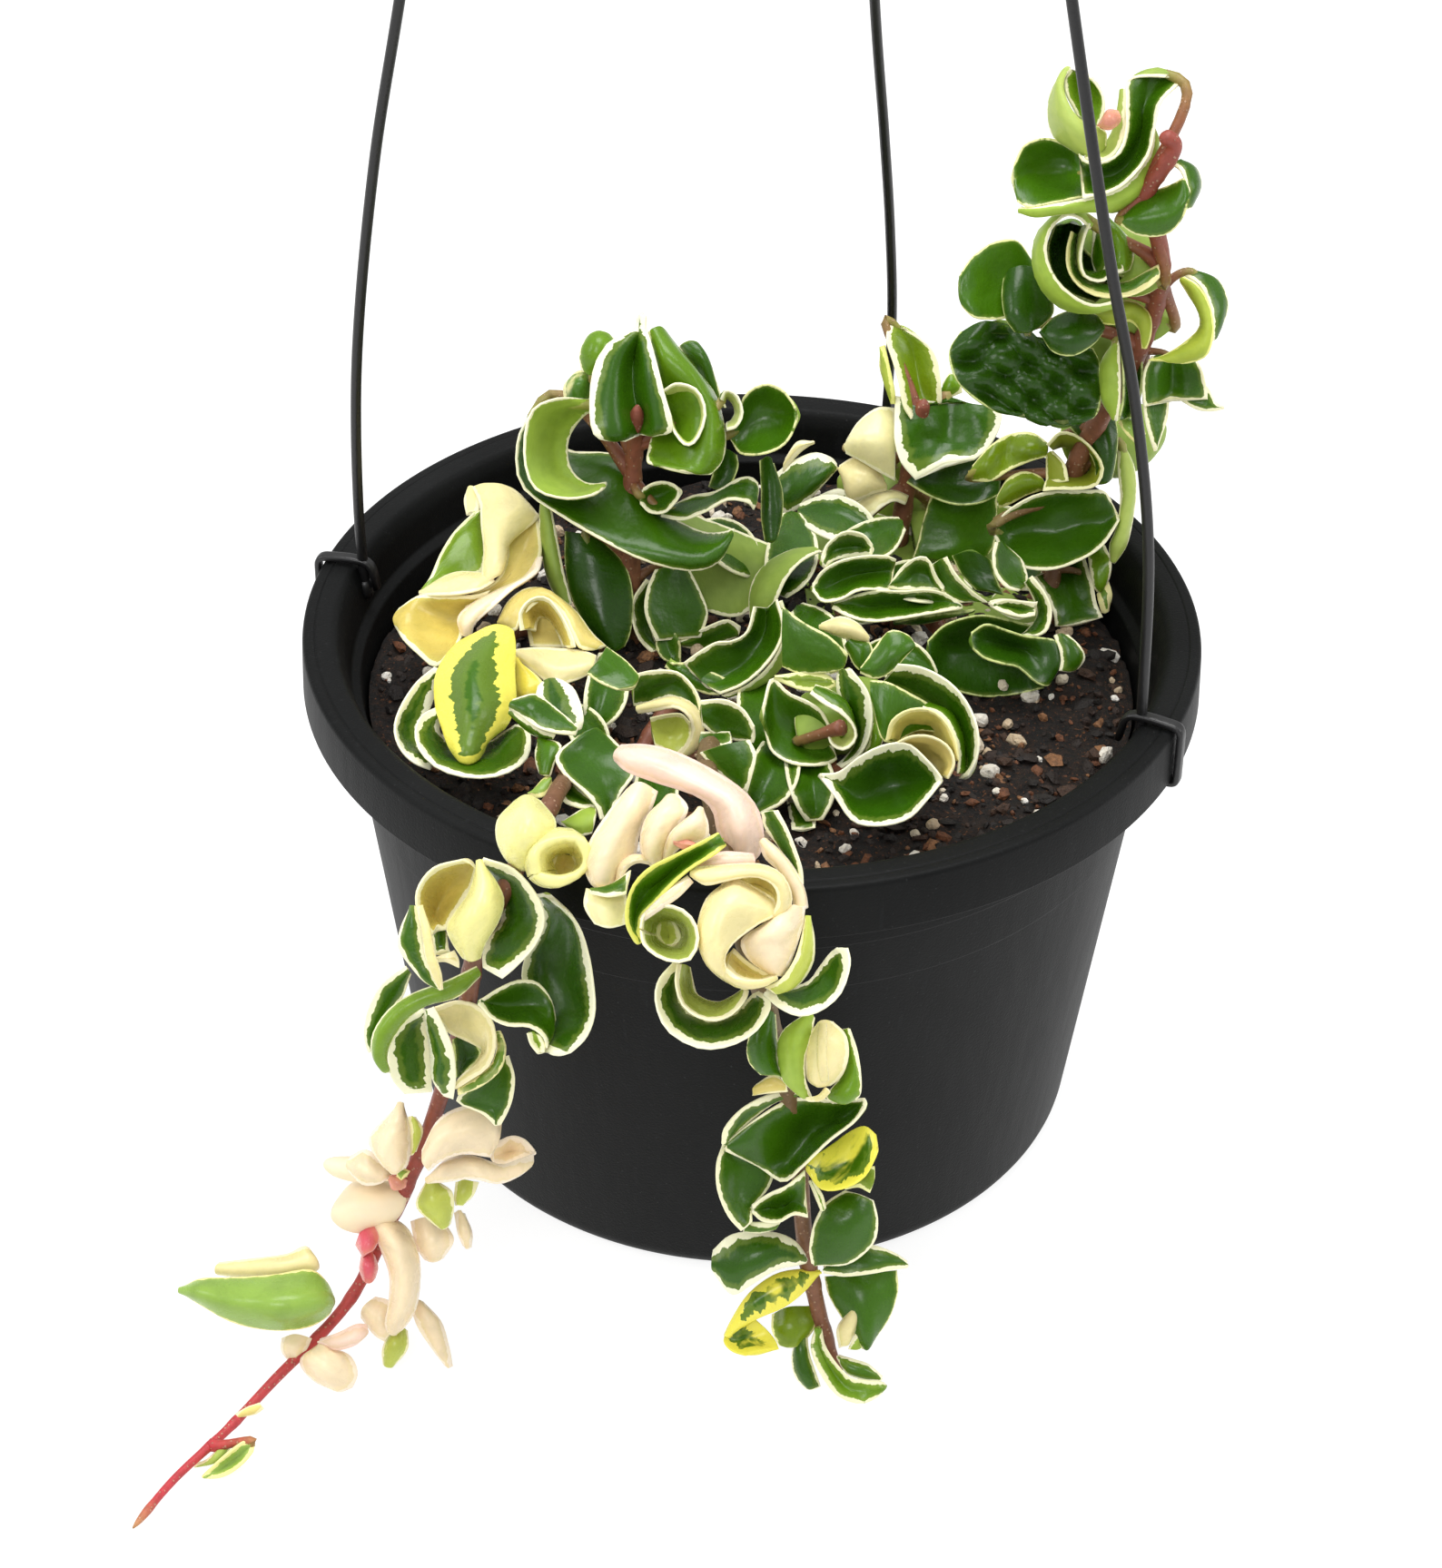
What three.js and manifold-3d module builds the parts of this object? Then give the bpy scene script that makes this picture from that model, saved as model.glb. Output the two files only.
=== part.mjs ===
// A potted variegated hindu rope hoya: curled waxy leaves on stems that stand in a filled nursery pot,
// hang over its rim and trail to the surface, under a three-strand plastic hanger.
// Millimetres, +Z up. The origin is the centre of the pot's flat underside.
import * as THREE from 'three';
import { mergeVertices } from 'three/addons/utils/BufferGeometryUtils.js';
import Module from 'manifold-3d';

const wasm = await Module();
wasm.setup();

// Pot: an eight-inch hanging nursery pot with a turned-over rim.
const POT_HEIGHT = 134;
const RIM_RADIUS = 105;
const SKIRT_DEPTH = 13;
const SKIRT_FLARE = 0.6;
const LIP_WIDTH = 8;
const BODY_TOP_RADIUS = 95.5;
const BASE_RADIUS = 82;
const WALL = 2;
const BASE_CHAMFER = 3;
const THROAT_SLOPE = 1.4;
const RIM_BEVEL = 1;
const LIP_ROUND = 0.6;
const LIP_DROP = 3;
const LEDGE_SETBACK = 2.6;
const LEDGE_STEP = 1.5;
const BODY_STEP = 2;
const LEDGE_BELOW_RIM = 12;
const POT_SIDES = 32;
const DRAIN_COUNT = 6;
const DRAIN_RADIUS = 5;
const DRAIN_CIRCLE = 60;

// Soil: it fills the pot to just under the inner ledge.
const SOIL_LEVEL = 116.5;
const SOIL_BUMP = 1.6;
const SOIL_RINGS = 5;
const SOIL_EDGE_DROP = 2;
const SOIL_SIDE_GAP = 0.9;
const SOIL_FOOT_GAP = 0.5;
const SOIL_SECTORS = POT_SIDES / 2;

// Hanger: three moulded strands that clip over the rim and meet at a hub with a hook.
const STRAND_RADIUS = 1.25;
const STRAND_SIDES = 6;
const STRAND_STEPS = 12;
const HUB_POINT = [0, 8, 540];
const HUB_RADIUS = 7;
const HUB_HEIGHT = 12;
const HUB_TAPER = 2;
const HUB_SIDES = 12;
const NECK_START = 3;
const HOOK_ROD = 2.4;
const HOOK_INNER_RADIUS = 14;
const HOOK_NECK = 26;
const HOOK_SIDES = 6;
const HOOK_STEPS = 16;
const HOOK_ARC_STEPS = 12;
const HOOK_ARC_START = -70;
const HOOK_ARC_SWEEP = 250;
const HOOK_BEND = 4;
const CLIP_WIDTH = 3;
const CLIP_THICKNESS = 1.6;
const CLIP_TAB_DROP = 8;
const CLIP_TAB_REACH = 4;
const CLIP_CREST = 1.6;
const CLIP_SHOULDER = 0.6;

// Plant: what every stem and leaf shares.
const GAP = 0.3;
const MERGE_DISTANCE = 1e-3;
const STEM_SIDES = 5;
const STEM_STEP = 13;
const PETIOLE = 0.6;
const PETIOLE_RADIUS = 1;
const SHORTEST_LEAF = 17;
const SHORTEST_YOUNG_LEAF = 13;
const LONG_LEAF = 34;
const JOIN_VOLUME = 1;
const CURLINGS = [1, 0.93, 0.86, 0.8, 0.74, 0.68, 0.6, 0.5, 0.4];
const SMOOTHING = 0.3;
const SMOOTHING_DISTANCES = [0.3, 0.28, 0.25, 0.22, 0.2, 0.17, 0.14, 0.1, 0.07, 0.04];
const LEAST_CURLING = 0.3;
const LEAF_MIDDLE = 0.55;
const LEAF_STATIONS = [0.02, 0.5, 0.98];
const LONG_LEAF_STATIONS = [0.02, 0.33, 0.7, 0.98];
const SLOPE_STEP = 0.02;
const SETTLING_PASSES = 4;
const CLEANING_DISTANCES = [0.06, 0.05, 0.04, 0.03, 0.07, 0.08, 0.02, 0.01];
const FLOOR_CUT = 0.05;
const VIEW_ELEVATION = 36;

// Leaf forms: half width over length, fold, left cup, right cup, bend, bend power, twist, sway,
// ripple, ripple waves, thickness, base fullness, tip fullness. Angles are in degrees.
const FORMS = {
  cup: [0.54, 8, 95, 100, 90, 1.0, 0, 0, 18, 1.0, 1.5, 0.42, 0.48],
  bowl: [0.62, 6, 128, 118, 120, 1.0, 8, 0, 16, 1.0, 1.5, 0.42, 0.48],
  taco: [0.54, 30, 88, 84, 100, 1.0, 0, 0, 14, 1.0, 1.6, 0.42, 0.52],
  rollr: [0.64, 8, 95, 265, 80, 1.0, 10, 0, 16, 1.0, 1.5, 0.42, 0.46],
  rolll: [0.64, 8, 265, 95, 80, 1.0, -10, 0, 16, 1.0, 1.5, 0.42, 0.46],
  scroll: [0.60, 8, 180, -140, -60, 1.2, 25, 0, 30, 1.0, 1.5, 0.42, 0.5],
  drape: [0.56, 4, 60, -70, -110, 1.2, 25, 15, 55, 1.0, 1.4, 0.42, 0.5],
  flat: [0.46, 5, 55, 50, 55, 1.2, 0, 0, 40, 1.0, 1.4, 0.44, 0.56],
  fan: [0.74, 5, 60, 40, 50, 1.2, 0, 0, 45, 1.0, 1.4, 0.42, 0.5],
  tongue: [0.33, 12, 75, 70, -70, 1.4, 14, 10, 26, 1.0, 1.5, 0.42, 0.62],
  ruffle: [0.40, 3, 30, 20, 30, 1.2, 0, 0, 80, 1.6, 1.5, 0.42, 0.5],
  swan: [0.26, 12, 95, 70, -60, 1.2, 20, 45, 20, 1.0, 1.6, 0.45, 0.7],
  bean: [0.36, 26, 95, 95, 75, 1.0, 0, 0, 4, 1.0, 2.0, 0.5, 0.62],
  tube: [0.46, 14, 140, 135, 35, 1.0, 0, 0, 6, 1.0, 1.6, 0.5, 0.6],
  spoon: [0.32, 14, 80, 80, 60, 1.2, 0, 0, 12, 1.0, 1.8, 0.6, 0.5],
  banana: [0.21, 26, 85, 85, 10, 1.0, 0, -135, 4, 1.0, 2.2, 0.5, 0.7],
  bud: [0.26, 20, 70, 70, 25, 1.0, 0, 0, 0, 1.0, 1.6, 0.5, 0.8],
};

// Stems: radius, route points, and leaves. Each leaf: distance along the stem, then its centre's offset
// right, up and towards the viewer, its turn, lean and spin in degrees, its length and its form.
const STEMS = {
  stem_right: {
    radius: 2.2,
    route: [[72, 24, 104], [72, 24, 118], [74, 32, 136], [78, 34, 158], [86, 30, 180], [91, 26, 200],
      [92, 22, 216], [92, 17, 234], [91, 12, 248], [86, 8, 257], [78, 6, 259]],
    leaves: [
      [24, 5, -5, 10, -70, 0, 0, 22, 'cup'], [30, 11, -3, 6, -60, 0, 0, 16, 'cup'],
      [24, 12, -6, 3, -50, 0, 0, 14, 'cup'], [42, -2, -5, 20, 185, 0, -25, 32, 'bowl'],
      [52, 0, 3, 18, 100, 0, 0, 24, 'rollr'], [50, -12, -5, 14, 150, 0, 0, 20, 'cup'],
      [56, 2, 2, 6, 90, 0, 0, 28, 'flat'], [40, 14, 2, 4, 80, 0, 150, 28, 'taco'],
      [92, -26, -5, 6, 185, 0, 0, 37, 'ruffle'], [86, -5, -5, 8, -95, 0, 160, 22, 'taco'],
      [88, 10, -7, 8, -35, 0, 0, 24, 'cup'], [86, 3, -16, 4, -80, 0, 0, 14, 'flat'],
      [100, -6, 0, 6, 170, 0, 180, 18, 'spoon'], [105, -34, 3, 6, 175, 0, 0, 26, 'flat'],
      [106, -23, 0, 9, 185, 0, 0, 22, 'cup'], [104, -19, -6, 12, 190, 0, 0, 16, 'flat'],
      [110, 10, -8, 4, -80, 0, 150, 26, 'taco'], [118, -18, 0, 16, 180, 10, 0, 32, 'bowl'],
      [118, -13, 0, 17, 170, 0, 0, 22, 'rolll'], [118, -8, 4, 4, 150, 0, 0, 24, 'cup'],
      [140, 3, 0, 0, -60, 0, 60, 16, 'cup'], [140, -6, -6, 8, -130, 0, 0, 24, 'flat'],
      [142, -27, 2, 8, 178, 0, 0, 28, 'flat'], [150, -22, 9, -4, 105, 0, 180, 26, 'taco'],
      [146, -6, 8, 12, 60, 0, 0, 34, 'swan'], [66, 10, 0, -15, 10, -20, 180, 32, 'cup'],
      [94, 8, 0, -14, 30, -20, 180, 30, 'cup'], [112, -9, 0, -14, 150, -20, 180, 30, 'bowl'],
      [130, 8, 2, -12, 40, -20, 180, 26, 'cup'],
    ],
  },
  stem_tall: {
    radius: 2.2,
    route: [[-27, 12, 104], [-28, 14, 118], [-29, 18, 140], [-28, 20, 165], [-27, 17, 180]],
    leaves: [
      [34, -11, 1, 6, -120, 0, 0, 36, 'flat'], [34, -17, 3, 8, -85, 0, 70, 32, 'taco'],
      [28, 10, -3, 10, -60, 0, 0, 28, 'flat'], [28, 3, -5, 14, -85, 0, 0, 20, 'cup'],
      [20, 17, -6, 10, 0, 0, 0, 28, 'drape'], [18, 26, -5, 14, 60, 0, 0, 28, 'cup'],
      [30, 34, -5, 6, 55, 0, 150, 26, 'taco'], [54, 14, -2, 12, -10, 0, 0, 28, 'scroll'],
      [56, 21, 2, 6, 40, 0, 0, 26, 'cup'], [54, 31, -4, 0, 90, 0, 60, 22, 'flat'],
      [56, 1, -10, 20, -35, 0, 0, 44, 'tongue'], [62, -15, 2, 12, 180, 0, 0, 30, 'bowl'],
      [64, 29, 6, 6, 10, 0, 0, 20, 'flat'], [64, 22, 7, 8, 100, 0, 0, 14, 'rollr'],
      [70, -9, 14, -4, 110, 0, 0, 14, 'cup'], [70, 15, 13, -4, 70, 0, 0, 20, 'cup'],
      [70, 3, 12, 14, 92, 0, 0, 34, 'rollr'], [40, -8, 0, -16, 200, -20, 180, 32, 'cup'],
      [52, 10, 0, -16, 20, -20, 180, 32, 'bowl'], [66, -4, 4, -12, 100, -20, 180, 28, 'cup'],
    ],
  },
  stem_back: {
    radius: 2.2,
    route: [[35, 54, 104], [37, 57, 118], [39, 60, 135], [41, 60, 150], [42, 60, 158]],
    leaves: [
      [10, 3, -11, 18, 2, 0, 70, 38, 'taco'], [16, 5, -8, 10, 80, 0, 0, 16, 'cup'],
      [22, 14, -6, 6, -100, 0, 0, 30, 'flat'], [16, -10, -7, 14, 170, 0, 0, 26, 'bowl'],
      [24, -23, -6, 6, 180, 0, 0, 26, 'cup'], [30, -10, -8, 12, 20, 0, 160, 24, 'spoon'],
      [34, -24, -3, 8, 150, 0, 0, 24, 'cup'], [34, -12, -2, 10, 130, 0, 180, 20, 'cup'],
      [36, 8, -8, 8, -20, 0, 0, 30, 'flat'], [38, 21, -3, 6, 10, 0, 0, 28, 'cup'],
      [44, 8, 0, 12, 70, 0, 0, 28, 'bowl'], [44, -12, 2, 4, 110, 0, 180, 20, 'cup'],
      [46, -9, 10, 0, 100, 0, 180, 18, 'cup'], [48, -2, 13, 4, 100, 0, 0, 28, 'taco'],
      [48, 11, 12, -4, 50, 0, 0, 26, 'cup'], [30, -8, 0, -12, 160, -20, 180, 28, 'cup'],
      [42, 10, 0, -12, 20, -20, 180, 30, 'cup'],
    ],
  },
  stem_yellow: {
    radius: 2,
    route: [[-46, 14, 104], [-49, 13, 118], [-56, 6, 132], [-60, -6, 140], [-61, -18, 141]],
    leaves: [
      [30, -9, 6, 6, 110, 0, 0, 40, 'drape'], [30, -20, -4, 10, 190, 0, 0, 24, 'cup'],
      [26, 4, 0, 14, 150, 50, 0, 24, 'tube'], [44, 13, -14, 14, 0, 0, 0, 22, 'spoon'],
      [50, -2, -17, 18, -100, 0, 0, 32, 'rolll'], [50, -7, -25, 10, 200, 0, 0, 34, 'bowl'],
      [34, -10, 0, -10, 150, -20, 180, 30, 'cup'],
    ],
  },
  stem_mid: {
    radius: 2.2,
    route: [[36, 22, 104], [36, 22, 118], [39, 20, 134], [42, 14, 142], [48, 8, 143], [56, 2, 138]],
    leaves: [
      [58, 7, -14, 16, -60, 0, 0, 32, 'scroll'], [48, 1, -21, 10, -100, 0, 0, 28, 'cup'],
      [58, 11, -12, 8, -60, 0, 0, 20, 'cup'], [58, 20, -13, 6, -20, 0, 0, 14, 'cup'],
      [54, 10, 2, 10, 20, 0, 0, 32, 'drape'], [56, 8, -6, 16, 10, 0, 60, 16, 'taco'],
      [50, 3, 4, 6, 60, 0, 0, 28, 'cup'], [54, 16, 0, 6, 60, 0, 0, 24, 'cup'],
      [30, -8, 2, 4, 150, 0, 0, 30, 'cup'], [44, 2, 6, -10, 90, -20, 180, 30, 'cup'],
    ],
  },
  stem_front_right: {
    radius: 2.2,
    route: [[10, -34, 104], [11, -36, 118], [16, -44, 130], [22, -50, 138], [30, -54, 141],
      [38, -56, 138]],
    leaves: [
      [14, 0, -9, 10, -90, 0, 150, 22, 'spoon'], [14, 7, -12, 4, -60, 0, 0, 14, 'cup'],
      [12, -13, 1, 8, -100, 0, 0, 22, 'cup'], [16, -17, 8, 6, 170, 0, 0, 24, 'cup'],
      [24, 0, 22, 10, 120, 0, 0, 26, 'flat'], [24, 7, 27, 6, 110, 0, 180, 16, 'cup'],
      [24, 13, 12, 14, 80, 0, 0, 24, 'cup'], [22, 2, 10, 20, 115, 0, 0, 34, 'bowl'],
      [24, 6, 6, 24, 120, 0, 0, 20, 'rollr'], [40, 8, 16, 6, 45, 0, 0, 18, 'flat'],
      [48, 10, 1, 16, 60, 0, 0, 32, 'bowl'], [50, 9, -2, 22, 50, 0, 0, 24, 'rolll'],
      [46, 3, -13, 22, 180, 0, -25, 30, 'bowl'], [38, 4, 4, -12, 30, -20, 180, 28, 'cup'],
    ],
  },
  stem_centre: {
    radius: 2,
    route: [[-14, -12, 104], [-15, -14, 118], [-20, -24, 130], [-26, -36, 137], [-34, -46, 138]],
    leaves: [
      [40, 4, -6, 18, 20, 0, 0, 26, 'bowl'], [40, 6, -8, 21, 10, 0, 0, 18, 'rollr'],
      [50, -18, -2, 16, 175, 0, 0, 20, 'scroll'], [48, -15, 0, 20, 120, 0, 0, 14, 'cup'],
      [48, -21, -5, 12, 150, 0, 0, 16, 'cup'], [46, -6, 2, 12, 150, 0, 0, 20, 'spoon'],
      [48, -9, -19, 16, -110, 0, 0, 32, 'scroll'], [50, -15, -21, 8, -120, 0, 0, 16, 'cup'],
      [50, -20, -14, 10, -150, 0, 0, 14, 'flat'], [22, 10, 6, 4, 60, 0, 0, 26, 'cup'],
    ],
  },
  trail_front: {
    radius: 2.2,
    route: [[-6, -38, 104], [-6, -40, 118], [-8, -52, 134], [-10, -76, 147], [-8, -98, 150],
      [-5, -113, 147], [-2, -121, 136], [3, -121, 116], [8, -118, 90], [11, -115, 67], [13, -115, 42],
      [17, -117, 20], [20, -121, 10], [22, -126, 7]],
    leaves: [
      [84, -3, 5, 16, 142, 0, 180, 42, 'spoon'], [84, 4, -4, 12, -60, 0, 180, 22, 'cup'],
      [80, -20, -8, 8, -105, 0, 180, 26, 'bean'], [90, -22, -16, 4, -80, 0, 180, 16, 'cup'],
      [86, -11, -3, 16, 65, 0, 180, 17, 'bean'], [88, -7, -4, 18, 50, 0, 60, 15, 'cup'],
      [98, -10, -4, 20, 45, 0, 50, 30, 'taco'], [96, -24, -7, 12, 180, 0, 0, 16, 'taco'],
      [100, -12, -13, 18, -110, 35, 0, 18, 'tube'], [112, 2, -1, 20, 100, 0, 0, 34, 'rolll'],
      [112, 4, -6, 22, -70, 0, 180, 18, 'bean'], [104, 11, -3, 8, 100, 0, 180, 30, 'spoon'],
      [118, 9, -3, 12, 50, 0, 120, 20, 'cup'], [124, 11, -2, 8, 40, 0, 0, 24, 'cup'],
      [126, -10, -6, 12, 195, 0, -20, 30, 'bowl'], [124, -7, -2, 15, 200, 0, 0, 24, 'rollr'],
      [146, 9, -3, 12, -90, 0, 0, 22, 'tube'], [138, -2, -4, 3, -95, 0, 0, 20, 'flat'],
      [152, -2, -7, 4, 150, 0, 180, 12, 'cup'], [168, -7, -4, 12, 165, 0, 0, 26, 'cup'],
      [168, 6, -4, 14, 25, 0, 0, 26, 'taco'], [180, -9, -8, 10, -150, 0, 0, 28, 'bowl'],
      [184, -4, -10, 16, -170, 0, 0, 20, 'scroll'], [178, 10, -4, 8, 10, 0, 0, 18, 'cup'],
      [212, 8, 5, 6, 60, 0, 0, 20, 'flat'], [212, -10, -3, 8, 172, 0, 0, 24, 'cup'],
      [216, -8, -10, 10, -145, 0, 40, 26, 'taco'], [222, -4, -10, 2, -100, 0, 0, 14, 'cup'],
      [216, 12, -7, 8, -15, 0, 20, 28, 'cup'], [214, 10, 0, 10, 5, 0, -40, 24, 'taco'],
      [236, -3, -6, 4, -100, 0, 0, 16, 'flat'], [238, 4, -6, 10, -50, 0, 20, 24, 'taco'],
      [236, 5, 1, 4, 60, 0, 0, 12, 'taco'], [40, 14, 4, 4, 20, 0, 0, 24, 'cup'],
      [50, -14, 2, 2, 170, 0, 0, 24, 'cup'],
    ],
  },
  trail_left: {
    radius: 2,
    shortest: SHORTEST_YOUNG_LEAF,
    route: [[-42, -44, 104], [-43, -46, 118], [-46, -62, 132], [-50, -82, 143], [-52, -97, 145],
      [-55, -108, 138], [-58, -110, 122], [-61, -107, 104], [-66, -101, 80], [-73, -97, 54],
      [-82, -98, 30], [-92, -107, 13], [-107, -124, 6], [-116, -137, 4], [-126, -152, 4],
      [-133, -166, 4]],
    leaves: [
      [66, 4, -7, 10, -80, 0, 180, 18, 'bean'], [66, 10, -12, 12, -10, 60, 0, 16, 'tube'],
      [98, -2, 0, 12, 110, 0, 0, 38, 'bowl'], [100, -1, 3, 18, 80, 0, 180, 24, 'bean'],
      [102, 8, -6, 13, -40, 0, 0, 18, 'cup'], [108, 17, -3, 4, 10, 0, 0, 25, 'fan'],
      [114, -11, -8, 8, 205, 0, 120, 30, 'taco'], [114, -15, -7, 2, 205, 0, 0, 32, 'flat'],
      [132, -4, -5, 14, -110, 0, 0, 28, 'bowl'], [132, 0, -4, 17, -80, 0, 0, 20, 'rolll'],
      [146, 8, -4, 2, 60, 0, 0, 24, 'cup'], [182, -6, 5, 6, 105, 0, 180, 17, 'cup'],
      [178, 9, 3, 8, 35, 0, 180, 20, 'bean'], [184, 14, 2, 8, 8, 0, 40, 26, 'spoon'],
      [190, -11, 4, 6, 175, 0, 180, 18, 'bean'], [194, -9, -1, 4, 195, 0, 160, 20, 'cup'],
      [192, 6, -4, 4, -40, 0, 0, 13, 'cup'], [198, 8, -5, 2, -50, 0, 0, 15, 'cup'],
      [196, 14, -5, 3, -50, 0, 180, 10, 'bean'], [214, 8, 0, 12, 38, 0, 180, 36, 'banana'],
      [234, -13, 11, 10, 165, 0, 180, 34, 'bean'], [234, -12, 16, 4, 172, 0, 180, 28, 'spoon'],
      [222, 18, -8, 4, -58, 0, 180, 18, 'bean'], [222, 8, -4, 2, 160, 0, 0, 14, 'cup'],
      [222, 10, -11, 2, -100, 0, 180, 12, 'bean'], [234, 3, -4, 6, -60, 0, 0, 20, 'tube'],
      [234, 7, 1, 6, 20, 0, 0, 10, 'spoon'], [262, -5, 1, 2, 190, 0, 0, 12, 'bud'],
      [270, 4, -4, 2, -140, 0, 0, 14, 'bud'], [292, -4, 2, 2, 150, 0, 0, 8, 'bud'],
    ],
  },
};

const rad = THREE.MathUtils.degToRad;
const clamp01 = (x) => THREE.MathUtils.clamp(x, 0, 1);

// Turns a closed geometry into a solid that can be joined and cut.
function toSolid(geometry) {
  const plain = geometry.index ? geometry.toNonIndexed() : geometry.clone();
  plain.deleteAttribute('normal');
  plain.deleteAttribute('uv');
  const merged = mergeVertices(plain, MERGE_DISTANCE);
  return new wasm.Manifold(new wasm.Mesh({
    numProp: 3,
    vertProperties: new Float32Array(merged.attributes.position.array),
    triVerts: new Uint32Array(merged.index.array),
  }));
}

// Turns a solid back into a geometry.
function toGeometry(solid) {
  const mesh = solid.getMesh();
  const geometry = new THREE.BufferGeometry();
  geometry.setAttribute('position', new THREE.BufferAttribute(new Float32Array(mesh.vertProperties), 3));
  geometry.setIndex(new THREE.BufferAttribute(new Uint32Array(mesh.triVerts), 1));
  geometry.computeVertexNormals();
  return geometry;
}

// Joins a list of solids two by two.
function joinAll(solids) {
  let list = solids;
  while (list.length > 1) {
    const next = [];
    for (let i = 0; i < list.length; i += 2) {
      next.push(i + 1 < list.length ? list[i].add(list[i + 1]) : list[i]);
    }
    list = next;
  }
  return list[0];
}

// The number of edges along which two folds of the skin touch, so that four faces meet there.
function touchingEdges(solid) {
  const { vertProperties, triVerts } = solid.getMesh();
  const rounded = (value) => Math.round(value / MERGE_DISTANCE);
  const cornerName = (i) => [0, 1, 2].map((k) => rounded(vertProperties[3 * i + k])).join();
  const faceCounts = new Map();
  for (let i = 0; i < triVerts.length; i += 3) {
    const names = [cornerName(triVerts[i]), cornerName(triVerts[i + 1]), cornerName(triVerts[i + 2])];
    names.forEach((name, k) => {
      const edge = [name, names[(k + 1) % 3]].sort().join();
      faceCounts.set(edge, (faceCounts.get(edge) ?? 0) + 1);
    });
  }
  return [...faceCounts.values()].filter((faces) => faces !== 2).length;
}

// Clears the short edges that cuts leave, moving no face by more than a distance: the first of the
// distances that leaves no touching folds, or the one that leaves the fewest.
function settled(solid, distances) {
  let best;
  for (const distance of distances) {
    let result = solid;
    for (let pass = 0; pass < SETTLING_PASSES; pass += 1) {
      result = toSolid(toGeometry(result)).simplify(distance);
    }
    const faults = touchingEdges(result);
    if (!best || faults < best.faults) best = { result, faults };
    if (faults === 0) break;
  }
  return best.result;
}

// Keeps the outer skin of the largest body: loose scraps go and sealed hollows are filled.
function largestBody(solid) {
  const bodies = settled(solid, CLEANING_DISTANCES).decompose();
  return bodies.sort((one, other) => other.volume() - one.volume())[0];
}

// A round bar with flat ends along a path.
function bar(path, radius, sides, steps) {
  const section = new THREE.Shape();
  for (let i = 0; i < sides; i += 1) {
    const angle = (2 * Math.PI * i) / sides;
    const x = radius * Math.cos(angle);
    const y = radius * Math.sin(angle);
    if (i === 0) section.moveTo(x, y);
    else section.lineTo(x, y);
  }
  section.closePath();
  return toSolid(new THREE.ExtrudeGeometry(section, { steps, extrudePath: path, bevelEnabled: false }));
}

// A number from 0 to 1 that depends only on the leaf's number and the draw's.
function hashed(leafNumber, draw) {
  const x = Math.sin(leafNumber * 127.1 + draw * 311.7) * 43758.5453;
  return x - Math.floor(x);
}

// The pot's profile, turned about Z: up the outer wall, over the rim and down the inside.
// grow moves every wall outwards by that much.
function potSolid(grow) {
  const skirtRadius = RIM_RADIUS + SKIRT_FLARE;
  const skirtBottom = POT_HEIGHT - SKIRT_DEPTH;
  const innerEdge = RIM_RADIUS - LIP_WIDTH;
  const ledge = POT_HEIGHT - LEDGE_BELOW_RIM;
  const profile = [
    [0, -grow],
    [BASE_RADIUS - BASE_CHAMFER + grow, -grow],
    [BASE_RADIUS + grow, BASE_CHAMFER - grow],
    [BODY_TOP_RADIUS + grow, skirtBottom - BODY_STEP - grow],
    [innerEdge + THROAT_SLOPE + grow, POT_HEIGHT - WALL - grow],
    [RIM_RADIUS - WALL - grow, POT_HEIGHT - WALL - grow],
    [skirtRadius - WALL - grow, skirtBottom - grow],
    [skirtRadius + grow, skirtBottom - grow],
    [RIM_RADIUS + grow, POT_HEIGHT - RIM_BEVEL],
    [RIM_RADIUS - RIM_BEVEL, POT_HEIGHT + grow],
    [innerEdge + LIP_ROUND, POT_HEIGHT + grow],
    [innerEdge - THROAT_SLOPE - grow, POT_HEIGHT - LIP_DROP],
    [innerEdge - LEDGE_SETBACK - grow, ledge],
    [BODY_TOP_RADIUS - WALL - THROAT_SLOPE - grow, ledge - LEDGE_STEP],
    [BASE_RADIUS - WALL - grow, WALL + BASE_CHAMFER],
    [BASE_RADIUS - WALL - BASE_CHAMFER - grow, WALL + grow],
    [0, WALL + grow],
  ].map(([r, z]) => new THREE.Vector2(r, z));
  return toSolid(new THREE.LatheGeometry(profile, POT_SIDES).rotateX(Math.PI / 2));
}

// Six round drain holes in a circle through the pot's floor.
function drainHoles() {
  const holes = [];
  for (let i = 0; i < DRAIN_COUNT; i += 1) {
    const angle = (2 * Math.PI * (i + 0.5)) / DRAIN_COUNT;
    const hole = new THREE.CylinderGeometry(DRAIN_RADIUS, DRAIN_RADIUS, 4 * WALL, 10);
    hole.rotateX(Math.PI / 2);
    hole.translate(DRAIN_CIRCLE * Math.cos(angle), DRAIN_CIRCLE * Math.sin(angle), WALL / 2);
    holes.push(toSolid(hole));
  }
  return joinAll(holes);
}

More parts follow.
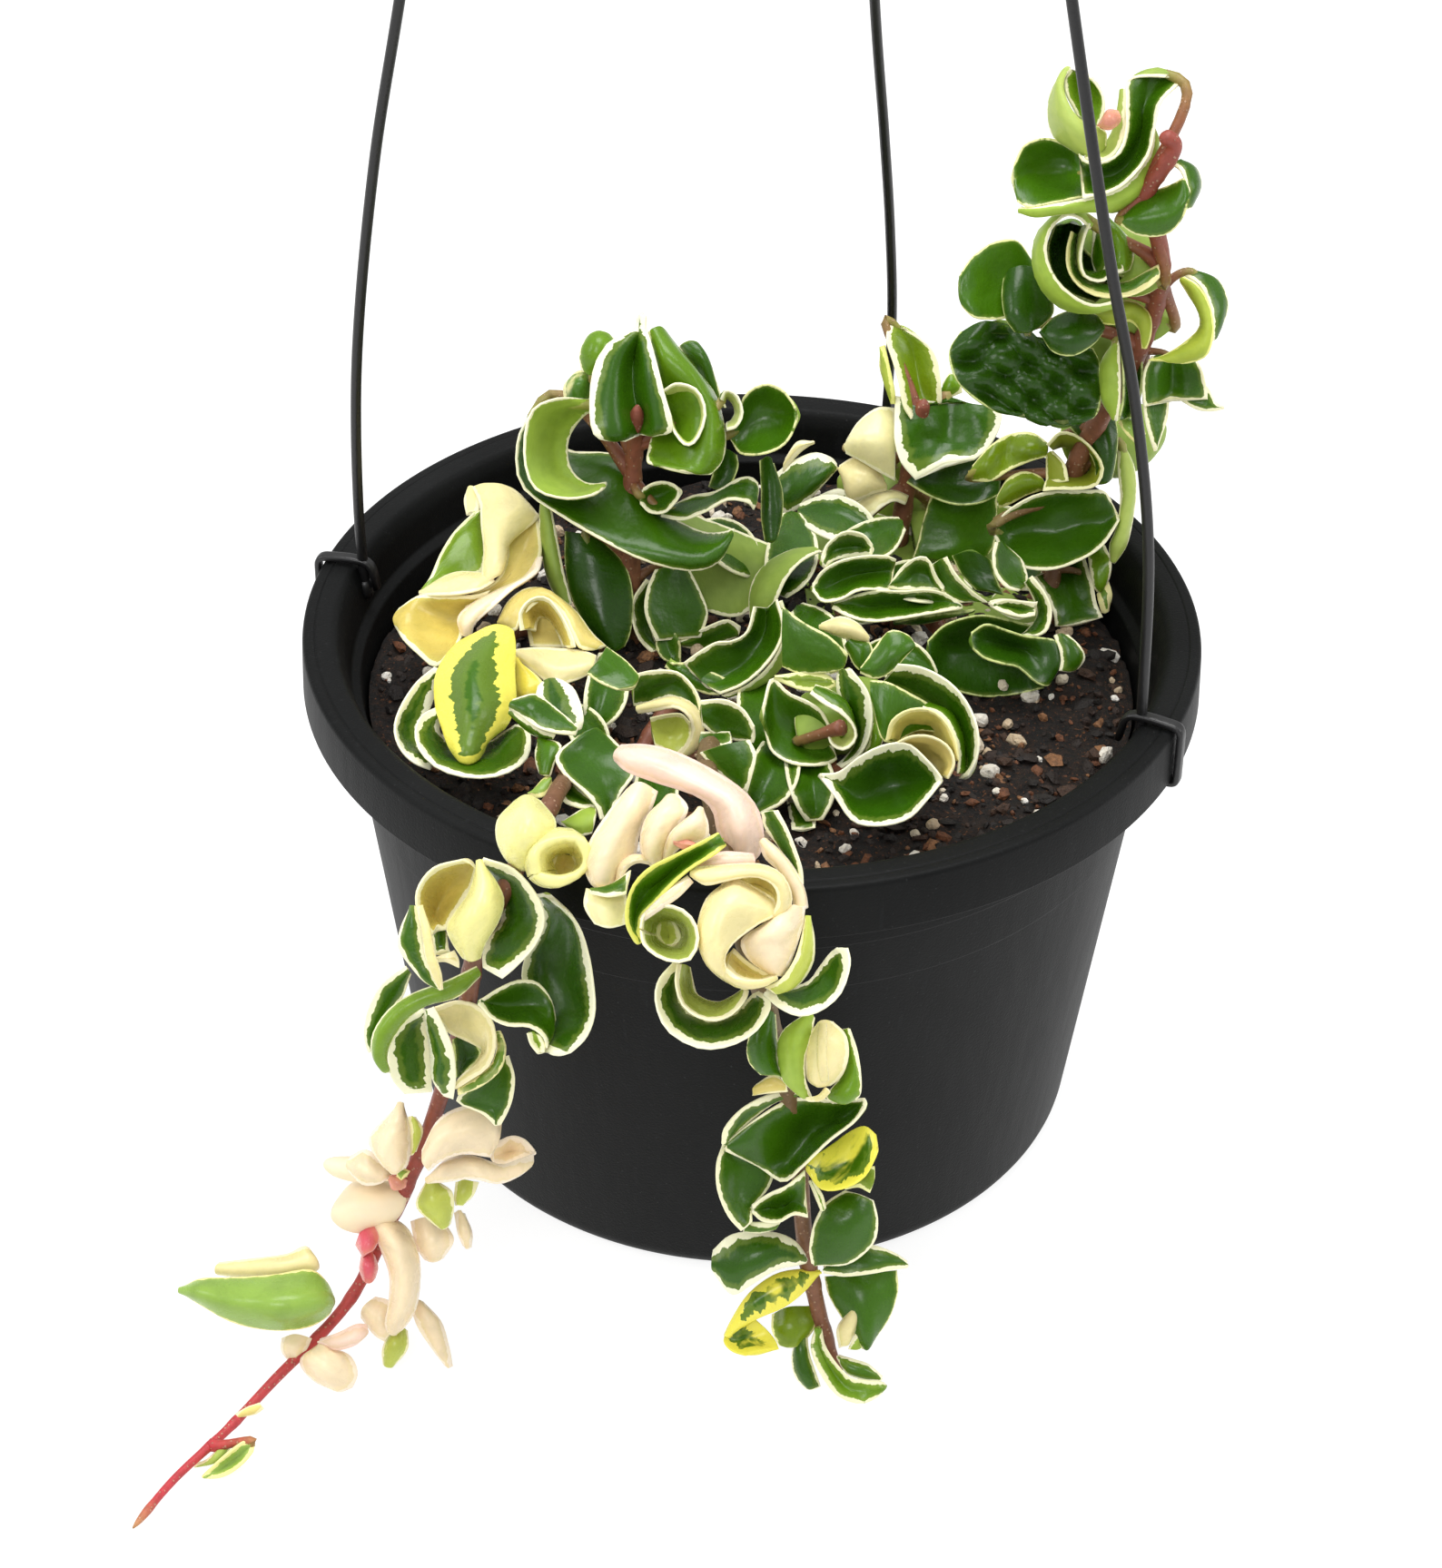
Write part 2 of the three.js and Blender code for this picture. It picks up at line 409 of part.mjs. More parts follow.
// The soil: a tapered fill with a bumpy top, grown upwards by grow.
function soilSolid(grow) {
  const rimRadius = BODY_TOP_RADIUS - WALL - THROAT_SLOPE - GAP - SOIL_SIDE_GAP;
  const footRadius = BASE_RADIUS - WALL - BASE_CHAMFER - GAP - SOIL_FOOT_GAP;
  const footHeight = WALL + GAP;
  const points = [[0, 0, SOIL_LEVEL + grow]];
  for (let ring = 1; ring <= SOIL_RINGS; ring += 1) {
    for (let i = 0; i < SOIL_SECTORS; i += 1) {
      const angle = (2 * Math.PI * i) / SOIL_SECTORS;
      const r = (rimRadius * ring) / SOIL_RINGS;
      const bump = SOIL_BUMP * (2 * hashed(ring * SOIL_SECTORS + i, 1) - 1);
      const edge = ring === SOIL_RINGS ? -SOIL_EDGE_DROP : 0;
      points.push([r * Math.cos(angle), r * Math.sin(angle), SOIL_LEVEL + bump + edge + grow]);
    }
  }
  const foot = points.length;
  for (let i = 0; i < SOIL_SECTORS; i += 1) {
    const angle = (2 * Math.PI * i) / SOIL_SECTORS;
    points.push([footRadius * Math.cos(angle), footRadius * Math.sin(angle), footHeight]);
  }
  points.push([0, 0, footHeight]);
  const faces = [];
  for (let i = 0; i < SOIL_SECTORS; i += 1) {
    const j = (i + 1) % SOIL_SECTORS;
    faces.push(0, 1 + i, 1 + j);
    for (let ring = 1; ring < SOIL_RINGS; ring += 1) {
      const inner = 1 + (ring - 1) * SOIL_SECTORS;
      const outer = inner + SOIL_SECTORS;
      faces.push(inner + i, outer + i, outer + j);
      faces.push(inner + i, outer + j, inner + j);
    }
    const top = foot - SOIL_SECTORS;
    faces.push(top + i, foot + i, foot + j);
    faces.push(top + i, foot + j, top + j);
    faces.push(points.length - 1, foot + j, foot + i);
  }
  return meshSolid(points, faces);
}

// A solid from a list of points and a flat list of triangle corners.
function meshSolid(points, faces) {
  return new wasm.Manifold(new wasm.Mesh({
    numProp: 3,
    vertProperties: new Float32Array(points.flat()),
    triVerts: new Uint32Array(faces),
  }));
}

const toVectors = (route) => route.map(([x, y, z]) => new THREE.Vector3(x, y, z));

// Each strand's route, from the clip inside the rim up to the hub, and the angle of its clip.
const STRANDS = {
  strand_left: { clipAngle: 168, route: [[-93, 20, 127], [-93.3, 19.4, 150], [-91.3, 18.3, 190],
    [-84.5, 17, 240], [-76.8, 15.7, 279], [-56, 13, 385], [-30, 11, 475], [-5, 8.6, 539.6]] },
  strand_right: { clipAngle: -25.6, route: [[87.6, -42, 129], [85.5, -38.6, 178], [80.1, -34.5, 212],
    [73.4, -30.9, 240], [61.5, -23.3, 297], [43, -12, 395], [22, -1, 480], [4.4, 5.6, 539.6]] },
  strand_back: { clipAngle: 69, route: [[34.4, 89.6, 129], [34.9, 89, 164], [33.2, 85.3, 192],
    [30.6, 79.6, 219], [26.6, 71.2, 257], [18, 49, 370], [9, 28, 470], [1.5, 12.8, 539.6]] },
};

// The clip: an arch that leaves the strand's foot, crosses the rim and hooks under the skirt.
function clipSolid(angleDegrees, grow) {
  const skirtRadius = RIM_RADIUS + SKIRT_FLARE;
  const inside = RIM_RADIUS - LIP_WIDTH - THROAT_SLOPE - GAP;
  const top = POT_HEIGHT + GAP;
  const out = skirtRadius + GAP;
  const low = POT_HEIGHT - SKIRT_DEPTH - GAP;
  const toe = out - WALL - 1;
  const tabFoot = POT_HEIGHT - CLIP_TAB_DROP;
  const t = CLIP_THICKNESS;
  const outline = new THREE.Shape([
    [inside - t - CLIP_TAB_REACH, tabFoot], [inside - 1, tabFoot], [inside - 1, POT_HEIGHT - LIP_DROP],
    [inside + THROAT_SLOPE, top], [out, top], [out, low], [toe, low], [toe, low - t], [out + t, low - t],
    [out + t, POT_HEIGHT - WALL], [out - 1, top + t + CLIP_SHOULDER], [inside + 1, top + t + CLIP_CREST],
    [inside - t - LIP_DROP, top + t - 1],
  ].map(([x, y]) => new THREE.Vector2(x, y)));
  const width = CLIP_WIDTH + 2 * grow;
  const plate = new THREE.ExtrudeGeometry(outline, { steps: 1, depth: width, bevelEnabled: false });
  plate.translate(0, 0, -width / 2);
  plate.rotateX(Math.PI / 2);
  plate.rotateZ(rad(angleDegrees));
  return toSolid(plate);
}

// One strand with its clip, ending just short of the hub.
function strandSolid({ clipAngle, route }, grow) {
  const path = new THREE.CatmullRomCurve3(toVectors(route), false, 'centripetal');
  const strand = bar(path, STRAND_RADIUS + grow, STRAND_SIDES, STRAND_STEPS);
  return strand.add(clipSolid(clipAngle, grow));
}

// The hub that the strands meet in, with the open hook over it in the XZ plane.
function hookSolid() {
  const [x, y, z] = HUB_POINT;
  const hub = new THREE.CylinderGeometry(HUB_RADIUS - HUB_TAPER, HUB_RADIUS, HUB_HEIGHT, HUB_SIDES);
  hub.rotateX(Math.PI / 2);
  hub.translate(x, y, z + GAP + HUB_HEIGHT / 2);
  const radius = HOOK_INNER_RADIUS + HOOK_ROD;
  const centreZ = z + HUB_HEIGHT + HOOK_NECK + radius;
  const points = [[x, y, z + NECK_START], [x, y, centreZ - radius - HOOK_BEND]];
  for (let i = 0; i <= HOOK_ARC_STEPS; i += 1) {
    const angle = rad(HOOK_ARC_START + (HOOK_ARC_SWEEP * i) / HOOK_ARC_STEPS);
    points.push([x + radius * Math.cos(angle), y, centreZ + radius * Math.sin(angle)]);
  }
  const path = new THREE.CatmullRomCurve3(toVectors(points), false, 'centripetal');
  return toSolid(hub).add(bar(path, HOOK_ROD, HOOK_SIDES, HOOK_STEPS));
}

// The width of a blade along its length, 1 at the widest place.
function bladeProfile(x, baseFullness, tipFullness) {
  const widest = baseFullness / (baseFullness + tipFullness);
  const full = widest ** baseFullness * (1 - widest) ** tipFullness;
  return (clamp01(x) ** baseFullness * (1 - clamp01(x)) ** tipFullness) / full;
}

// The view-aligned axes that the leaf table is written in: right, up and towards the viewer.
const VIEW_RIGHT = new THREE.Vector3(1, 0, 0);
const VIEW_UP = new THREE.Vector3(0, Math.sin(rad(VIEW_ELEVATION)), Math.cos(rad(VIEW_ELEVATION)));
const VIEW_TOWARD = new THREE.Vector3(0, -Math.cos(rad(VIEW_ELEVATION)), Math.sin(rad(VIEW_ELEVATION)));

function fromView(right, up, toward) {
  return new THREE.Vector3().addScaledVector(VIEW_RIGHT, right).addScaledVector(VIEW_UP, up)
    .addScaledVector(VIEW_TOWARD, toward);
}

// The three axes of a leaf: along the blade, across it, and out of its glossy face.
function leafAxes(turn, lean, spin) {
  const ct = Math.cos(rad(turn));
  const st = Math.sin(rad(turn));
  const cl = Math.cos(rad(lean));
  const sl = Math.sin(rad(lean));
  const along = fromView(cl * ct, cl * st, sl);
  const flatNormal = fromView(-sl * ct, -sl * st, cl);
  const flatAcross = new THREE.Vector3().crossVectors(flatNormal, along);
  const normal = flatNormal.multiplyScalar(Math.cos(rad(spin)))
    .addScaledVector(flatAcross, Math.sin(rad(spin)));
  const across = new THREE.Vector3().crossVectors(normal, along);
  return { along, across, normal };
}

// A curled leaf as a function of u (0 at the petiole, 1 at the tip) and v (-1 and 1 at the margins).
// The midrib bends and sways, the blade twists about it, and each half curls up as an arc, which
// curling scales.
function leafSurface(formName, length, leafNumber, grow, curling) {
  const form = FORMS[formName];
  const jitter = (draw, amount) => 1 + amount * (2 * hashed(leafNumber, draw) - 1);
  const halfWidth = form[0] * jitter(1, 0.08) * length;
  const fold = rad(form[1]);
  const cupLeft = form[2] * jitter(2, 0.12);
  const cupRight = form[3] * jitter(3, 0.12);
  const bend = rad(form[4] * jitter(4, 0.2));
  const twist = rad(form[6] + 14 * (2 * hashed(leafNumber, 5) - 1));
  const sway = rad(form[7] + 14 * (2 * hashed(leafNumber, 6) - 1));
  const phase = hashed(leafNumber, 7);
  const total = length + PETIOLE;
  const bladeStart = PETIOLE / total;
  const bladePart = (u) => clamp01((u - bladeStart) / (1 - bladeStart));
  const bendAt = (x) => bend * (x ** form[5] - 0.45);
  const swayAt = (x) => sway * (x * x - 0.3);
  const fineSteps = 96;
  const midrib = [new THREE.Vector3()];
  for (let i = 0; i < fineSteps; i += 1) {
    const x = bladePart((i + 0.5) / fineSteps);
    const step = new THREE.Vector3(Math.cos(bendAt(x)) * Math.cos(swayAt(x)), Math.sin(swayAt(x)),
      Math.sin(bendAt(x)) * Math.cos(swayAt(x)));
    midrib.push(midrib[i].clone().addScaledVector(step, total / fineSteps));
  }
  return (u, v) => {
    const place = u * fineSteps;
    const low = Math.min(Math.floor(place), fineSteps - 1);
    const point = midrib[low].clone().lerp(midrib[low + 1], place - low);
    const x = bladePart(u);
    const phi = bendAt(x);
    const psi = swayAt(x);
    const flatNormal = new THREE.Vector3(-Math.sin(phi), 0, Math.cos(phi));
    const flatAcross = new THREE.Vector3(-Math.cos(phi) * Math.sin(psi), Math.cos(psi),
      -Math.sin(phi) * Math.sin(psi));
    const across = flatAcross.clone().multiplyScalar(Math.cos(twist * x))
      .addScaledVector(flatNormal, Math.sin(twist * x));
    const normal = flatNormal.multiplyScalar(Math.cos(twist * x))
      .addScaledVector(flatAcross, -Math.sin(twist * x));
    const profile = bladeProfile(x, form[11], form[12]);
    const width = Math.max(1, halfWidth * profile);
    const side = v >= 0 ? 1 : -1;
    const opening = clamp01(0.3 + 5 * x);
    const start = fold * opening * opening * (3 - 2 * opening);
    const wave = Math.sin(2 * Math.PI * (form[9] * x + phase + (side > 0 ? 0.35 : 0)));
    const ripple = form[8] * Math.sin(Math.PI * x) * wave;
    let curl = curling * rad(((side > 0 ? cupRight : cupLeft) + ripple) * clamp01(profile) ** 0.8);
    if (Math.abs(curl) < 1e-3) curl = 1e-3;
    const s = Math.abs(v) * (1 + grow / width);
    const y = (width / curl) * (Math.sin(start + curl * s) - Math.sin(start)) * side;
    const z = (width / curl) * (Math.cos(start) - Math.cos(start + curl * s));
    return point.addScaledVector(across, y).addScaledVector(normal, z);
  };
}

// The places across a blade where its blocks meet. A half that rolls up ends where the roll would
// turn back over the blade.
function acrossSamples(formName, long) {
  const half = (cup) => {
    if (Math.abs(cup) > 200) return [0.33, 0.67];
    if (long || Math.abs(cup) > 110) return [0.5, 1];
    return [1];
  };
  const [, , cupLeft, cupRight] = FORMS[formName];
  return [...half(cupLeft).map((v) => -v).reverse(), 0, ...half(cupRight)];
}

// One leaf as a row of thin blocks that share their corners, in the part's own frame.
function leafBlocks(stemPoint, leaf, leafNumber, grow, curling) {
  const [, right, up, toward, turn, lean, spin, length, formName] = leaf;
  const thickness = FORMS[formName][10];
  const surface = leafSurface(formName, length, leafNumber, grow, curling);
  const { along, across, normal } = leafAxes(turn, lean, spin);
  const centre = fromView(right, up, toward).add(stemPoint);
  const middle = surface(LEAF_MIDDLE, 0);
  const place = (point) => {
    const p = point.clone().sub(middle);
    return centre.clone().addScaledVector(along, p.x).addScaledVector(across, p.y)
      .addScaledVector(normal, p.z);
  };
  const long = length >= LONG_LEAF;
  const lengthSamples = long ? LONG_LEAF_STATIONS : LEAF_STATIONS;
  const samples = acrossSamples(formName, long);
  const half = thickness / 2 + grow;
  const top = [];
  const bottom = [];
  lengthSamples.forEach((u) => {
    const topRow = [];
    const bottomRow = [];
    samples.forEach((v) => {
      const e = SLOPE_STEP;
      const here = surface(u, v);
      const tangent = surface(Math.min(u + e, 1), v).sub(surface(Math.max(u - e, 0), v));
      const sideNormal = (a, b) => {
        const crossways = surface(u, b).sub(surface(u, a));
        return new THREE.Vector3().crossVectors(tangent, crossways).normalize();
      };
      let n;
      if (v === 0) n = sideNormal(-e, 0).add(sideNormal(0, e)).normalize();
      else if (v > 0) n = sideNormal(v - e, Math.min(v + e, 1));
      else n = sideNormal(Math.max(v - e, -1), v + e);
      topRow.push(place(here.clone().addScaledVector(n, half)));
      bottomRow.push(place(here.clone().addScaledVector(n, -half)));
    });
    top.push(topRow);
    bottom.push(bottomRow);
  });
  const blocks = [];
  for (let i = 0; i + 1 < lengthSamples.length; i += 1) {
    for (let j = 0; j + 1 < samples.length; j += 1) {
      blocks.push(block([
        bottom[i][j], bottom[i + 1][j], bottom[i + 1][j + 1], bottom[i][j + 1],
        top[i][j], top[i + 1][j], top[i + 1][j + 1], top[i][j + 1],
      ]));
    }
  }
  return { blocks, base: place(surface(0, 0)) };
}

// A six-sided block from its corners, with each side split the same way as its neighbour's.
function block(corners) {
  const points = corners.map((p) => [p.x, p.y, p.z]);
  const faces = [
    0, 2, 1, 0, 3, 2,
    4, 5, 6, 4, 6, 7,
    0, 1, 5, 0, 5, 4,
    3, 6, 2, 3, 7, 6,
    0, 4, 7, 0, 7, 3,
    1, 2, 6, 1, 6, 5,
  ];
  return meshSolid(points, faces);
}

// A stem's smooth route, and the point on it at a distance along it.
function stemCurve(route) {
  return new THREE.CatmullRomCurve3(toVectors(route), false, 'catmullrom', 0.5);
}

function pointAt(curve, distance) {
  return curve.getPointAt(clamp01(distance / curve.getLength()));
}

// The stem alone: the root that stands in the soil's hole, and the whole route.
function stemBar(stem, grow) {
  const curve = stemCurve(stem.route);
  const steps = Math.max(6, Math.round(curve.getLength() / STEM_STEP));
  return bar(curve, stem.radius + grow, STEM_SIDES, steps);
}

// How much of its curl a blade can keep in blocks this coarse before they cross one another.
function curlingOf(stemPoint, leaf, leafNumber) {
  for (const curling of CURLINGS) {
    const blade = joinAll(leafBlocks(stemPoint, leaf, leafNumber, 0, curling).blocks);
    if (touchingEdges(blade) === 0 && blade.decompose().length === 1) return curling;
  }
  return LEAST_CURLING;
}

// A leafy stem. A leaf that doesn't already grow into its stem or a neighbour gets its petiole, and
// habits keeps that and the leaf's curl. Leaves under the stem's shortest don't matter to the solid.
function leafyStem(stem, firstNumber, grow, habits) {
  const curve = stemCurve(stem.route);
  let whole = stemBar(stem, grow);
  stem.leaves.forEach((leaf, i) => {
    if (leaf[7] < (stem.shortest ?? SHORTEST_LEAF)) return;
    const stemPoint = pointAt(curve, leaf[0]);
    const isNew = !habits.has(i);
    if (isNew) habits.set(i, { curling: curlingOf(stemPoint, leaf, firstNumber + i) });
    const habit = habits.get(i);
    const { blocks, base } = leafBlocks(stemPoint, leaf, firstNumber + i, grow, habit.curling);
    let blade = joinAll(blocks);
    if (isNew) habit.petiole = blade.intersect(whole).volume() < JOIN_VOLUME;
    if (habit.petiole) {
      const reach = base.clone().sub(stemPoint).normalize();
      const end = base.clone().addScaledVector(reach, PETIOLE_RADIUS);
      blade = blade.add(bar(new THREE.LineCurve3(stemPoint, end), PETIOLE_RADIUS + grow, 4, 1));
    }
    whole = whole.add(blade);
  });
  return whole;
}

// Everything below the surface that the pot stands on.
function floorBlock() {
  const size = 700;
  const box = new THREE.BoxGeometry(size, size, size);
  box.translate(0, 0, FLOOR_CUT - size / 2);
  return toSolid(box);
}

const group = new THREE.Group();

function addMesh(name, solid, color, roughness) {
  const material = new THREE.MeshStandardMaterial({ color, roughness, metalness: 0 });
  const mesh = new THREE.Mesh(toGeometry(solid), material);
  mesh.name = name;
  group.add(mesh);
}

// The hard pieces.
addMesh('pot', potSolid(0).subtract(drainHoles()), 0x2b2d2e, 0.55);
const stemNames = Object.keys(STEMS);
const stemHoles = joinAll(stemNames.map((name) => stemBar(STEMS[name], GAP)));
addMesh('soil', largestBody(soilSolid(0).subtract(stemHoles)), 0x2a1d14, 0.95);
const strandNames = Object.keys(STRANDS);
const grownPot = potSolid(GAP);
for (const name of strandNames) {
  addMesh(name, largestBody(strandSolid(STRANDS[name], 0).subtract(grownPot)), 0x161718, 0.5);
}
addMesh('hook', hookSolid(), 0x161718, 0.5);

// The leafy stems. Each is cut clear of the hard pieces and of the stems made before it.
const hardPieces = [grownPot, ...strandNames.map((name) => strandSolid(STRANDS[name], GAP))];
let taken = joinAll(hardPieces).add(floorBlock());
const order = ['trail_front', 'stem_right', 'stem_tall', 'trail_left', 'stem_front_right', 'stem_centre',
  'stem_yellow', 'stem_mid', 'stem_back'];
const firstNumbers = {};
let count = 1;
for (const name of stemNames) {
  firstNumbers[name] = count;
  count += STEMS[name].leaves.length;
}
const roots = soilSolid(GAP).subtract(stemHoles);
taken = taken.add(roots);
for (const name of order) {
  const habits = new Map();
  const leafy = settled(leafyStem(STEMS[name], firstNumbers[name], 0, habits), SMOOTHING_DISTANCES);
  const clear = largestBody(leafy.subtract(taken));
  addMesh(name, clear, 0x2f6b1e, 0.4);
  taken = taken.add(leafyStem(STEMS[name], firstNumbers[name], GAP + SMOOTHING, habits)).add(clear);
}

export default group;
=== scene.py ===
# A potted variegated hindu rope hoya under its hanger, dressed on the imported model.
# The model gives every place; all lengths below are in millimetres until a mesh is laid.
import bpy
import numpy as np
from mathutils import Matrix, Vector


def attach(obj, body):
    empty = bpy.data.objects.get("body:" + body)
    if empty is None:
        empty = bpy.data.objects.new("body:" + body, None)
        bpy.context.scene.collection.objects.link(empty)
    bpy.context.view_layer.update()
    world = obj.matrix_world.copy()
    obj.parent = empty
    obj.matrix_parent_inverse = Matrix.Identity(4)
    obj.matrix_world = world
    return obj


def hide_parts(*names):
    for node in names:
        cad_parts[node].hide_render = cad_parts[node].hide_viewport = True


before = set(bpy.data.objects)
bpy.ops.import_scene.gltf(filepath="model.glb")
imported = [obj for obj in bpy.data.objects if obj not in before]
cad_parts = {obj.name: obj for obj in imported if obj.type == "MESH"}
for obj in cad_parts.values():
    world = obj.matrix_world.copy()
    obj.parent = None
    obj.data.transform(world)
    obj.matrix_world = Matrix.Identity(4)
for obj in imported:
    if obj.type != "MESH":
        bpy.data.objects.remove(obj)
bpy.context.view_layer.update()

# Camera: a long lens held above and in front of the pot, tipped down a little over 36 degrees
# and rolled by half a degree, as the plant was photographed.
MM = 0.001
EYE = (-6.83, -641.9, 556.65)
LOOK_DOWN = np.radians(36.34)
ROLL = np.radians(0.599)
LENS = 75.04
SENSOR = 36.0

lens = bpy.data.cameras.new("camera")
lens.lens, lens.sensor_width, lens.sensor_fit = LENS, SENSOR, "AUTO"
lens.clip_start, lens.clip_end = 0.05, 60.0
camera = bpy.data.objects.new("camera", lens)
bpy.context.scene.collection.objects.link(camera)
level = np.array([1.0, 0.0, 0.0])
ahead = np.array([0.0, np.cos(LOOK_DOWN), -np.sin(LOOK_DOWN)])
above = np.array([0.0, np.sin(LOOK_DOWN), np.cos(LOOK_DOWN)])
turned = np.eye(4)
turned[:3, 0] = level * np.cos(ROLL) + above * np.sin(ROLL)
turned[:3, 1] = -level * np.sin(ROLL) + above * np.cos(ROLL)
turned[:3, 2] = -ahead
turned[:3, 3] = np.array(EYE) * MM
camera.matrix_world = Matrix(turned.tolist())
bpy.context.scene.camera = camera


# Studio: a plain white backlit sheet on the ground, pale walls all round, and four big soft boxes,
# the main one overhead and the others on both sides and in front.
SHEET_SIZE = 14.0
SHEET_GLOW = 0.84
WALL_LIGHT = 0.6
SOFT_BOXES = [
    ("soft_box_overhead", (0.05, 0.25, 1.7), (1.0, 0.9), 19.0),
    ("soft_box_left", (-1.5, -0.2, 1.1), (0.5, 0.9), 7.0),
    ("soft_box_right", (1.5, -0.1, 1.1), (0.5, 0.9), 7.0),
    ("soft_box_front", (-0.35, -1.2, 1.5), (0.7, 0.5), 9.0),
]


class Flow:
    """A number, colour or vector on its way through a finish. Arithmetic on it adds Math nodes."""

    def __init__(self, finish, socket):
        self.finish, self.socket = finish, socket

    def work(self, operation, *others):
        values = dict(enumerate((self,) + others))
        return self.finish.add("ShaderNodeMath", {"operation": operation}, values)

    def __add__(self, other):
        return self.work("ADD", other)

    def __sub__(self, other):
        return self.work("SUBTRACT", other)

    def __mul__(self, other):
        return self.work("MULTIPLY", other)

    def __rsub__(self, other):
        return (self * -1.0).work("ADD", other)

    def __pow__(self, other):
        return self.work("POWER", other)

    __radd__ = __add__
    __rmul__ = __mul__

    def step(self, low, high):
        """0 below low and 1 above high, with a smooth rise between them."""
        settings = {"interpolation_type": "SMOOTHSTEP"}
        values = {"Value": self, "From Min": low, "From Max": high}
        return self.finish.add("ShaderNodeMapRange", settings, values)


class Finish:
    """A material as it is made up: its nodes are added one by one, and done() joins them to it."""

    def __init__(self, name):
        self.material = bpy.data.materials.new(name)
        self.material.use_nodes = True
        self.tree = self.material.node_tree
        self.tree.nodes.clear()

    def add(self, kind, settings=None, values=None, output=0):
        """A node of a type, with its settings made first and then its sockets given or linked."""
        node = self.tree.nodes.new(kind)
        for name, value in (settings or {}).items():
            if name == "stops":
                ramp = node.color_ramp
                ramp.elements[0].position, ramp.elements[0].color = value[0]
                ramp.elements[1].position, ramp.elements[1].color = value[-1]
                for place, colour in value[1:-1]:
                    ramp.elements.new(place).color = colour
            else:
                setattr(node, name, value)
        for name, value in (values or {}).items():
            if isinstance(value, Flow):
                self.tree.links.new(value.socket, node.inputs[name])
            else:
                node.inputs[name].default_value = value
        return Flow(self, node.outputs[output]) if len(node.outputs) else None

    def place(self):
        """The point on the piece, in its own coordinates, in millimetres."""
        here = self.add("ShaderNodeTexCoord", output=3)
        return self.stretch(here, (1 / MM, 1 / MM, 1 / MM))

    def stretch(self, vector, scale):
        """A vector with each part of it scaled."""
        return self.add("ShaderNodeVectorMath", {"operation": "MULTIPLY"}, {0: vector, 1: scale})

    def grain(self, vector, size, detail=3.0, roughness=0.55, distortion=0.0):
        """Cloudy noise from 0 to 1 whose lumps are about size across."""
        values = {"Vector": vector, "Scale": 1.0 / size, "Detail": detail, "Roughness": roughness,
                  "Distortion": distortion}
        return self.add("ShaderNodeTexNoise", {"noise_dimensions": "3D"}, values)

    def mix(self, share, first, second):
        """A colour that goes from the first to the second as the share goes from 0 to 1."""
        settings = {"data_type": "RGBA", "clamp_factor": True}
        return self.add("ShaderNodeMix", settings, {0: share, 6: first, 7: second}, output=2)

    def painted(self, name, output=0):
        """What the mesh carries under that name: output 0 is a colour, 1 a vector and 2 a number."""
        return self.add("ShaderNodeAttribute", {"attribute_name": name}, {}, output)

    def relief(self, height, depth, below=None):
        """A normal that is tilted as if the surface rose by height times depth, in metres."""
        values = {"Strength": 1.0, "Distance": depth, "Height": height}
        if below is not None:
            values["Normal"] = below
        return self.add("ShaderNodeBump", {}, values)

    def done(self, values):
        """Joins a Principled shader with these values to the material's surface."""
        shader = self.add("ShaderNodeBsdfPrincipled", {}, values)
        self.add("ShaderNodeOutputMaterial", {}, {"Surface": shader})
        return self.material


def shade(red, green, blue):
    """A colour for a socket from its screen values, 0 to 255."""
    screen = np.array([red, green, blue]) / 255.0
    light = np.where(screen <= 0.04045, screen / 12.92, ((screen + 0.055) / 1.055) ** 2.4)
    return (*light.tolist(), 1.0)


def sheet_finish():
    """A white plastic sheet, lit from below, with a barely seen tooth."""
    sheet = Finish("backlit_sheet")
    tooth = sheet.grain(sheet.place(), 1.5)
    tint = sheet.mix(tooth, shade(146, 146, 146), shade(152, 152, 152))
    return sheet.done({"Base Color": tint, "Roughness": 0.9 + tooth * 0.05,
                       "Specular IOR Level": 0.0, "Emission Color": (1.0, 1.0, 1.0, 1.0),
                       "Emission Strength": SHEET_GLOW})


floor_mesh = bpy.data.meshes.new("floor")
half = SHEET_SIZE / 2
floor_mesh.from_pydata([(-half, -half, 0), (half, -half, 0), (half, half, 0), (-half, half, 0)],
                       [], [(0, 1, 2, 3)])
floor_mesh.materials.append(sheet_finish())
floor = bpy.data.objects.new("floor", floor_mesh)
bpy.context.scene.collection.objects.link(floor)

world = bpy.data.worlds.new("studio_walls")
world.use_nodes = True
world.node_tree.nodes["Background"].inputs["Color"].default_value = (1.0, 1.0, 1.0, 1.0)
world.node_tree.nodes["Background"].inputs["Strength"].default_value = WALL_LIGHT
bpy.context.scene.world = world
bpy.context.scene.view_settings.view_transform = "Standard"

for name, spot, size, power in SOFT_BOXES:
    box = bpy.data.lights.new(name, "AREA")
    box.shape, box.size, box.size_y, box.energy = "RECTANGLE", size[0], size[1], power
    lamp = bpy.data.objects.new(name, box)
    bpy.context.scene.collection.objects.link(lamp)
    aim = np.array([0.0, 0.0, 0.1]) - np.array(spot)
    lamp.location = spot
    lamp.rotation_mode = "QUATERNION"
    lamp.rotation_quaternion = Vector(aim).to_track_quat("-Z", "Y")


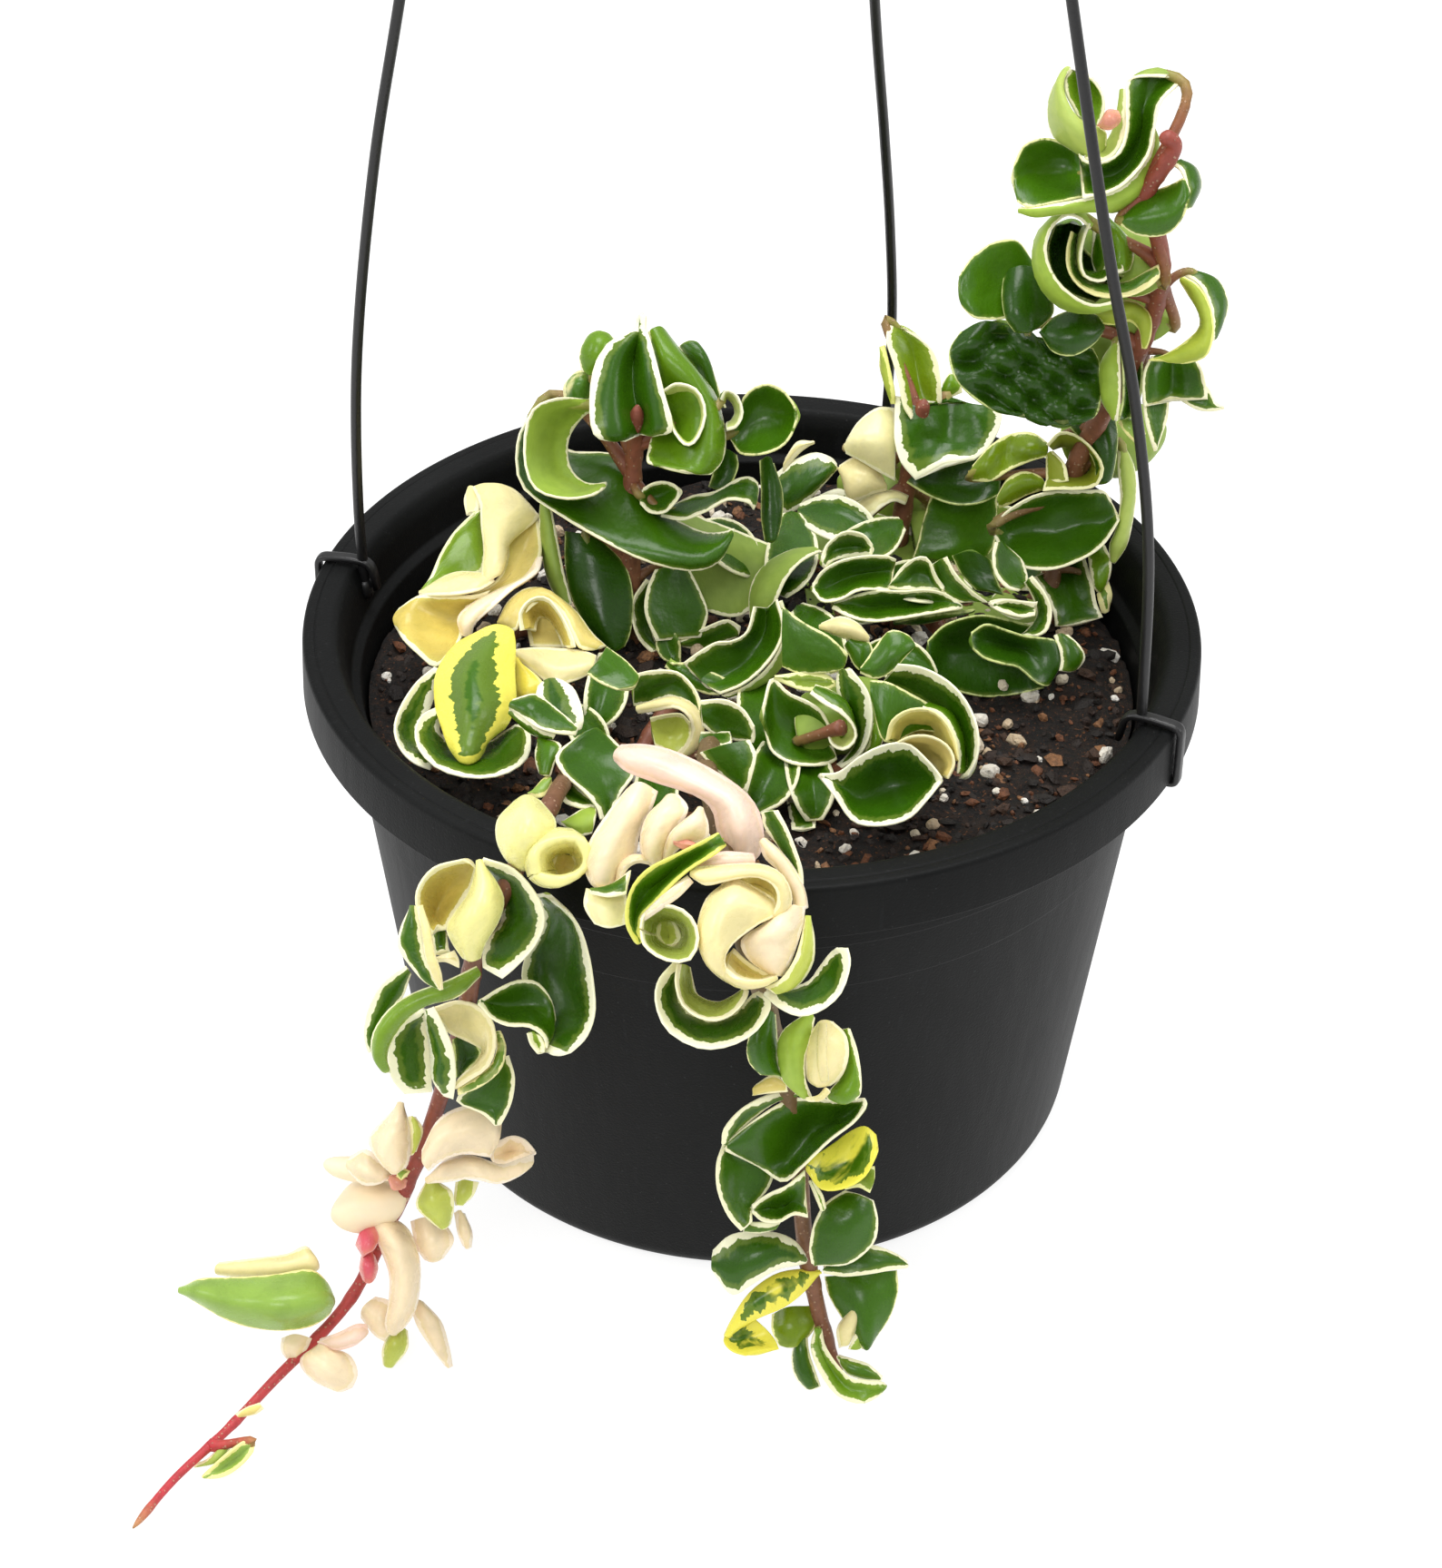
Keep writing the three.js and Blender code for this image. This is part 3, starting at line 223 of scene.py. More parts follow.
# Pot: an eight-inch nursery pot of matte charcoal plastic, injection moulded in one piece with a
# turned-over rim, six drain holes and faint mould lines round its wall.
POT_HEIGHT = 134.0
RIM_RADIUS = 105.0
POT_TURNS = 192
DRAIN_HOLES, DRAIN_RADIUS, DRAIN_CIRCLE = 6, 5.0, 60.0
POT_PROFILE = [
    (0.0, 0.0, 0.0), (78.6, 0.0, 1.0), (82.0, 3.4, 2.5),
    (93.0, 96.2, 0.0), (93.05, 96.6, 0.15), (93.35, 96.9, 0.15), (93.42, 97.4, 0.0),
    (94.5, 108.9, 0.0), (94.55, 109.3, 0.15), (94.8, 109.6, 0.15), (94.85, 110.1, 0.0),
    (95.5, 119.0, 1.0), (98.4, 131.6, 1.2), (102.6, 131.8, 1.2), (103.4, 121.2, 0.4),
    (105.6, 121.0, 0.5), (105.3, 128.0, 0.0), (105.0, 134.0, 1.3), (102.4, 134.0, 0.2),
    (102.1, 133.75, 0.2), (101.7, 134.0, 0.2), (97.2, 134.0, 1.6), (95.4, 130.0, 1.5),
    (94.4, 122.0, 0.6), (92.1, 120.6, 0.6), (80.2, 5.0, 2.0), (77.0, 2.0, 1.0), (0.0, 2.0, 0.0),
]


def rounded_line(corners, steps=4):
    """A line through corners (r, z, radius), each rounded by a curve that leaves and meets its two
    sides at that radius from the corner: a quadratic Bezier with the corner as its middle point."""
    points = np.array([corner[:2] for corner in corners])
    laid = []
    for index, (_, _, radius) in enumerate(corners):
        if radius == 0 or index in (0, len(corners) - 1):
            laid.append(points[index:index + 1])
            continue
        back = points[index - 1] - points[index]
        on = points[index + 1] - points[index]
        start = points[index] + back * min(0.45, radius / np.hypot(*back))
        end = points[index] + on * min(0.45, radius / np.hypot(*on))
        t = np.linspace(0, 1, steps + 1)[:, None]
        laid.append((1 - t) ** 2 * start + 2 * t * (1 - t) * points[index] + t ** 2 * end)
    return np.vstack(laid)


def grid_faces(rows, columns, wrap):
    """The four corners of each cell of a grid of points, its last column joined to its first where
    it wraps round."""
    row, column = np.meshgrid(np.arange(rows - 1), np.arange(columns if wrap else columns - 1),
                              indexing="ij")
    after = (column + 1) % columns
    return np.stack([row * columns + column, row * columns + after,
                     (row + 1) * columns + after, (row + 1) * columns + column], -1).reshape(-1, 4)


def lay_mesh(name, points, quads, triangles=(), smooth=True):
    """A piece from its points in millimetres and the corners of its faces."""
    quads = np.asarray(quads, int).reshape(-1, 4)
    triangles = np.asarray(triangles, int).reshape(-1, 3)
    corners = np.concatenate([quads.ravel(), triangles.ravel()])
    sizes = np.concatenate([np.full(len(quads), 4), np.full(len(triangles), 3)])
    mesh = bpy.data.meshes.new(name)
    mesh.vertices.add(len(points))
    mesh.vertices.foreach_set("co", (np.asarray(points) * MM).astype(np.float32).ravel())
    mesh.loops.add(len(corners))
    mesh.loops.foreach_set("vertex_index", corners.astype(np.int32))
    mesh.polygons.add(len(sizes))
    starts = np.concatenate([[0], np.cumsum(sizes)[:-1]])
    mesh.polygons.foreach_set("loop_start", starts.astype(np.int32))
    mesh.polygons.foreach_set("use_smooth", np.full(len(sizes), smooth))
    mesh.update(calc_edges=True)
    mesh.validate()
    piece = bpy.data.objects.new(name, mesh)
    bpy.context.scene.collection.objects.link(piece)
    return piece


def lathe(profile, turns):
    """Points and faces of a profile (r, z), which starts and ends on the axis, turned about Z."""
    ring = profile[1:-1]
    angle = np.linspace(0, 2 * np.pi, turns, endpoint=False)
    r, z = ring[:, :1], ring[:, 1:]
    points = np.stack([r * np.cos(angle), r * np.sin(angle), z + 0 * angle], -1).reshape(-1, 3)
    poles = np.array([[0, 0, profile[0, 1]], [0, 0, profile[-1, 1]]])
    quads = grid_faces(len(ring), turns, wrap=True)
    here = np.arange(turns)
    after = (here + 1) % turns
    first, last, top = len(points), len(points) + 1, (len(ring) - 1) * turns
    caps = np.vstack([np.stack([np.full(turns, first), after, here], -1),
                      np.stack([np.full(turns, last), top + here, top + after], -1)])
    return np.vstack([points, poles]), quads, caps


def pot_finish():
    """Charcoal plastic: near black, with a fine moulded grain, pale dust and long faint scuffs."""
    pot = Finish("pot_charcoal_plastic")
    here = pot.place()
    cloud = pot.grain(here, 38.0, detail=4.0)
    scuff = pot.grain(pot.stretch(here, (1.0, 1.0, 0.12)), 2.6, detail=3.0)
    dust = pot.grain(here, 0.7, detail=2.0)
    body = pot.mix(cloud.step(0.35, 0.7), shade(11, 12, 12), shade(17, 18, 18))
    worn = pot.mix(scuff.step(0.58, 0.8) * 0.06, body, shade(72, 74, 78))
    specked = pot.mix(dust.step(0.68, 0.76) * 0.1, worn, shade(120, 122, 124))
    fine = pot.grain(here, 0.55, detail=2.0)
    normal = pot.relief(fine + cloud * 0.6, 0.00009)
    return pot.done({"Base Color": specked, "Roughness": 0.42 + scuff * 0.12 + cloud * 0.06,
                     "Specular IOR Level": 0.12, "Normal": normal})


profile = rounded_line(POT_PROFILE)
pot_shell = lay_mesh("pot_shell", *lathe(profile, POT_TURNS))
holes = np.arange(DRAIN_HOLES) * 2 * np.pi / DRAIN_HOLES
pin = np.array([(0.0, -1.0), (DRAIN_RADIUS, -1.0), (DRAIN_RADIUS, 3.0), (0.0, 3.0)])
for index, angle in enumerate(holes):
    points, quads, caps = lathe(pin, 24)
    points = points + np.array([DRAIN_CIRCLE * np.cos(angle), DRAIN_CIRCLE * np.sin(angle), 0.0])
    punch = lay_mesh(f"punch_{index}", points, quads, caps)
    cut = pot_shell.modifiers.new("drain", "BOOLEAN")
    cut.operation, cut.solver, cut.object = "DIFFERENCE", "EXACT", punch
    bpy.context.view_layer.objects.active = pot_shell
    bpy.ops.object.modifier_apply(modifier="drain")
    bpy.data.objects.remove(punch)
pot_shell.data.materials.clear()
pot_shell.data.materials.append(pot_finish())
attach(pot_shell, "root")
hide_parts("pot")


# Potting mix: a rough dark bed of peat and bark fines, with loose bark chips and white puffed
# perlite pressed into its top. The stems stand in it.
SOIL_LEVEL = 116.5
SOIL_RADIUS = 90.6
SOIL_FOOT_RADIUS, SOIL_FOOT = 76.2, 2.3
BED_RINGS, BED_TURNS = 90, 300
CHIPS, CRUMBS, PERLITES = 1300, 1300, 320


def hashed(number, draw):
    """A number from 0 to 1 that depends only on a piece's number and the draw's."""
    spread = np.sin(np.asarray(number) * 127.1 + draw * 311.7) * 43758.5453
    return spread - np.floor(spread)


def lumps(x, y, size, draw):
    """Smooth random lumps from 0 to 1: a random height at each knot of a square net, and between
    knots a mix of the four nearest by smooth shares."""
    x, y = x / size, y / size
    i, j = np.floor(x), np.floor(y)
    s, t = x - i, y - j
    s, t = s * s * (3 - 2 * s), t * t * (3 - 2 * t)
    knot = lambda a, b: hashed(a * 57.0 + b * 113.0, draw)
    low = knot(i, j) * (1 - s) + knot(i + 1, j) * s
    high = knot(i, j + 1) * (1 - s) + knot(i + 1, j + 1) * s
    return low * (1 - t) + high * t


def bed_height(x, y):
    """The bed's height at a place: level, with a broad swell, clods and crumbs, and lower at the
    pot's wall."""
    r = np.hypot(x, y)
    swell = 2.4 * (lumps(x, y, 34.0, 1) - 0.5) + 2.2 * (lumps(x, y, 11.0, 2) - 0.5)
    clods = 2.2 * (lumps(x, y, 4.2, 3) - 0.5) + 1.1 * (lumps(x, y, 1.9, 4) - 0.5)
    return SOIL_LEVEL + swell + clods - 1.5 * np.clip((r - 84.0) / 6.0, 0, 1)


def colour_points(piece, name, colours):
    """Gives each point of a piece a colour under a name."""
    layer = piece.data.attributes.new(name, "FLOAT_COLOR", "POINT")
    layer.data.foreach_set("color", np.asarray(colours, np.float32).ravel())


def bed_finish():
    """Damp peat and bark fines: near black, with brown and rusty crumbs."""
    bed = Finish("potting_mix_bed")
    here = bed.place()
    crumb = bed.grain(here, 2.2, detail=6.0, roughness=0.7)
    fleck = bed.grain(here, 0.9, detail=3.0)
    dark = bed.mix(crumb.step(0.42, 0.62), shade(13, 9, 7), shade(40, 26, 17))
    rusty = bed.mix(fleck.step(0.6, 0.7) * 0.7, dark, shade(120, 74, 42))
    specked = bed.mix(fleck.step(0.74, 0.78), rusty, shade(196, 178, 150))
    normal = bed.relief(crumb + fleck * 0.5, 0.0016)
    return bed.done({"Base Color": specked, "Roughness": 0.55 + crumb * 0.35,
                     "Specular IOR Level": 0.4, "Normal": normal})


radius = np.linspace(0, 1, BED_RINGS + 1)[1:, None] ** 0.8 * SOIL_RADIUS
angle = np.linspace(0, 2 * np.pi, BED_TURNS, endpoint=False)[None, :]
x, y = radius * np.cos(angle), radius * np.sin(angle)
top = np.stack([x, y, bed_height(x, y)], -1)
foot = np.stack([SOIL_FOOT_RADIUS / SOIL_RADIUS * x[-1], SOIL_FOOT_RADIUS / SOIL_RADIUS * y[-1],
                 np.full(BED_TURNS, SOIL_FOOT)], -1)[None]
rings = np.concatenate([top, foot]).reshape(-1, 3)
poles = np.array([[0, 0, SOIL_LEVEL], [0, 0, SOIL_FOOT]])
here = np.arange(BED_TURNS)
after = (here + 1) % BED_TURNS
centre = len(rings)
caps = np.vstack([
    np.stack([np.full(BED_TURNS, centre), here, after], -1),
    np.stack([np.full(BED_TURNS, centre + 1), BED_RINGS * BED_TURNS + after,
              BED_RINGS * BED_TURNS + here], -1)])
quads = grid_faces(BED_RINGS + 1, BED_TURNS, wrap=True)[:, ::-1]
soil_bed = lay_mesh("soil_bed", np.vstack([rings, poles]), quads, caps)
soil_bed.data.materials.append(bed_finish())
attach(soil_bed, "root")
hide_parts("soil")

GOLD = (1 + 5 ** 0.5) / 2
GEM_POINTS = np.array([(-1, GOLD, 0), (1, GOLD, 0), (-1, -GOLD, 0), (1, -GOLD, 0),
                       (0, -1, GOLD), (0, 1, GOLD), (0, -1, -GOLD), (0, 1, -GOLD),
                       (GOLD, 0, -1), (GOLD, 0, 1), (-GOLD, 0, -1), (-GOLD, 0, 1)])
GEM_POINTS = GEM_POINTS / np.linalg.norm(GEM_POINTS[0])
GEM_FACES = np.array([(0, 11, 5), (0, 5, 1), (0, 1, 7), (0, 7, 10), (0, 10, 11), (1, 5, 9),
                      (5, 11, 4), (11, 10, 2), (10, 7, 6), (7, 1, 8), (3, 9, 4), (3, 4, 2),
                      (3, 2, 6), (3, 6, 8), (3, 8, 9), (4, 9, 5), (2, 4, 11), (6, 2, 10),
                      (8, 6, 7), (9, 8, 1)])


def split_gem(points, faces):
    """The twenty-sided gem with each face split in four and its points pushed out to the ball."""
    pairs = np.sort(np.concatenate([faces[:, [0, 1]], faces[:, [1, 2]], faces[:, [2, 0]]]), axis=1)
    edges, place = np.unique(pairs, axis=0, return_inverse=True)
    middles = points[edges].mean(1)
    middles = middles / np.linalg.norm(middles, axis=1, keepdims=True)
    ab, bc, ca = (place.reshape(3, -1) + len(points))
    a, b, c = faces.T
    split = np.concatenate([np.stack([a, ab, ca], -1), np.stack([b, bc, ab], -1),
                            np.stack([c, ca, bc], -1), np.stack([ab, bc, ca], -1)])
    return np.vstack([points, middles]), split


def scatter(name, count, gem, faces, size, flatness, sink, uneven, draw, colours):
    """Loose grains on the bed: each is the gem with its points moved in or out at random, scaled to
    its own length, width and height, turned at random about Z and tipped, and sunk a little into the
    bed. colours gives each grain its colour from its number."""
    number = np.arange(count)
    r = (SOIL_RADIUS - 3.0) * np.sqrt(hashed(number, draw))
    turn = 2 * np.pi * hashed(number, draw + 1)
    x, y = r * np.cos(turn), r * np.sin(turn)
    long = size[0] + (size[1] - size[0]) * hashed(number, draw + 2) ** 2
    wide = long * (0.5 + 0.45 * hashed(number, draw + 3))
    high = long * (flatness[0] + (flatness[1] - flatness[0]) * hashed(number, draw + 4))
    corner = np.arange(len(gem))
    bumps = 1 + uneven * (2 * hashed(number[:, None] * 31.0 + corner * 7.0, draw + 5) - 1)
    grain = gem[None] * bumps[..., None] * np.stack([long, wide, high], -1)[:, None] / 2
    tip = (hashed(number, draw + 6) - 0.5)[:, None] * 0.9
    roll = (hashed(number, draw + 7) - 0.5)[:, None] * 0.9
    gx, gy, gz = grain[..., 0], grain[..., 1], grain[..., 2]
    gx, gz = gx * np.cos(tip) + gz * np.sin(tip), -gx * np.sin(tip) + gz * np.cos(tip)
    gy, gz = gy * np.cos(roll) - gz * np.sin(roll), gy * np.sin(roll) + gz * np.cos(roll)
    yaw = (2 * np.pi * hashed(number, draw + 8))[:, None]
    gx, gy = gx * np.cos(yaw) - gy * np.sin(yaw), gx * np.sin(yaw) + gy * np.cos(yaw)
    z = bed_height(x, y) + high * sink
    points = np.stack([gx + x[:, None], gy + y[:, None], gz + z[:, None]], -1)
    all_faces = faces[None] + number[:, None, None] * len(gem)
    piece = lay_mesh(name, points.reshape(-1, 3), (), all_faces.reshape(-1, 3), smooth=False)
    colour_points(piece, "grain_colour", np.repeat(colours(number), len(gem), axis=0))
    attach(piece, "root")
    return piece


def grain_finish(name, rough, speck):
    """Bark or perlite: each grain's own colour, mottled, with a pitted face."""
    finish = Finish(name)
    here = finish.place()
    own = finish.painted("grain_colour")
    pits = finish.grain(here, 0.8, detail=4.0)
    mottled = finish.mix(pits.step(0.35, 0.7) * 0.55, own, speck)
    normal = finish.relief(pits, 0.0006)
    return finish.done({"Base Color": mottled, "Roughness": rough + pits * 0.2, "Normal": normal})


def bark_colours(number):
    """Mostly dark brown, some rusty orange, a few light brown."""
    palette = np.array([shade(20, 13, 9), shade(32, 20, 13), shade(46, 29, 19), shade(66, 42, 26),
                        shade(112, 66, 36), shade(140, 96, 60)])
    return palette[(hashed(number, 77) ** 1.4 * 6).astype(int)]


def perlite_colours(number):
    """White to cream, with a few stained by the mix."""
    palette = np.array([shade(236, 230, 218), shade(248, 245, 238), shade(222, 208, 184),
                        shade(240, 234, 222), shade(196, 172, 140)])
    return palette[(hashed(number, 78) * 5).astype(int)]


bark_chips = scatter("bark_chips", CHIPS, GEM_POINTS, GEM_FACES, (1.8, 6.0), (0.25, 0.55), 0.15,
                     0.3, 100, bark_colours)
bark_chips.data.materials.append(grain_finish("bark_chip", 0.6, shade(30, 20, 15)))
peat_crumbs = scatter("peat_crumbs", CRUMBS, GEM_POINTS, GEM_FACES, (1.2, 3.4), (0.5, 0.9), 0.25,
                      0.3, 130, bark_colours)
peat_crumbs.data.materials.append(grain_finish("peat_crumb", 0.6, shade(22, 15, 12)))
ball_points, ball_faces = split_gem(GEM_POINTS, GEM_FACES)
perlite = scatter("perlite", PERLITES, ball_points, ball_faces, (1.8, 6.0), (0.6, 0.9), 0.2, 0.16,
                  160, perlite_colours)
perlite.data.materials.append(grain_finish("puffed_perlite", 0.75, shade(206, 192, 168)))


# Hanger: three black moulded plastic strands that clip over the rim and meet in a hub, which
# carries an open hook. It is one stiff moulding, pushed onto the rim by hand.
STRAND_RADIUS = 1.25
CLIP_WIDTH, CLIP_THICKNESS = 3.0, 1.6
HUB_X, HUB_Y, HUB_FOOT, HUB_HEIGHT = 0.0, 8.0, 540.3, 12.0
HOOK_ROD, HOOK_CENTRE, HOOK_RADIUS = 2.4, 594.4, 16.4
STRANDS = {
    "strand_left": (168.0, [(-93, 20, 127), (-93.3, 19.4, 150), (-91.3, 18.3, 190), (-84.5, 17, 240),
                            (-76.8, 15.7, 279), (-56, 13, 385), (-30, 11, 475), (-5, 8.6, 539.6)]),
    "strand_right": (-25.6, [(87.6, -42, 129), (85.5, -38.6, 178), (80.1, -34.5, 212),
                             (73.4, -30.9, 240), (61.5, -23.3, 297), (43, -12, 395), (22, -1, 480),
                             (4.4, 5.6, 539.6)]),
    "strand_back": (69.0, [(34.4, 89.6, 129), (34.9, 89, 164), (33.2, 85.3, 192), (30.6, 79.6, 219),
                           (26.6, 71.2, 257), (18, 49, 370), (9, 28, 470), (1.5, 12.8, 539.6)]),
}


def smooth_route(points, steps, centripetal=False):
    """A line through route points: a Catmull-Rom curve with mirrored ends, cut into short steps. A
    centripetal one spaces its knots by the root of the distance between points."""
    points = np.array(points, float)
    ends = np.vstack([2 * points[0] - points[1], points, 2 * points[-1] - points[-2]])
    gaps = np.linalg.norm(np.diff(ends, axis=0), axis=1)
    knots = np.concatenate([[0], np.cumsum(np.sqrt(gaps) if centripetal else np.ones(len(gaps)))])
    share = np.linspace(0, 1, steps, endpoint=False)[:, None]
    spans = []
    for i in range(len(points) - 1):
        a, b, c, d = ends[i:i + 4]
        k0, k1, k2, k3 = knots[i:i + 4]
        leave = (b - a) / (k1 - k0) - (c - a) / (k2 - k0) + (c - b) / (k2 - k1)
        reach = (c - b) / (k2 - k1) - (d - b) / (k3 - k1) + (d - c) / (k3 - k2)
        leave, reach = leave * (k2 - k1), reach * (k2 - k1)
        spans.append(b * (1 + 2 * share) * (1 - share) ** 2 + leave * share * (1 - share) ** 2
                     + c * share ** 2 * (3 - 2 * share) + reach * share ** 2 * (share - 1))
    return np.vstack(spans + [points[-1:]])


def carried(path, outline, up=(0.0, 0.0, 1.0)):
    """A closed outline carried along a path. outline is an array (steps, corners, 2) of offsets to
    the side and upwards; at each step the sideways axis is square to the path and to up. Returns
    points and faces, with both ends closed by a fan about the middle."""
    ahead = np.gradient(path, axis=0)
    ahead /= np.linalg.norm(ahead, axis=1, keepdims=True)
    side = np.cross(ahead, np.broadcast_to(np.asarray(up, float), ahead.shape))
    side /= np.linalg.norm(side, axis=1, keepdims=True)
    over = np.cross(side, ahead)
    ring = (path[:, None] + side[:, None] * outline[..., :1] + over[:, None] * outline[..., 1:])
    steps, corners = outline.shape[:2]
    quads = grid_faces(steps, corners, wrap=True)[:, ::-1]
    here = np.arange(corners)
    after = (here + 1) % corners
    end = (steps - 1) * corners
    caps = np.vstack([np.stack([np.full(corners, steps * corners), here, after], -1),
                      np.stack([np.full(corners, steps * corners + 1), end + after, end + here], -1)])
    return np.vstack([ring.reshape(-1, 3), path[:1], path[-1:]]), quads, caps


def round_outline(radii, corners=14):
    """A circle at each step, of that step's radius."""
    angle = np.linspace(0, 2 * np.pi, corners, endpoint=False)
    return np.asarray(radii)[:, None, None] * np.stack([np.cos(angle), np.sin(angle)], -1)


def flat_outline(width, thickness, steps, corners=20):
    """A rounded strip's section at each step: a circle squared off by the fourth power."""
    angle = np.linspace(0, 2 * np.pi, corners, endpoint=False)
    c, s = np.cos(angle), np.sin(angle)
    squared = 1 / (c ** 4 + s ** 4) ** 0.25
    ring = np.stack([width / 2 * c * squared, thickness / 2 * s * squared], -1)
    return np.broadcast_to(ring, (steps, corners, 2))


def join_shapes(*shapes):
    """Several (points, quads, triangles) as one."""
    points, quads, triangles, count = [], [], [], 0
    for p, q, t in shapes:
        points.append(p)
        quads.append(np.asarray(q, int).reshape(-1, 4) + count)
        triangles.append(np.asarray(t, int).reshape(-1, 3) + count)
        count += len(p)
    return np.vstack(points), np.vstack(quads), np.vstack(triangles)


def hanger_finish():
    """Black plastic with a satin skin and a faint drawn grain."""
    hanger = Finish("hanger_black_plastic")
    here = hanger.place()
    grain = hanger.grain(here, 0.9, detail=2.0)
    cloud = hanger.grain(here, 9.0)
    tint = hanger.mix(cloud, shade(16, 16, 17), shade(30, 30, 31))
    return hanger.done({"Base Color": tint, "Roughness": 0.3 + cloud * 0.15,
                        "Normal": hanger.relief(grain, 0.00008)})


def clip_strap(angle_degrees):
    """The clip: a thin strip from the strand's foot over the rim, down the skirt and hooked under
    it, carried along its path in the upright plane at that angle."""
    angle = np.radians(angle_degrees)
    t = CLIP_THICKNESS
    side_view = rounded_line([
        (92.0, POT_HEIGHT - 6.0, 0), (93.2, POT_HEIGHT + 1.0, 3.0), (99.0, POT_HEIGHT + 1.5, 2.0),
        (RIM_RADIUS + 1.4, POT_HEIGHT + 1.0, 2.2), (RIM_RADIUS + 1.6, 120.0, 1.4),
        (RIM_RADIUS - 1.6, 119.7, 0)], steps=8)
    r, z = side_view.T
    path = np.stack([r * np.cos(angle), r * np.sin(angle), z], -1)
    outward = (-np.sin(angle), np.cos(angle), 0.0)
    return carried(path, flat_outline(t, CLIP_WIDTH, len(path)), up=outward)


black_plastic = hanger_finish()
for name, (clip_angle, route) in STRANDS.items():
    path = smooth_route(route, 14, centripetal=True)
    radii = np.full(len(path), STRAND_RADIUS)
    strand = carried(path, round_outline(radii), up=(0.0, 1.0, 0.0))
    foot = np.array(route[0], float)
    knot_line = foot + np.array([[0, 0, -2.6], [0, 0, -1.8], [0, 0, 0], [0, 0, 1.8], [0, 0, 3.2]])
    knot = carried(knot_line, round_outline([0.8, 1.8, 2.2, 1.9, 1.0]), up=(0.0, 1.0, 0.0))
    piece = lay_mesh(name + "_moulding", *join_shapes(strand, knot, clip_strap(clip_angle)))
    piece.data.materials.append(black_plastic)
    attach(piece, "root")
    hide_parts(name)

hub = rounded_line([(0, HUB_FOOT, 0), (7.0, HUB_FOOT, 1.0), (7.0, HUB_FOOT + 3, 0.8),
                    (5.6, HUB_FOOT + 4.2, 0.8), (5.0, HUB_FOOT + HUB_HEIGHT, 1.2),
                    (0, HUB_FOOT + HUB_HEIGHT, 0)])
hub_points, hub_quads, hub_caps = lathe(hub, 40)
hub_points = hub_points + np.array([HUB_X, HUB_Y, 0.0])
bow = np.radians(np.linspace(-70, 180, 40))
neck = [(HUB_X, HUB_Y, HUB_FOOT + 3.0), (HUB_X, HUB_Y, HOOK_CENTRE - HOOK_RADIUS - 4.0)]
arc = np.stack([HUB_X + HOOK_RADIUS * np.cos(bow), np.full(len(bow), HUB_Y),
                HOOK_CENTRE + HOOK_RADIUS * np.sin(bow)], -1)
hook_path = smooth_route(np.vstack([neck, arc]), 3, centripetal=True)
hook_radii = np.full(len(hook_path), HOOK_ROD)
hook_radii[-4:] *= [0.98, 0.9, 0.7, 0.35]
hook_rod = carried(hook_path, round_outline(hook_radii, 20), up=(0.0, 1.0, 0.0))
hook_piece = lay_mesh("hub_and_hook", *join_shapes((hub_points, hub_quads, hub_caps), hook_rod))
hook_piece.data.materials.append(black_plastic)
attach(hook_piece, "root")
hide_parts("hook")


# Plant: nine stems of thick waxy leaves, each leaf folded, cupped or rolled about its midrib. All
# stand in holes in the potting mix. Seven stay above it, and two hang over the rim.
VIEW_TILT = np.radians(36.0)
VIEW_AXES = np.array([[1, 0, 0], [0, np.sin(VIEW_TILT), np.cos(VIEW_TILT)],
                      [0, -np.cos(VIEW_TILT), np.sin(VIEW_TILT)]])
PETIOLE = 0.6
RESTS_FROM, RESTS_ON = 3.0, 0.2
PHOTO_SIZE = (1588, 1727)
LENS_PIXELS = LENS / SENSOR * max(PHOTO_SIZE)
TRACED_THICKNESS = 1.35
LOW_CREST, LOW_FOOT, LOW_RAISED, LOW_BOW = 9.0, 7.0, 5.0, 0.35

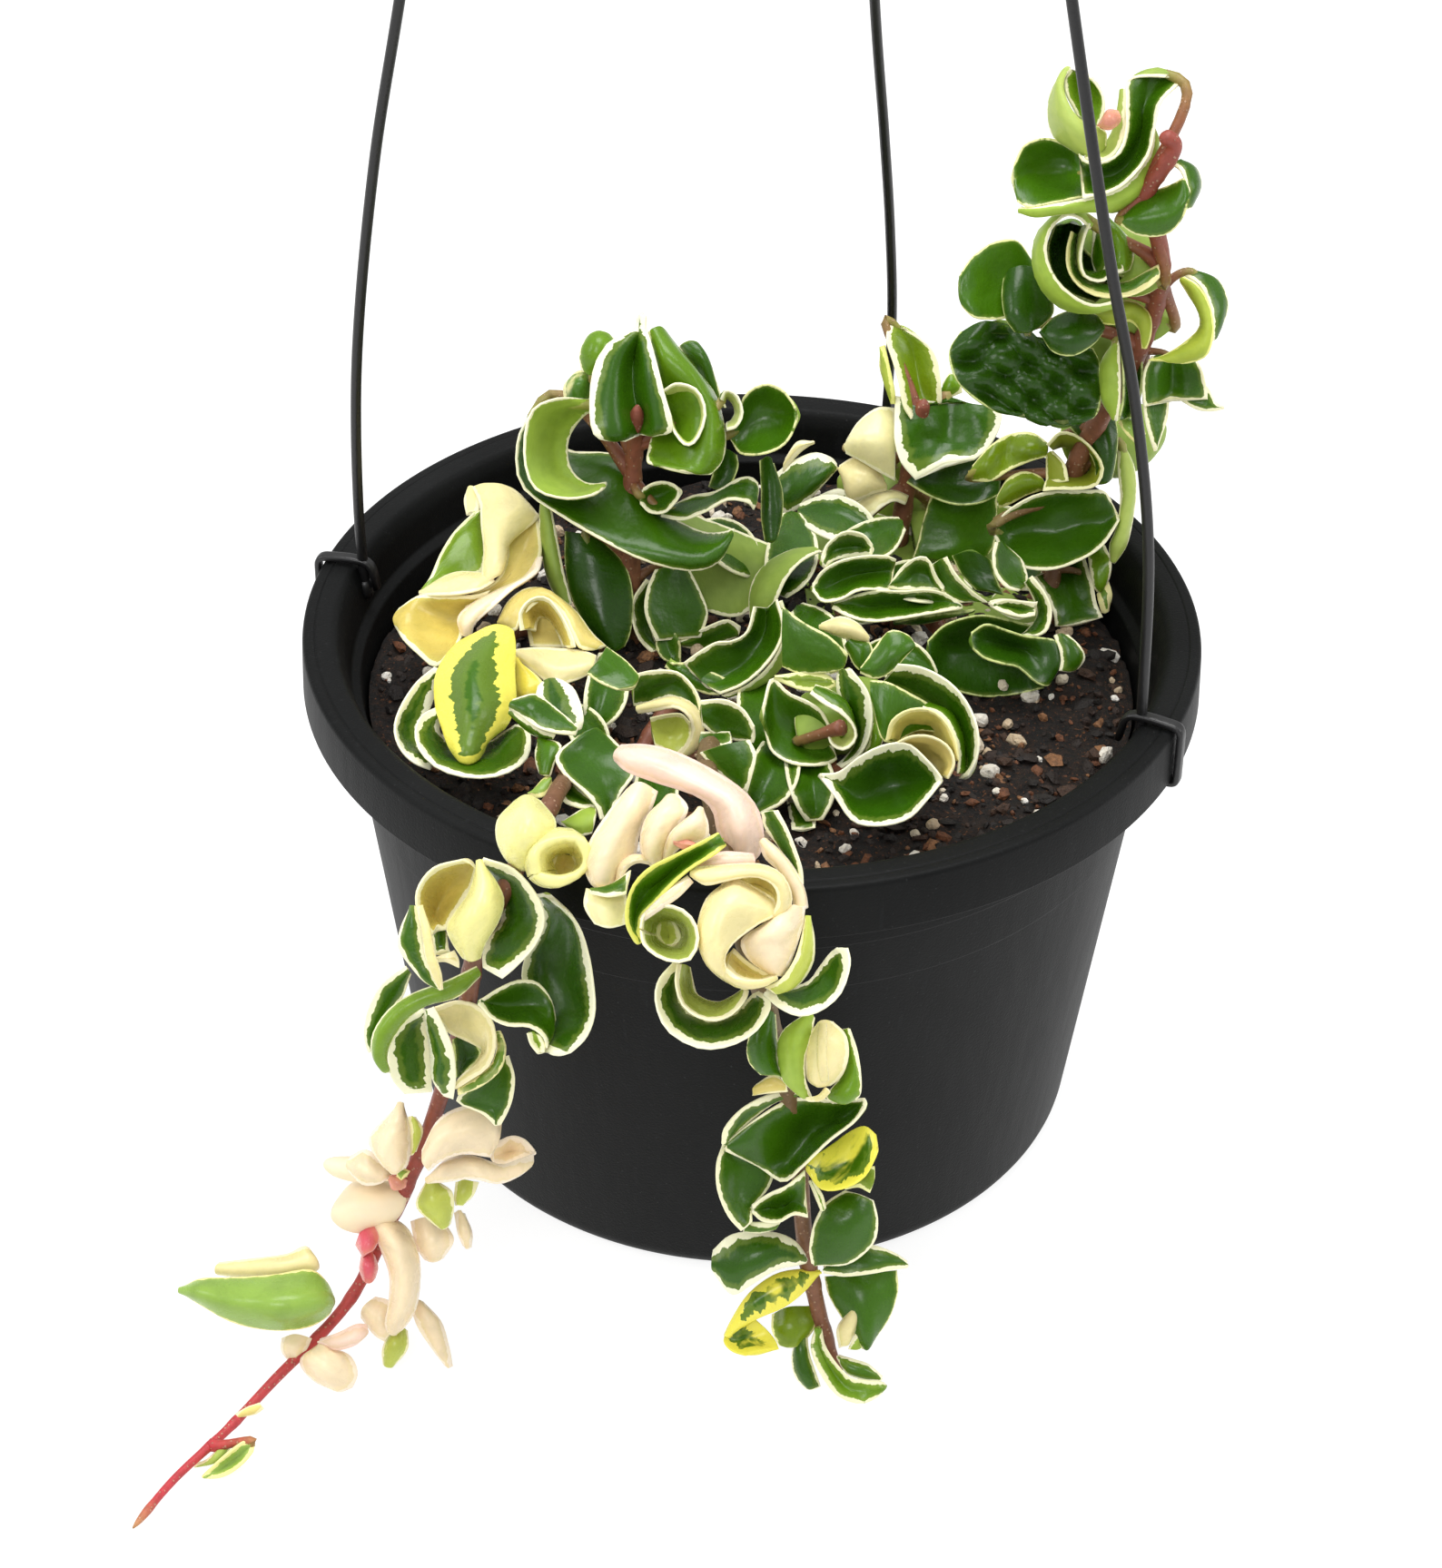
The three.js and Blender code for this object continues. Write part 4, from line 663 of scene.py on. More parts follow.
# Leaf forms: half width over length, fold, left cup, right cup, bend, bend power, twist, sway,
# ripple, ripple waves, thickness, base fullness, tip fullness. Angles are in degrees.
FORMS = {
    "cup": (0.54, 8, 95, 100, 90, 1.0, 0, 0, 18, 1.0, 1.5, 0.5, 0.48),
    "bowl": (0.62, 6, 128, 118, 120, 1.0, 8, 0, 16, 1.0, 1.5, 0.5, 0.48),
    "taco": (0.54, 30, 88, 84, 100, 1.0, 0, 0, 14, 1.0, 1.6, 0.5, 0.52),
    "rollr": (0.64, 8, 95, 265, 80, 1.0, 10, 0, 16, 1.0, 1.5, 0.5, 0.46),
    "rolll": (0.64, 8, 265, 95, 80, 1.0, -10, 0, 16, 1.0, 1.5, 0.5, 0.46),
    "scroll": (0.60, 8, 180, -140, -60, 1.2, 25, 0, 30, 1.0, 1.5, 0.52, 0.5),
    "drape": (0.56, 4, 60, -70, -110, 1.2, 25, 15, 55, 1.0, 1.4, 0.55, 0.5),
    "flat": (0.46, 5, 55, 50, 55, 1.2, 0, 0, 40, 1.0, 1.4, 0.55, 0.56),
    "fan": (0.74, 5, 60, 40, 50, 1.2, 0, 0, 45, 1.0, 1.4, 0.42, 0.5),
    "tongue": (0.33, 12, 75, 70, -70, 1.4, 14, 10, 26, 1.0, 1.5, 0.5, 0.62),
    "ruffle": (0.40, 3, 30, 20, 30, 1.2, 0, 0, 80, 1.6, 1.5, 0.5, 0.5),
    "swan": (0.26, 12, 95, 70, -60, 1.2, 20, 45, 20, 1.0, 1.6, 0.45, 0.7),
    "bean": (0.36, 26, 95, 95, 75, 1.0, 0, 0, 4, 1.0, 2.0, 0.5, 0.62),
    "tube": (0.46, 14, 140, 135, 35, 1.0, 0, 0, 6, 1.0, 1.6, 0.5, 0.6),
    "spoon": (0.32, 14, 80, 80, 60, 1.2, 0, 0, 12, 1.0, 1.8, 0.6, 0.5),
    "banana": (0.21, 26, 85, 85, 10, 1.0, 0, -135, 4, 1.0, 2.2, 0.5, 0.7),
    "bud": (0.26, 20, 70, 70, 25, 1.0, 0, 0, 0, 1.0, 1.6, 0.5, 0.8),
}

# Leaf colourings: the glossy face, the matt back and the border, then the border's width and the
# raggedness of its inner edge in millimetres, the share of the face in border patches, and the
# blush of pink at the border.
COLOURINGS = {
    "green": (shade(62, 106, 6), shade(142, 168, 66), shade(232, 232, 166), 0.12, 0.3, 0.0, 0.0),
    "dark": (shade(40, 78, 4), shade(104, 140, 44), shade(204, 214, 140), 0.05, 0.15, 0.0, 0.0),
    "edge": (shade(54, 96, 4), shade(146, 170, 72), shade(250, 246, 206), 0.45, 0.35, 0.0, 0.0),
    "pale": (shade(104, 144, 22), shade(172, 190, 92), shade(248, 244, 200), 0.4, 0.5, 0.0, 0.0),
    "half": (shade(54, 96, 6), shade(206, 208, 116), shade(250, 244, 196), 2.0, 2.4, 0.4, 0.0),
    "cream": (shade(246, 232, 170), shade(246, 232, 176), shade(252, 242, 196), 0.6, 0.4, 0.0, 0.05),
    "creamedge": (shade(80, 126, 36), shade(226, 218, 128), shade(248, 240, 172), 1.1, 0.6, 0.1, 0.0),
    "creamcup": (shade(240, 232, 158), shade(138, 168, 70), shade(244, 240, 180), 0.6, 0.5, 0.0, 0.0),
    "pink": (shade(253, 224, 204), shade(253, 228, 210), shade(254, 232, 214), 0.8, 0.6, 0.0, 0.3),
    "peach": (shade(253, 232, 194), shade(253, 234, 200), shade(254, 242, 216), 0.8, 0.6, 0.0, 0.12),
    "yellow": (shade(248, 234, 158), shade(248, 236, 166), shade(252, 244, 196), 0.5, 0.4, 0.0, 0.0),
    "yellowedge": (shade(66, 108, 6), shade(186, 196, 70), shade(242, 232, 84), 1.8, 2.0, 0.1, 0.0),
    "yellowpatch": (shade(60, 104, 6), shade(248, 236, 90), shade(250, 238, 100), 5.6, 1.6, 0.0, 0.0),
    "lightback": (shade(70, 112, 6), shade(158, 186, 66), shade(250, 246, 206), 0.35, 0.5, 0.0, 0.0),
    "backcream": (shade(70, 112, 6), shade(206, 216, 128), shade(252, 248, 212), 0.7, 0.4, 0.0, 0.0),
    "limeback": (shade(70, 112, 6), shade(170, 186, 62), shade(236, 236, 140), 0.5, 0.4, 0.0, 0.0),
    "creamgreen": (shade(250, 240, 180), shade(240, 232, 160), shade(252, 246, 206), 0.6, 0.5, 0.0, 0.0),
    # Painted shade: the next two colourings are cream leaves darkened to a dull yellow where they lie in
    # shade under folds, inside cups and behind other leaves. The first is darkened all over, the second
    # only on its glossy face, inside its cup.
    "tan": (shade(226, 206, 120), shade(232, 214, 130), shade(248, 238, 186), 0.5, 0.2, 0.0, 0.0),
    "tancup": (shade(214, 192, 96), shade(246, 236, 184), shade(250, 244, 200), 0.9, 0.3, 0.0, 0.0),
    "lemon": (shade(248, 242, 160), shade(222, 208, 96), shade(250, 246, 184), 0.5, 0.2, 0.0, 0.0),
    "vivid": (shade(244, 226, 84), shade(244, 226, 84), shade(250, 240, 150), 0.4, 0.2, 0.0, 0.0),
    "lightgreen": (shade(118, 152, 40), shade(146, 170, 72), shade(240, 242, 190), 0.5, 0.3, 0.0, 0.0),
    "limeedge": (shade(66, 112, 4), shade(176, 190, 60), shade(226, 226, 110), 0.4, 0.2, 0.0, 0.0),
    "palering": (shade(170, 184, 84), shade(240, 234, 180), shade(252, 246, 206), 0.9, 0.3, 0.0, 0.0),
    "crimson": (shade(226, 96, 112), shade(228, 100, 116), shade(240, 170, 170), 0.6, 0.4, 0.0, 0.8),
    "olivewide": (shade(112, 140, 12), shade(150, 170, 60), shade(248, 244, 200), 1.0, 0.8, 0.0, 0.0),
    "yellowgreen": (shade(196, 206, 92), shade(170, 190, 90), shade(246, 242, 190), 0.5, 0.4, 0.0, 0.0),
    "wide": (shade(50, 92, 4), shade(172, 190, 92), shade(250, 248, 214), 1.4, 0.9, 0.0, 0.0),
    "olive": (shade(112, 138, 14), shade(158, 170, 62), shade(238, 238, 166), 0.4, 0.5, 0.0, 0.0),
    "oliveback": (shade(90, 124, 10), shade(138, 148, 36), shade(250, 246, 190), 0.6, 0.4, 0.0, 0.0),
    "rosebud": (shade(206, 140, 116), shade(214, 150, 128), shade(226, 166, 140), 0.6, 0.4, 0.0, 0.6),
    "halfpale": (shade(96, 136, 16), shade(206, 216, 128), shade(248, 246, 200), 0.4, 0.6, 0.0, 0.0),
    "lime": (shade(146, 180, 78), shade(138, 172, 74), shade(244, 236, 158), 0.4, 0.4, 0.0, 0.0),
}

# Stems: radius, route, and leaves. Each leaf: distance along the stem, its centre's offset to the
# right, up and towards the camera, its turn, lean and spin in degrees, its length, form and colouring.
STEMS = {
    "stem_right": (2.2, [(72, 24, 104), (72, 24, 118), (74, 32, 136), (78, 34, 158), (86, 30, 180),
        (91, 26, 200), (91, 20, 216), (88, 16, 228), (85, 14, 236), (90, 12, 248), (87, 11, 252)], [
        (24, 5, -5, 10, -70, 0, 0, 22, "cup", "edge"), (30, 11, -3, 6, -60, 0, 0, 16, "cup", "edge"),
        (24, 12, -6, 3, -50, 0, 0, 14, "cup", "half"), (42, -2, -5, 20, 185, 0, -25, 32, "bowl", "edge"),
        (52, 0, 3, 18, 100, 0, 0, 24, "rollr", "edge"), (50, -12, -5, 14, 150, 0, 0, 20, "cup", "pale"),
        (56, 2, 2, 6, 90, 0, 0, 28, "flat", "dark"), (40, 14, 2, 4, 80, 0, 150, 28, "taco", "pale"),
        (92, -26, -5, 6, 185, 0, 0, 37, "ruffle", "dark"),
        (86, -5, -5, 8, -95, 0, 160, 22, "taco", "pale"), (88, 10, -7, 8, -35, 0, 0, 24, "cup", "edge"),
        (86, 3, -16, 4, -80, 0, 0, 14, "flat", "pale"), (100, -6, 0, 6, 170, 0, 180, 18, "spoon", "pale"),
        (105, -34, 3, 6, 175, 0, 0, 26, "flat", "green"), (106, -23, 0, 9, 185, 0, 0, 22, "cup", "dark"),
        (104, -19, -6, 12, 190, 0, 0, 16, "flat", "dark"),
        (110, 10, -8, 4, -80, 0, 150, 26, "taco", "pale"),
        (118, -18, 0, 16, 180, 10, 0, 32, "bowl", "edge"),
        (118, -13, 0, 17, 170, 0, 0, 22, "rolll", "edge"), (118, -8, 4, 4, 150, 0, 0, 24, "cup", "green"),
        (140, 3, 0, 0, -60, 0, 60, 16, "cup", "green"), (140, -6, -6, 8, -130, 0, 0, 24, "flat", "green"),
        (142, -27, 2, 8, 178, 0, 0, 28, "flat", "green"),
        (150, -22, 9, -4, 105, 0, 180, 26, "taco", "pale"), (146, -6, 8, 12, 60, 0, 0, 34, "swan", "edge"),
        (66, 10, 0, -15, 10, -20, 180, 32, "cup", "green"),
        (94, -12, 0, -12, 150, -20, 180, 26, "cup", "edge"),
        (112, -9, 0, -14, 150, -20, 180, 30, "bowl", "green"),
        (130, -8, -2, -12, 140, -20, 180, 26, "cup", "green"),
    ]),
    "stem_tall": (2.2, [(-27, 12, 104), (-28, 14, 118), (-29, 18, 140), (-28, 20, 165), (-27, 17, 180)], [
        (34, -11, 1, 6, -120, 0, 0, 36, "flat", "dark"), (34, -17, 3, 8, -85, 0, 70, 32, "taco", "edge"),
        (28, 10, -3, 10, -60, 0, 0, 28, "flat", "dark"), (28, 3, -5, 14, -85, 0, 0, 20, "cup", "edge"),
        (20, 17, -6, 10, 0, 0, 0, 28, "drape", "green"), (18, 26, -5, 14, 60, 0, 0, 28, "cup", "edge"),
        (30, 34, -5, 6, 55, 0, 150, 26, "taco", "pale"), (54, 14, -2, 12, -10, 0, 0, 28, "scroll", "edge"),
        (56, 21, 2, 6, 40, 0, 0, 26, "cup", "edge"), (54, 31, -4, 0, 90, 0, 60, 22, "flat", "dark"),
        (56, 1, -10, 20, -35, 0, 0, 44, "tongue", "edge"), (62, -15, 2, 12, 180, 0, 0, 30, "bowl", "pale"),
        (64, 29, 6, 6, 10, 0, 0, 20, "flat", "green"), (64, 22, 7, 8, 100, 0, 0, 14, "rollr", "edge"),
        (70, -9, 14, -4, 110, 0, 0, 14, "cup", "pale"), (70, 15, 13, -4, 70, 0, 0, 20, "cup", "green"),
        (70, 3, 12, 14, 92, 0, 0, 34, "rollr", "edge"),
        (40, -8, 0, -16, 200, -20, 180, 32, "cup", "green"),
        (52, 10, 0, -16, 20, -20, 180, 32, "bowl", "edge"),
        (66, -4, 4, -12, 100, -20, 180, 28, "cup", "green"),
    ]),
    "stem_back": (2.2, [(35, 54, 104), (37, 57, 118), (39, 60, 135), (41, 60, 150), (42, 60, 158)], [
        (10, 3, -11, 18, 2, 0, 70, 38, "taco", "edge"), (16, 5, -8, 10, 80, 0, 0, 16, "cup", "edge"),
        (22, 14, -6, 6, -100, 0, 0, 30, "flat", "dark"), (16, -10, -7, 14, 170, 0, 0, 26, "bowl", "edge"),
        (24, -23, -6, 6, 180, 0, 0, 26, "cup", "edge"),
        (30, -10, -8, 12, 20, 0, 160, 24, "spoon", "creamedge"),
        (34, -24, -3, 8, 150, 0, 0, 24, "cup", "creamedge"),
        (34, -12, -2, 10, 130, 0, 180, 20, "cup", "cream"), (36, 8, -8, 8, -20, 0, 0, 30, "flat", "dark"),
        (38, 21, -3, 6, 10, 0, 0, 28, "cup", "yellowedge"),
        (44, 8, 0, 12, 70, 0, 0, 28, "bowl", "creamedge"),
        (44, -12, 2, 4, 110, 0, 180, 20, "cup", "cream"), (46, -9, 10, 0, 100, 0, 180, 18, "cup", "cream"),
        (48, -2, 13, 4, 100, 0, 0, 28, "taco", "green"), (48, 11, 12, -4, 50, 0, 0, 26, "cup", "green"),
        (30, -8, 0, -12, 160, -20, 180, 28, "cup", "edge"),
        (42, 10, 0, -12, 20, -20, 180, 30, "cup", "green"),
    ]),
    "stem_yellow": (2.0, [(-46, 14, 104), (-49, 13, 118), (-56, 6, 132), (-60, -6, 140), (-61, -18, 141)], [
        (30, -9, 6, 6, 110, 0, 0, 40, "drape", "yellow"),
        (30, -20, -4, 10, 190, 0, 0, 24, "cup", "yellow"),
        (26, 4, 0, 14, 150, 50, 0, 24, "tube", "yellow"),
        (44, 13, -14, 14, 0, 0, 0, 22, "spoon", "yellow"),
        (50, -2, -17, 18, -100, 0, 0, 32, "rolll", "yellowpatch"),
        (50, -7, -25, 10, 200, 0, 0, 34, "bowl", "half"),
        (34, -10, 0, -10, 150, -20, 180, 30, "cup", "yellow"),
    ]),
    "stem_mid": (2.2, [(36, 22, 104), (36, 22, 118), (39, 20, 134), (42, 14, 142), (48, 8, 143),
                   (56, 2, 138)], [
        (58, 7, -14, 16, -60, 0, 0, 32, "scroll", "edge"), (48, 1, -21, 10, -100, 0, 0, 28, "cup", "dark"),
        (58, 11, -12, 8, -60, 0, 0, 20, "cup", "dark"), (58, 20, -13, 6, -20, 0, 0, 14, "cup", "green"),
        (54, 10, 2, 10, 20, 0, 0, 32, "drape", "edge"), (56, 8, -6, 16, 10, 0, 60, 16, "taco", "edge"),
        (50, 3, 4, 6, 60, 0, 0, 28, "cup", "dark"), (54, 16, 0, 6, 60, 0, 0, 24, "cup", "green"),
        (30, -8, 2, 4, 150, 0, 0, 30, "cup", "dark"), (44, 2, 6, -10, 90, -20, 180, 30, "cup", "green"),
    ]),
    "stem_front_right": (2.2, [(10, -34, 104), (11, -36, 118), (16, -44, 130), (22, -50, 138), (30,
                   -54, 141), (38, -56, 138)], [
        (14, 0, -9, 10, -90, 0, 150, 22, "spoon", "pale"), (14, 7, -12, 4, -60, 0, 0, 14, "cup", "pale"),
        (12, -13, 1, 8, -100, 0, 0, 22, "cup", "dark"), (16, -17, 8, 6, 170, 0, 0, 24, "cup", "dark"),
        (24, 0, 22, 10, 120, 0, 0, 26, "flat", "dark"), (24, 7, 27, 6, 110, 0, 180, 16, "cup", "cream"),
        (24, 13, 12, 14, 80, 0, 0, 24, "cup", "yellowedge"),
        (22, 2, 10, 20, 115, 0, 0, 34, "bowl", "edge"), (24, 6, 6, 24, 120, 0, 0, 20, "rollr", "half"),
        (40, 8, 16, 6, 45, 0, 0, 18, "flat", "green"), (48, 10, 1, 16, 60, 0, 0, 32, "bowl", "edge"),
        (50, 9, -2, 22, 50, 0, 0, 24, "rolll", "half"), (46, 3, -13, 22, 180, 0, -25, 30, "bowl", "edge"),
        (38, 4, 4, -12, 30, -20, 180, 28, "cup", "green"),
    ]),
    "stem_centre": (2.0, [(-14, -12, 104), (-15, -14, 118), (-20, -24, 130), (-26, -36, 137), (-34,
                   -46, 138)], [
        (40, 4, -6, 18, 20, 0, 0, 26, "bowl", "edge"), (40, 6, -8, 21, 10, 0, 0, 18, "rollr", "creamedge"),
        (50, -18, -2, 16, 175, 0, 0, 20, "scroll", "pale"), (48, -15, 0, 20, 120, 0, 0, 14, "cup", "edge"),
        (48, -21, -5, 12, 150, 0, 0, 16, "cup", "pale"), (46, -6, 2, 12, 150, 0, 0, 20, "spoon", "pale"),
        (48, -9, -19, 16, -110, 0, 0, 32, "scroll", "green"),
        (50, -15, -21, 8, -120, 0, 0, 16, "cup", "pale"),
        (50, -20, -14, 10, -150, 0, 0, 14, "flat", "pale"), (22, 10, 6, 4, 60, 0, 0, 26, "cup", "green"),
    ]),
    "trail_front": (2.2, [(-6, -38, 104), (-6, -40, 118), (-8, -52, 134), (-10, -76, 147), (-8, -98,
        150), (-5, -113, 147), (-2, -121, 136), (3, -121, 116), (8, -118, 90), (11, -115, 67), (13,
                   -115, 42), (17, -117, 20), (20, -121, 10), (22, -126, 7)], [
        (84, -3, 5, 16, 142, 0, 180, 42, "spoon", "pink"), (84, 4, -4, 12, -60, 0, 180, 22, "cup", "pink"),
        (80, -20, -8, 8, -105, 0, 180, 26, "bean", "cream"),
        (90, -22, -16, 4, -80, 0, 180, 16, "cup", "cream"),
        (86, -11, -3, 16, 65, 0, 180, 17, "bean", "pink"), (88, -7, -4, 18, 50, 0, 60, 15, "cup", "pink"),
        (98, -10, -4, 20, 45, 0, 50, 30, "taco", "half"), (96, -24, -7, 12, 180, 0, 0, 16, "taco", "pale"),
        (100, -12, -13, 18, -110, 35, 0, 18, "tube", "creamedge"),
        (112, 2, -1, 20, 100, 0, 0, 34, "rolll", "cream"),
        (112, 4, -6, 22, -70, 0, 180, 18, "bean", "cream"),
        (104, 11, -3, 8, 100, 0, 180, 30, "spoon", "cream"),
        (118, 9, -3, 12, 50, 0, 120, 20, "cup", "creamedge"),
        (124, 11, -2, 8, 40, 0, 0, 24, "cup", "edge"), (126, -10, -6, 12, 195, 0, -20, 30, "bowl", "edge"),
        (124, -7, -2, 15, 200, 0, 0, 24, "rollr", "creamedge"),
        (146, 9, -3, 12, -90, 0, 0, 22, "tube", "creamcup"),
        (138, -2, -4, 3, -95, 0, 0, 20, "flat", "edge"), (152, -2, -7, 4, 150, 0, 180, 12, "cup", "cream"),
        (168, -7, -4, 12, 165, 0, 0, 26, "cup", "edge"), (168, 6, -4, 14, 25, 0, 0, 26, "taco", "green"),
        (180, -9, -8, 10, -150, 0, 0, 28, "bowl", "edge"),
        (184, -4, -10, 16, -170, 0, 0, 20, "scroll", "edge"),
        (178, 10, -4, 8, 10, 0, 0, 18, "cup", "yellowedge"), (212, 8, 5, 6, 60, 0, 0, 20, "flat", "edge"),
        (212, -10, -3, 8, 172, 0, 0, 24, "cup", "yellowedge"),
        (216, -8, -10, 10, -145, 0, 40, 26, "taco", "yellowedge"),
        (222, -4, -10, 2, -100, 0, 0, 14, "cup", "half"), (216, 12, -7, 8, -15, 0, 20, 28, "cup", "edge"),
        (214, 10, 0, 10, 5, 0, -40, 24, "taco", "green"), (236, -3, -6, 4, -100, 0, 0, 16, "flat", "edge"),
        (238, 4, -6, 10, -50, 0, 20, 24, "taco", "pale"), (236, 5, 1, 4, 60, 0, 0, 12, "taco", "edge"),
        (40, 14, 4, 4, 20, 0, 0, 24, "cup", "dark"), (50, -14, 2, 2, 170, 0, 0, 24, "cup", "dark"),
    ]),
    "trail_left": (2.0, [(-42, -44, 104), (-42, -46, 118), (-41, -62, 131), (-42, -82, 142), (-45,
        -97, 144), (-51, -108, 138), (-58, -110, 122), (-61, -107, 104), (-66, -101, 80), (-73, -97,
        54), (-82, -98, 30), (-92, -107, 13), (-107, -124, 6), (-116, -137, 4), (-126, -152, 4), (-133,
                   -166, 4)], [
        (66, 4, -7, 10, -80, 0, 180, 18, "bean", "yellow"),
        (66, 10, -12, 12, -10, 60, 0, 16, "tube", "yellow"),
        (98, -2, 0, 12, 110, 0, 0, 38, "bowl", "half"), (100, -1, 3, 18, 80, 0, 180, 24, "bean", "yellow"),
        (102, 8, -6, 13, -40, 0, 0, 18, "cup", "edge"), (108, 17, -3, 4, 10, 0, 0, 25, "fan", "edge"),
        (114, -11, -8, 8, 205, 0, 120, 30, "taco", "pale"),
        (114, -15, -7, 2, 205, 0, 0, 32, "flat", "edge"),
        (132, -4, -5, 14, -110, 0, 0, 28, "bowl", "half"),
        (132, 0, -4, 17, -80, 0, 0, 20, "rolll", "creamedge"),
        (146, 8, -4, 2, 60, 0, 0, 24, "cup", "green"), (182, -6, 5, 6, 105, 0, 180, 17, "cup", "peach"),
        (178, 9, 3, 8, 35, 0, 180, 20, "bean", "peach"), (184, 14, 2, 8, 8, 0, 40, 26, "spoon", "peach"),
        (190, -11, 4, 6, 175, 0, 180, 18, "bean", "peach"),
        (194, -9, -1, 4, 195, 0, 160, 20, "cup", "peach"), (192, 6, -4, 4, -40, 0, 0, 13, "cup", "peach"),
        (198, 8, -5, 2, -50, 0, 0, 15, "cup", "lime"), (196, 14, -5, 3, -50, 0, 180, 10, "bean", "pink"),
        (214, 8, 0, 12, 38, 0, 180, 36, "banana", "peach"),
        (234, -13, 11, 10, 165, 0, 180, 34, "bean", "lime"),
        (234, -12, 16, 4, 172, 0, 180, 28, "spoon", "cream"),
        (222, 18, -8, 4, -58, 0, 180, 18, "bean", "peach"), (222, 8, -4, 2, 160, 0, 0, 14, "cup", "lime"),
        (222, 10, -11, 2, -100, 0, 180, 12, "bean", "peach"),
        (234, 3, -4, 6, -60, 0, 0, 20, "tube", "pink"), (234, 7, 1, 6, 20, 0, 0, 10, "spoon", "pink"),
        (262, -5, 1, 2, 190, 0, 0, 12, "bud", "lime"), (270, 4, -4, 2, -140, 0, 0, 14, "bud", "lime"),
        (292, -4, 2, 2, 150, 0, 0, 8, "bud", "lime"),
    ]),
}


# Leaves of the stems' lists that aren't drawn, because traced ones stand in their places.
HIDDEN = {
    "stem_tall": (19,),
    "stem_front_right": (1,),
    "trail_front": tuple(range(12, 33)),
    "trail_left": tuple(range(2, 14)) + tuple(range(16, 28)) + (29,),
}

# Slopes that tufts lie on: a point of the photograph that the slope passes through, across and
# down, its height in millimetres, and its steepness from 0, square to the view, to 1, level.
LIES = {
    "cream": (500, 700, 132, 0.45),
    "yellow": (515, 800, 130, 0.55),
    "centre": (620, 810, 138, 0.4),
    "bed": (850, 750, 127, 0.7),
}

# Leaves low between the stems: the middle across and down, the length and the width, all in points
# of the photograph, then the turn in degrees and the colouring.
LOW_LEAVES = {
    "stem_mid": [(872, 612, 92, 58, 100, "edge"), (925, 572, 92, 50, 20, "wide"),
                 (905, 702, 84, 48, 60, "edge"), (842, 792, 98, 58, 80, "edge"),
                 (960, 596, 76, 46, 160, "edge"), (805, 600, 80, 50, 40, "edge")],
    "stem_centre": [(668, 762, 84, 48, 100, "edge"), (648, 806, 72, 42, 60, "edge"),
                    (722, 872, 84, 50, 100, "edge")],
    "stem_front_right": [(893, 858, 92, 52, 75, "edge"), (992, 727, 84, 48, 20, "edge"),
                         (852, 852, 92, 56, 110, "edge"), (1010, 640, 84, 46, 10, "edge")],
}
# How leaves keep clear of the pot: the lowest height inside its wall, how far out that holds, and
# how far out they may lie below the rim's top at the back, in steps towards the lens.
SOIL_CLEAR = 117.0
SOIL_REACH = 96.0
WALL_REACH, WALL_CLEAR_HEIGHT, WALL_BACK = 91.0, POT_HEIGHT + 3.0, 10.0
WALL_STEP, WALL_STEPS = 2.0, 14
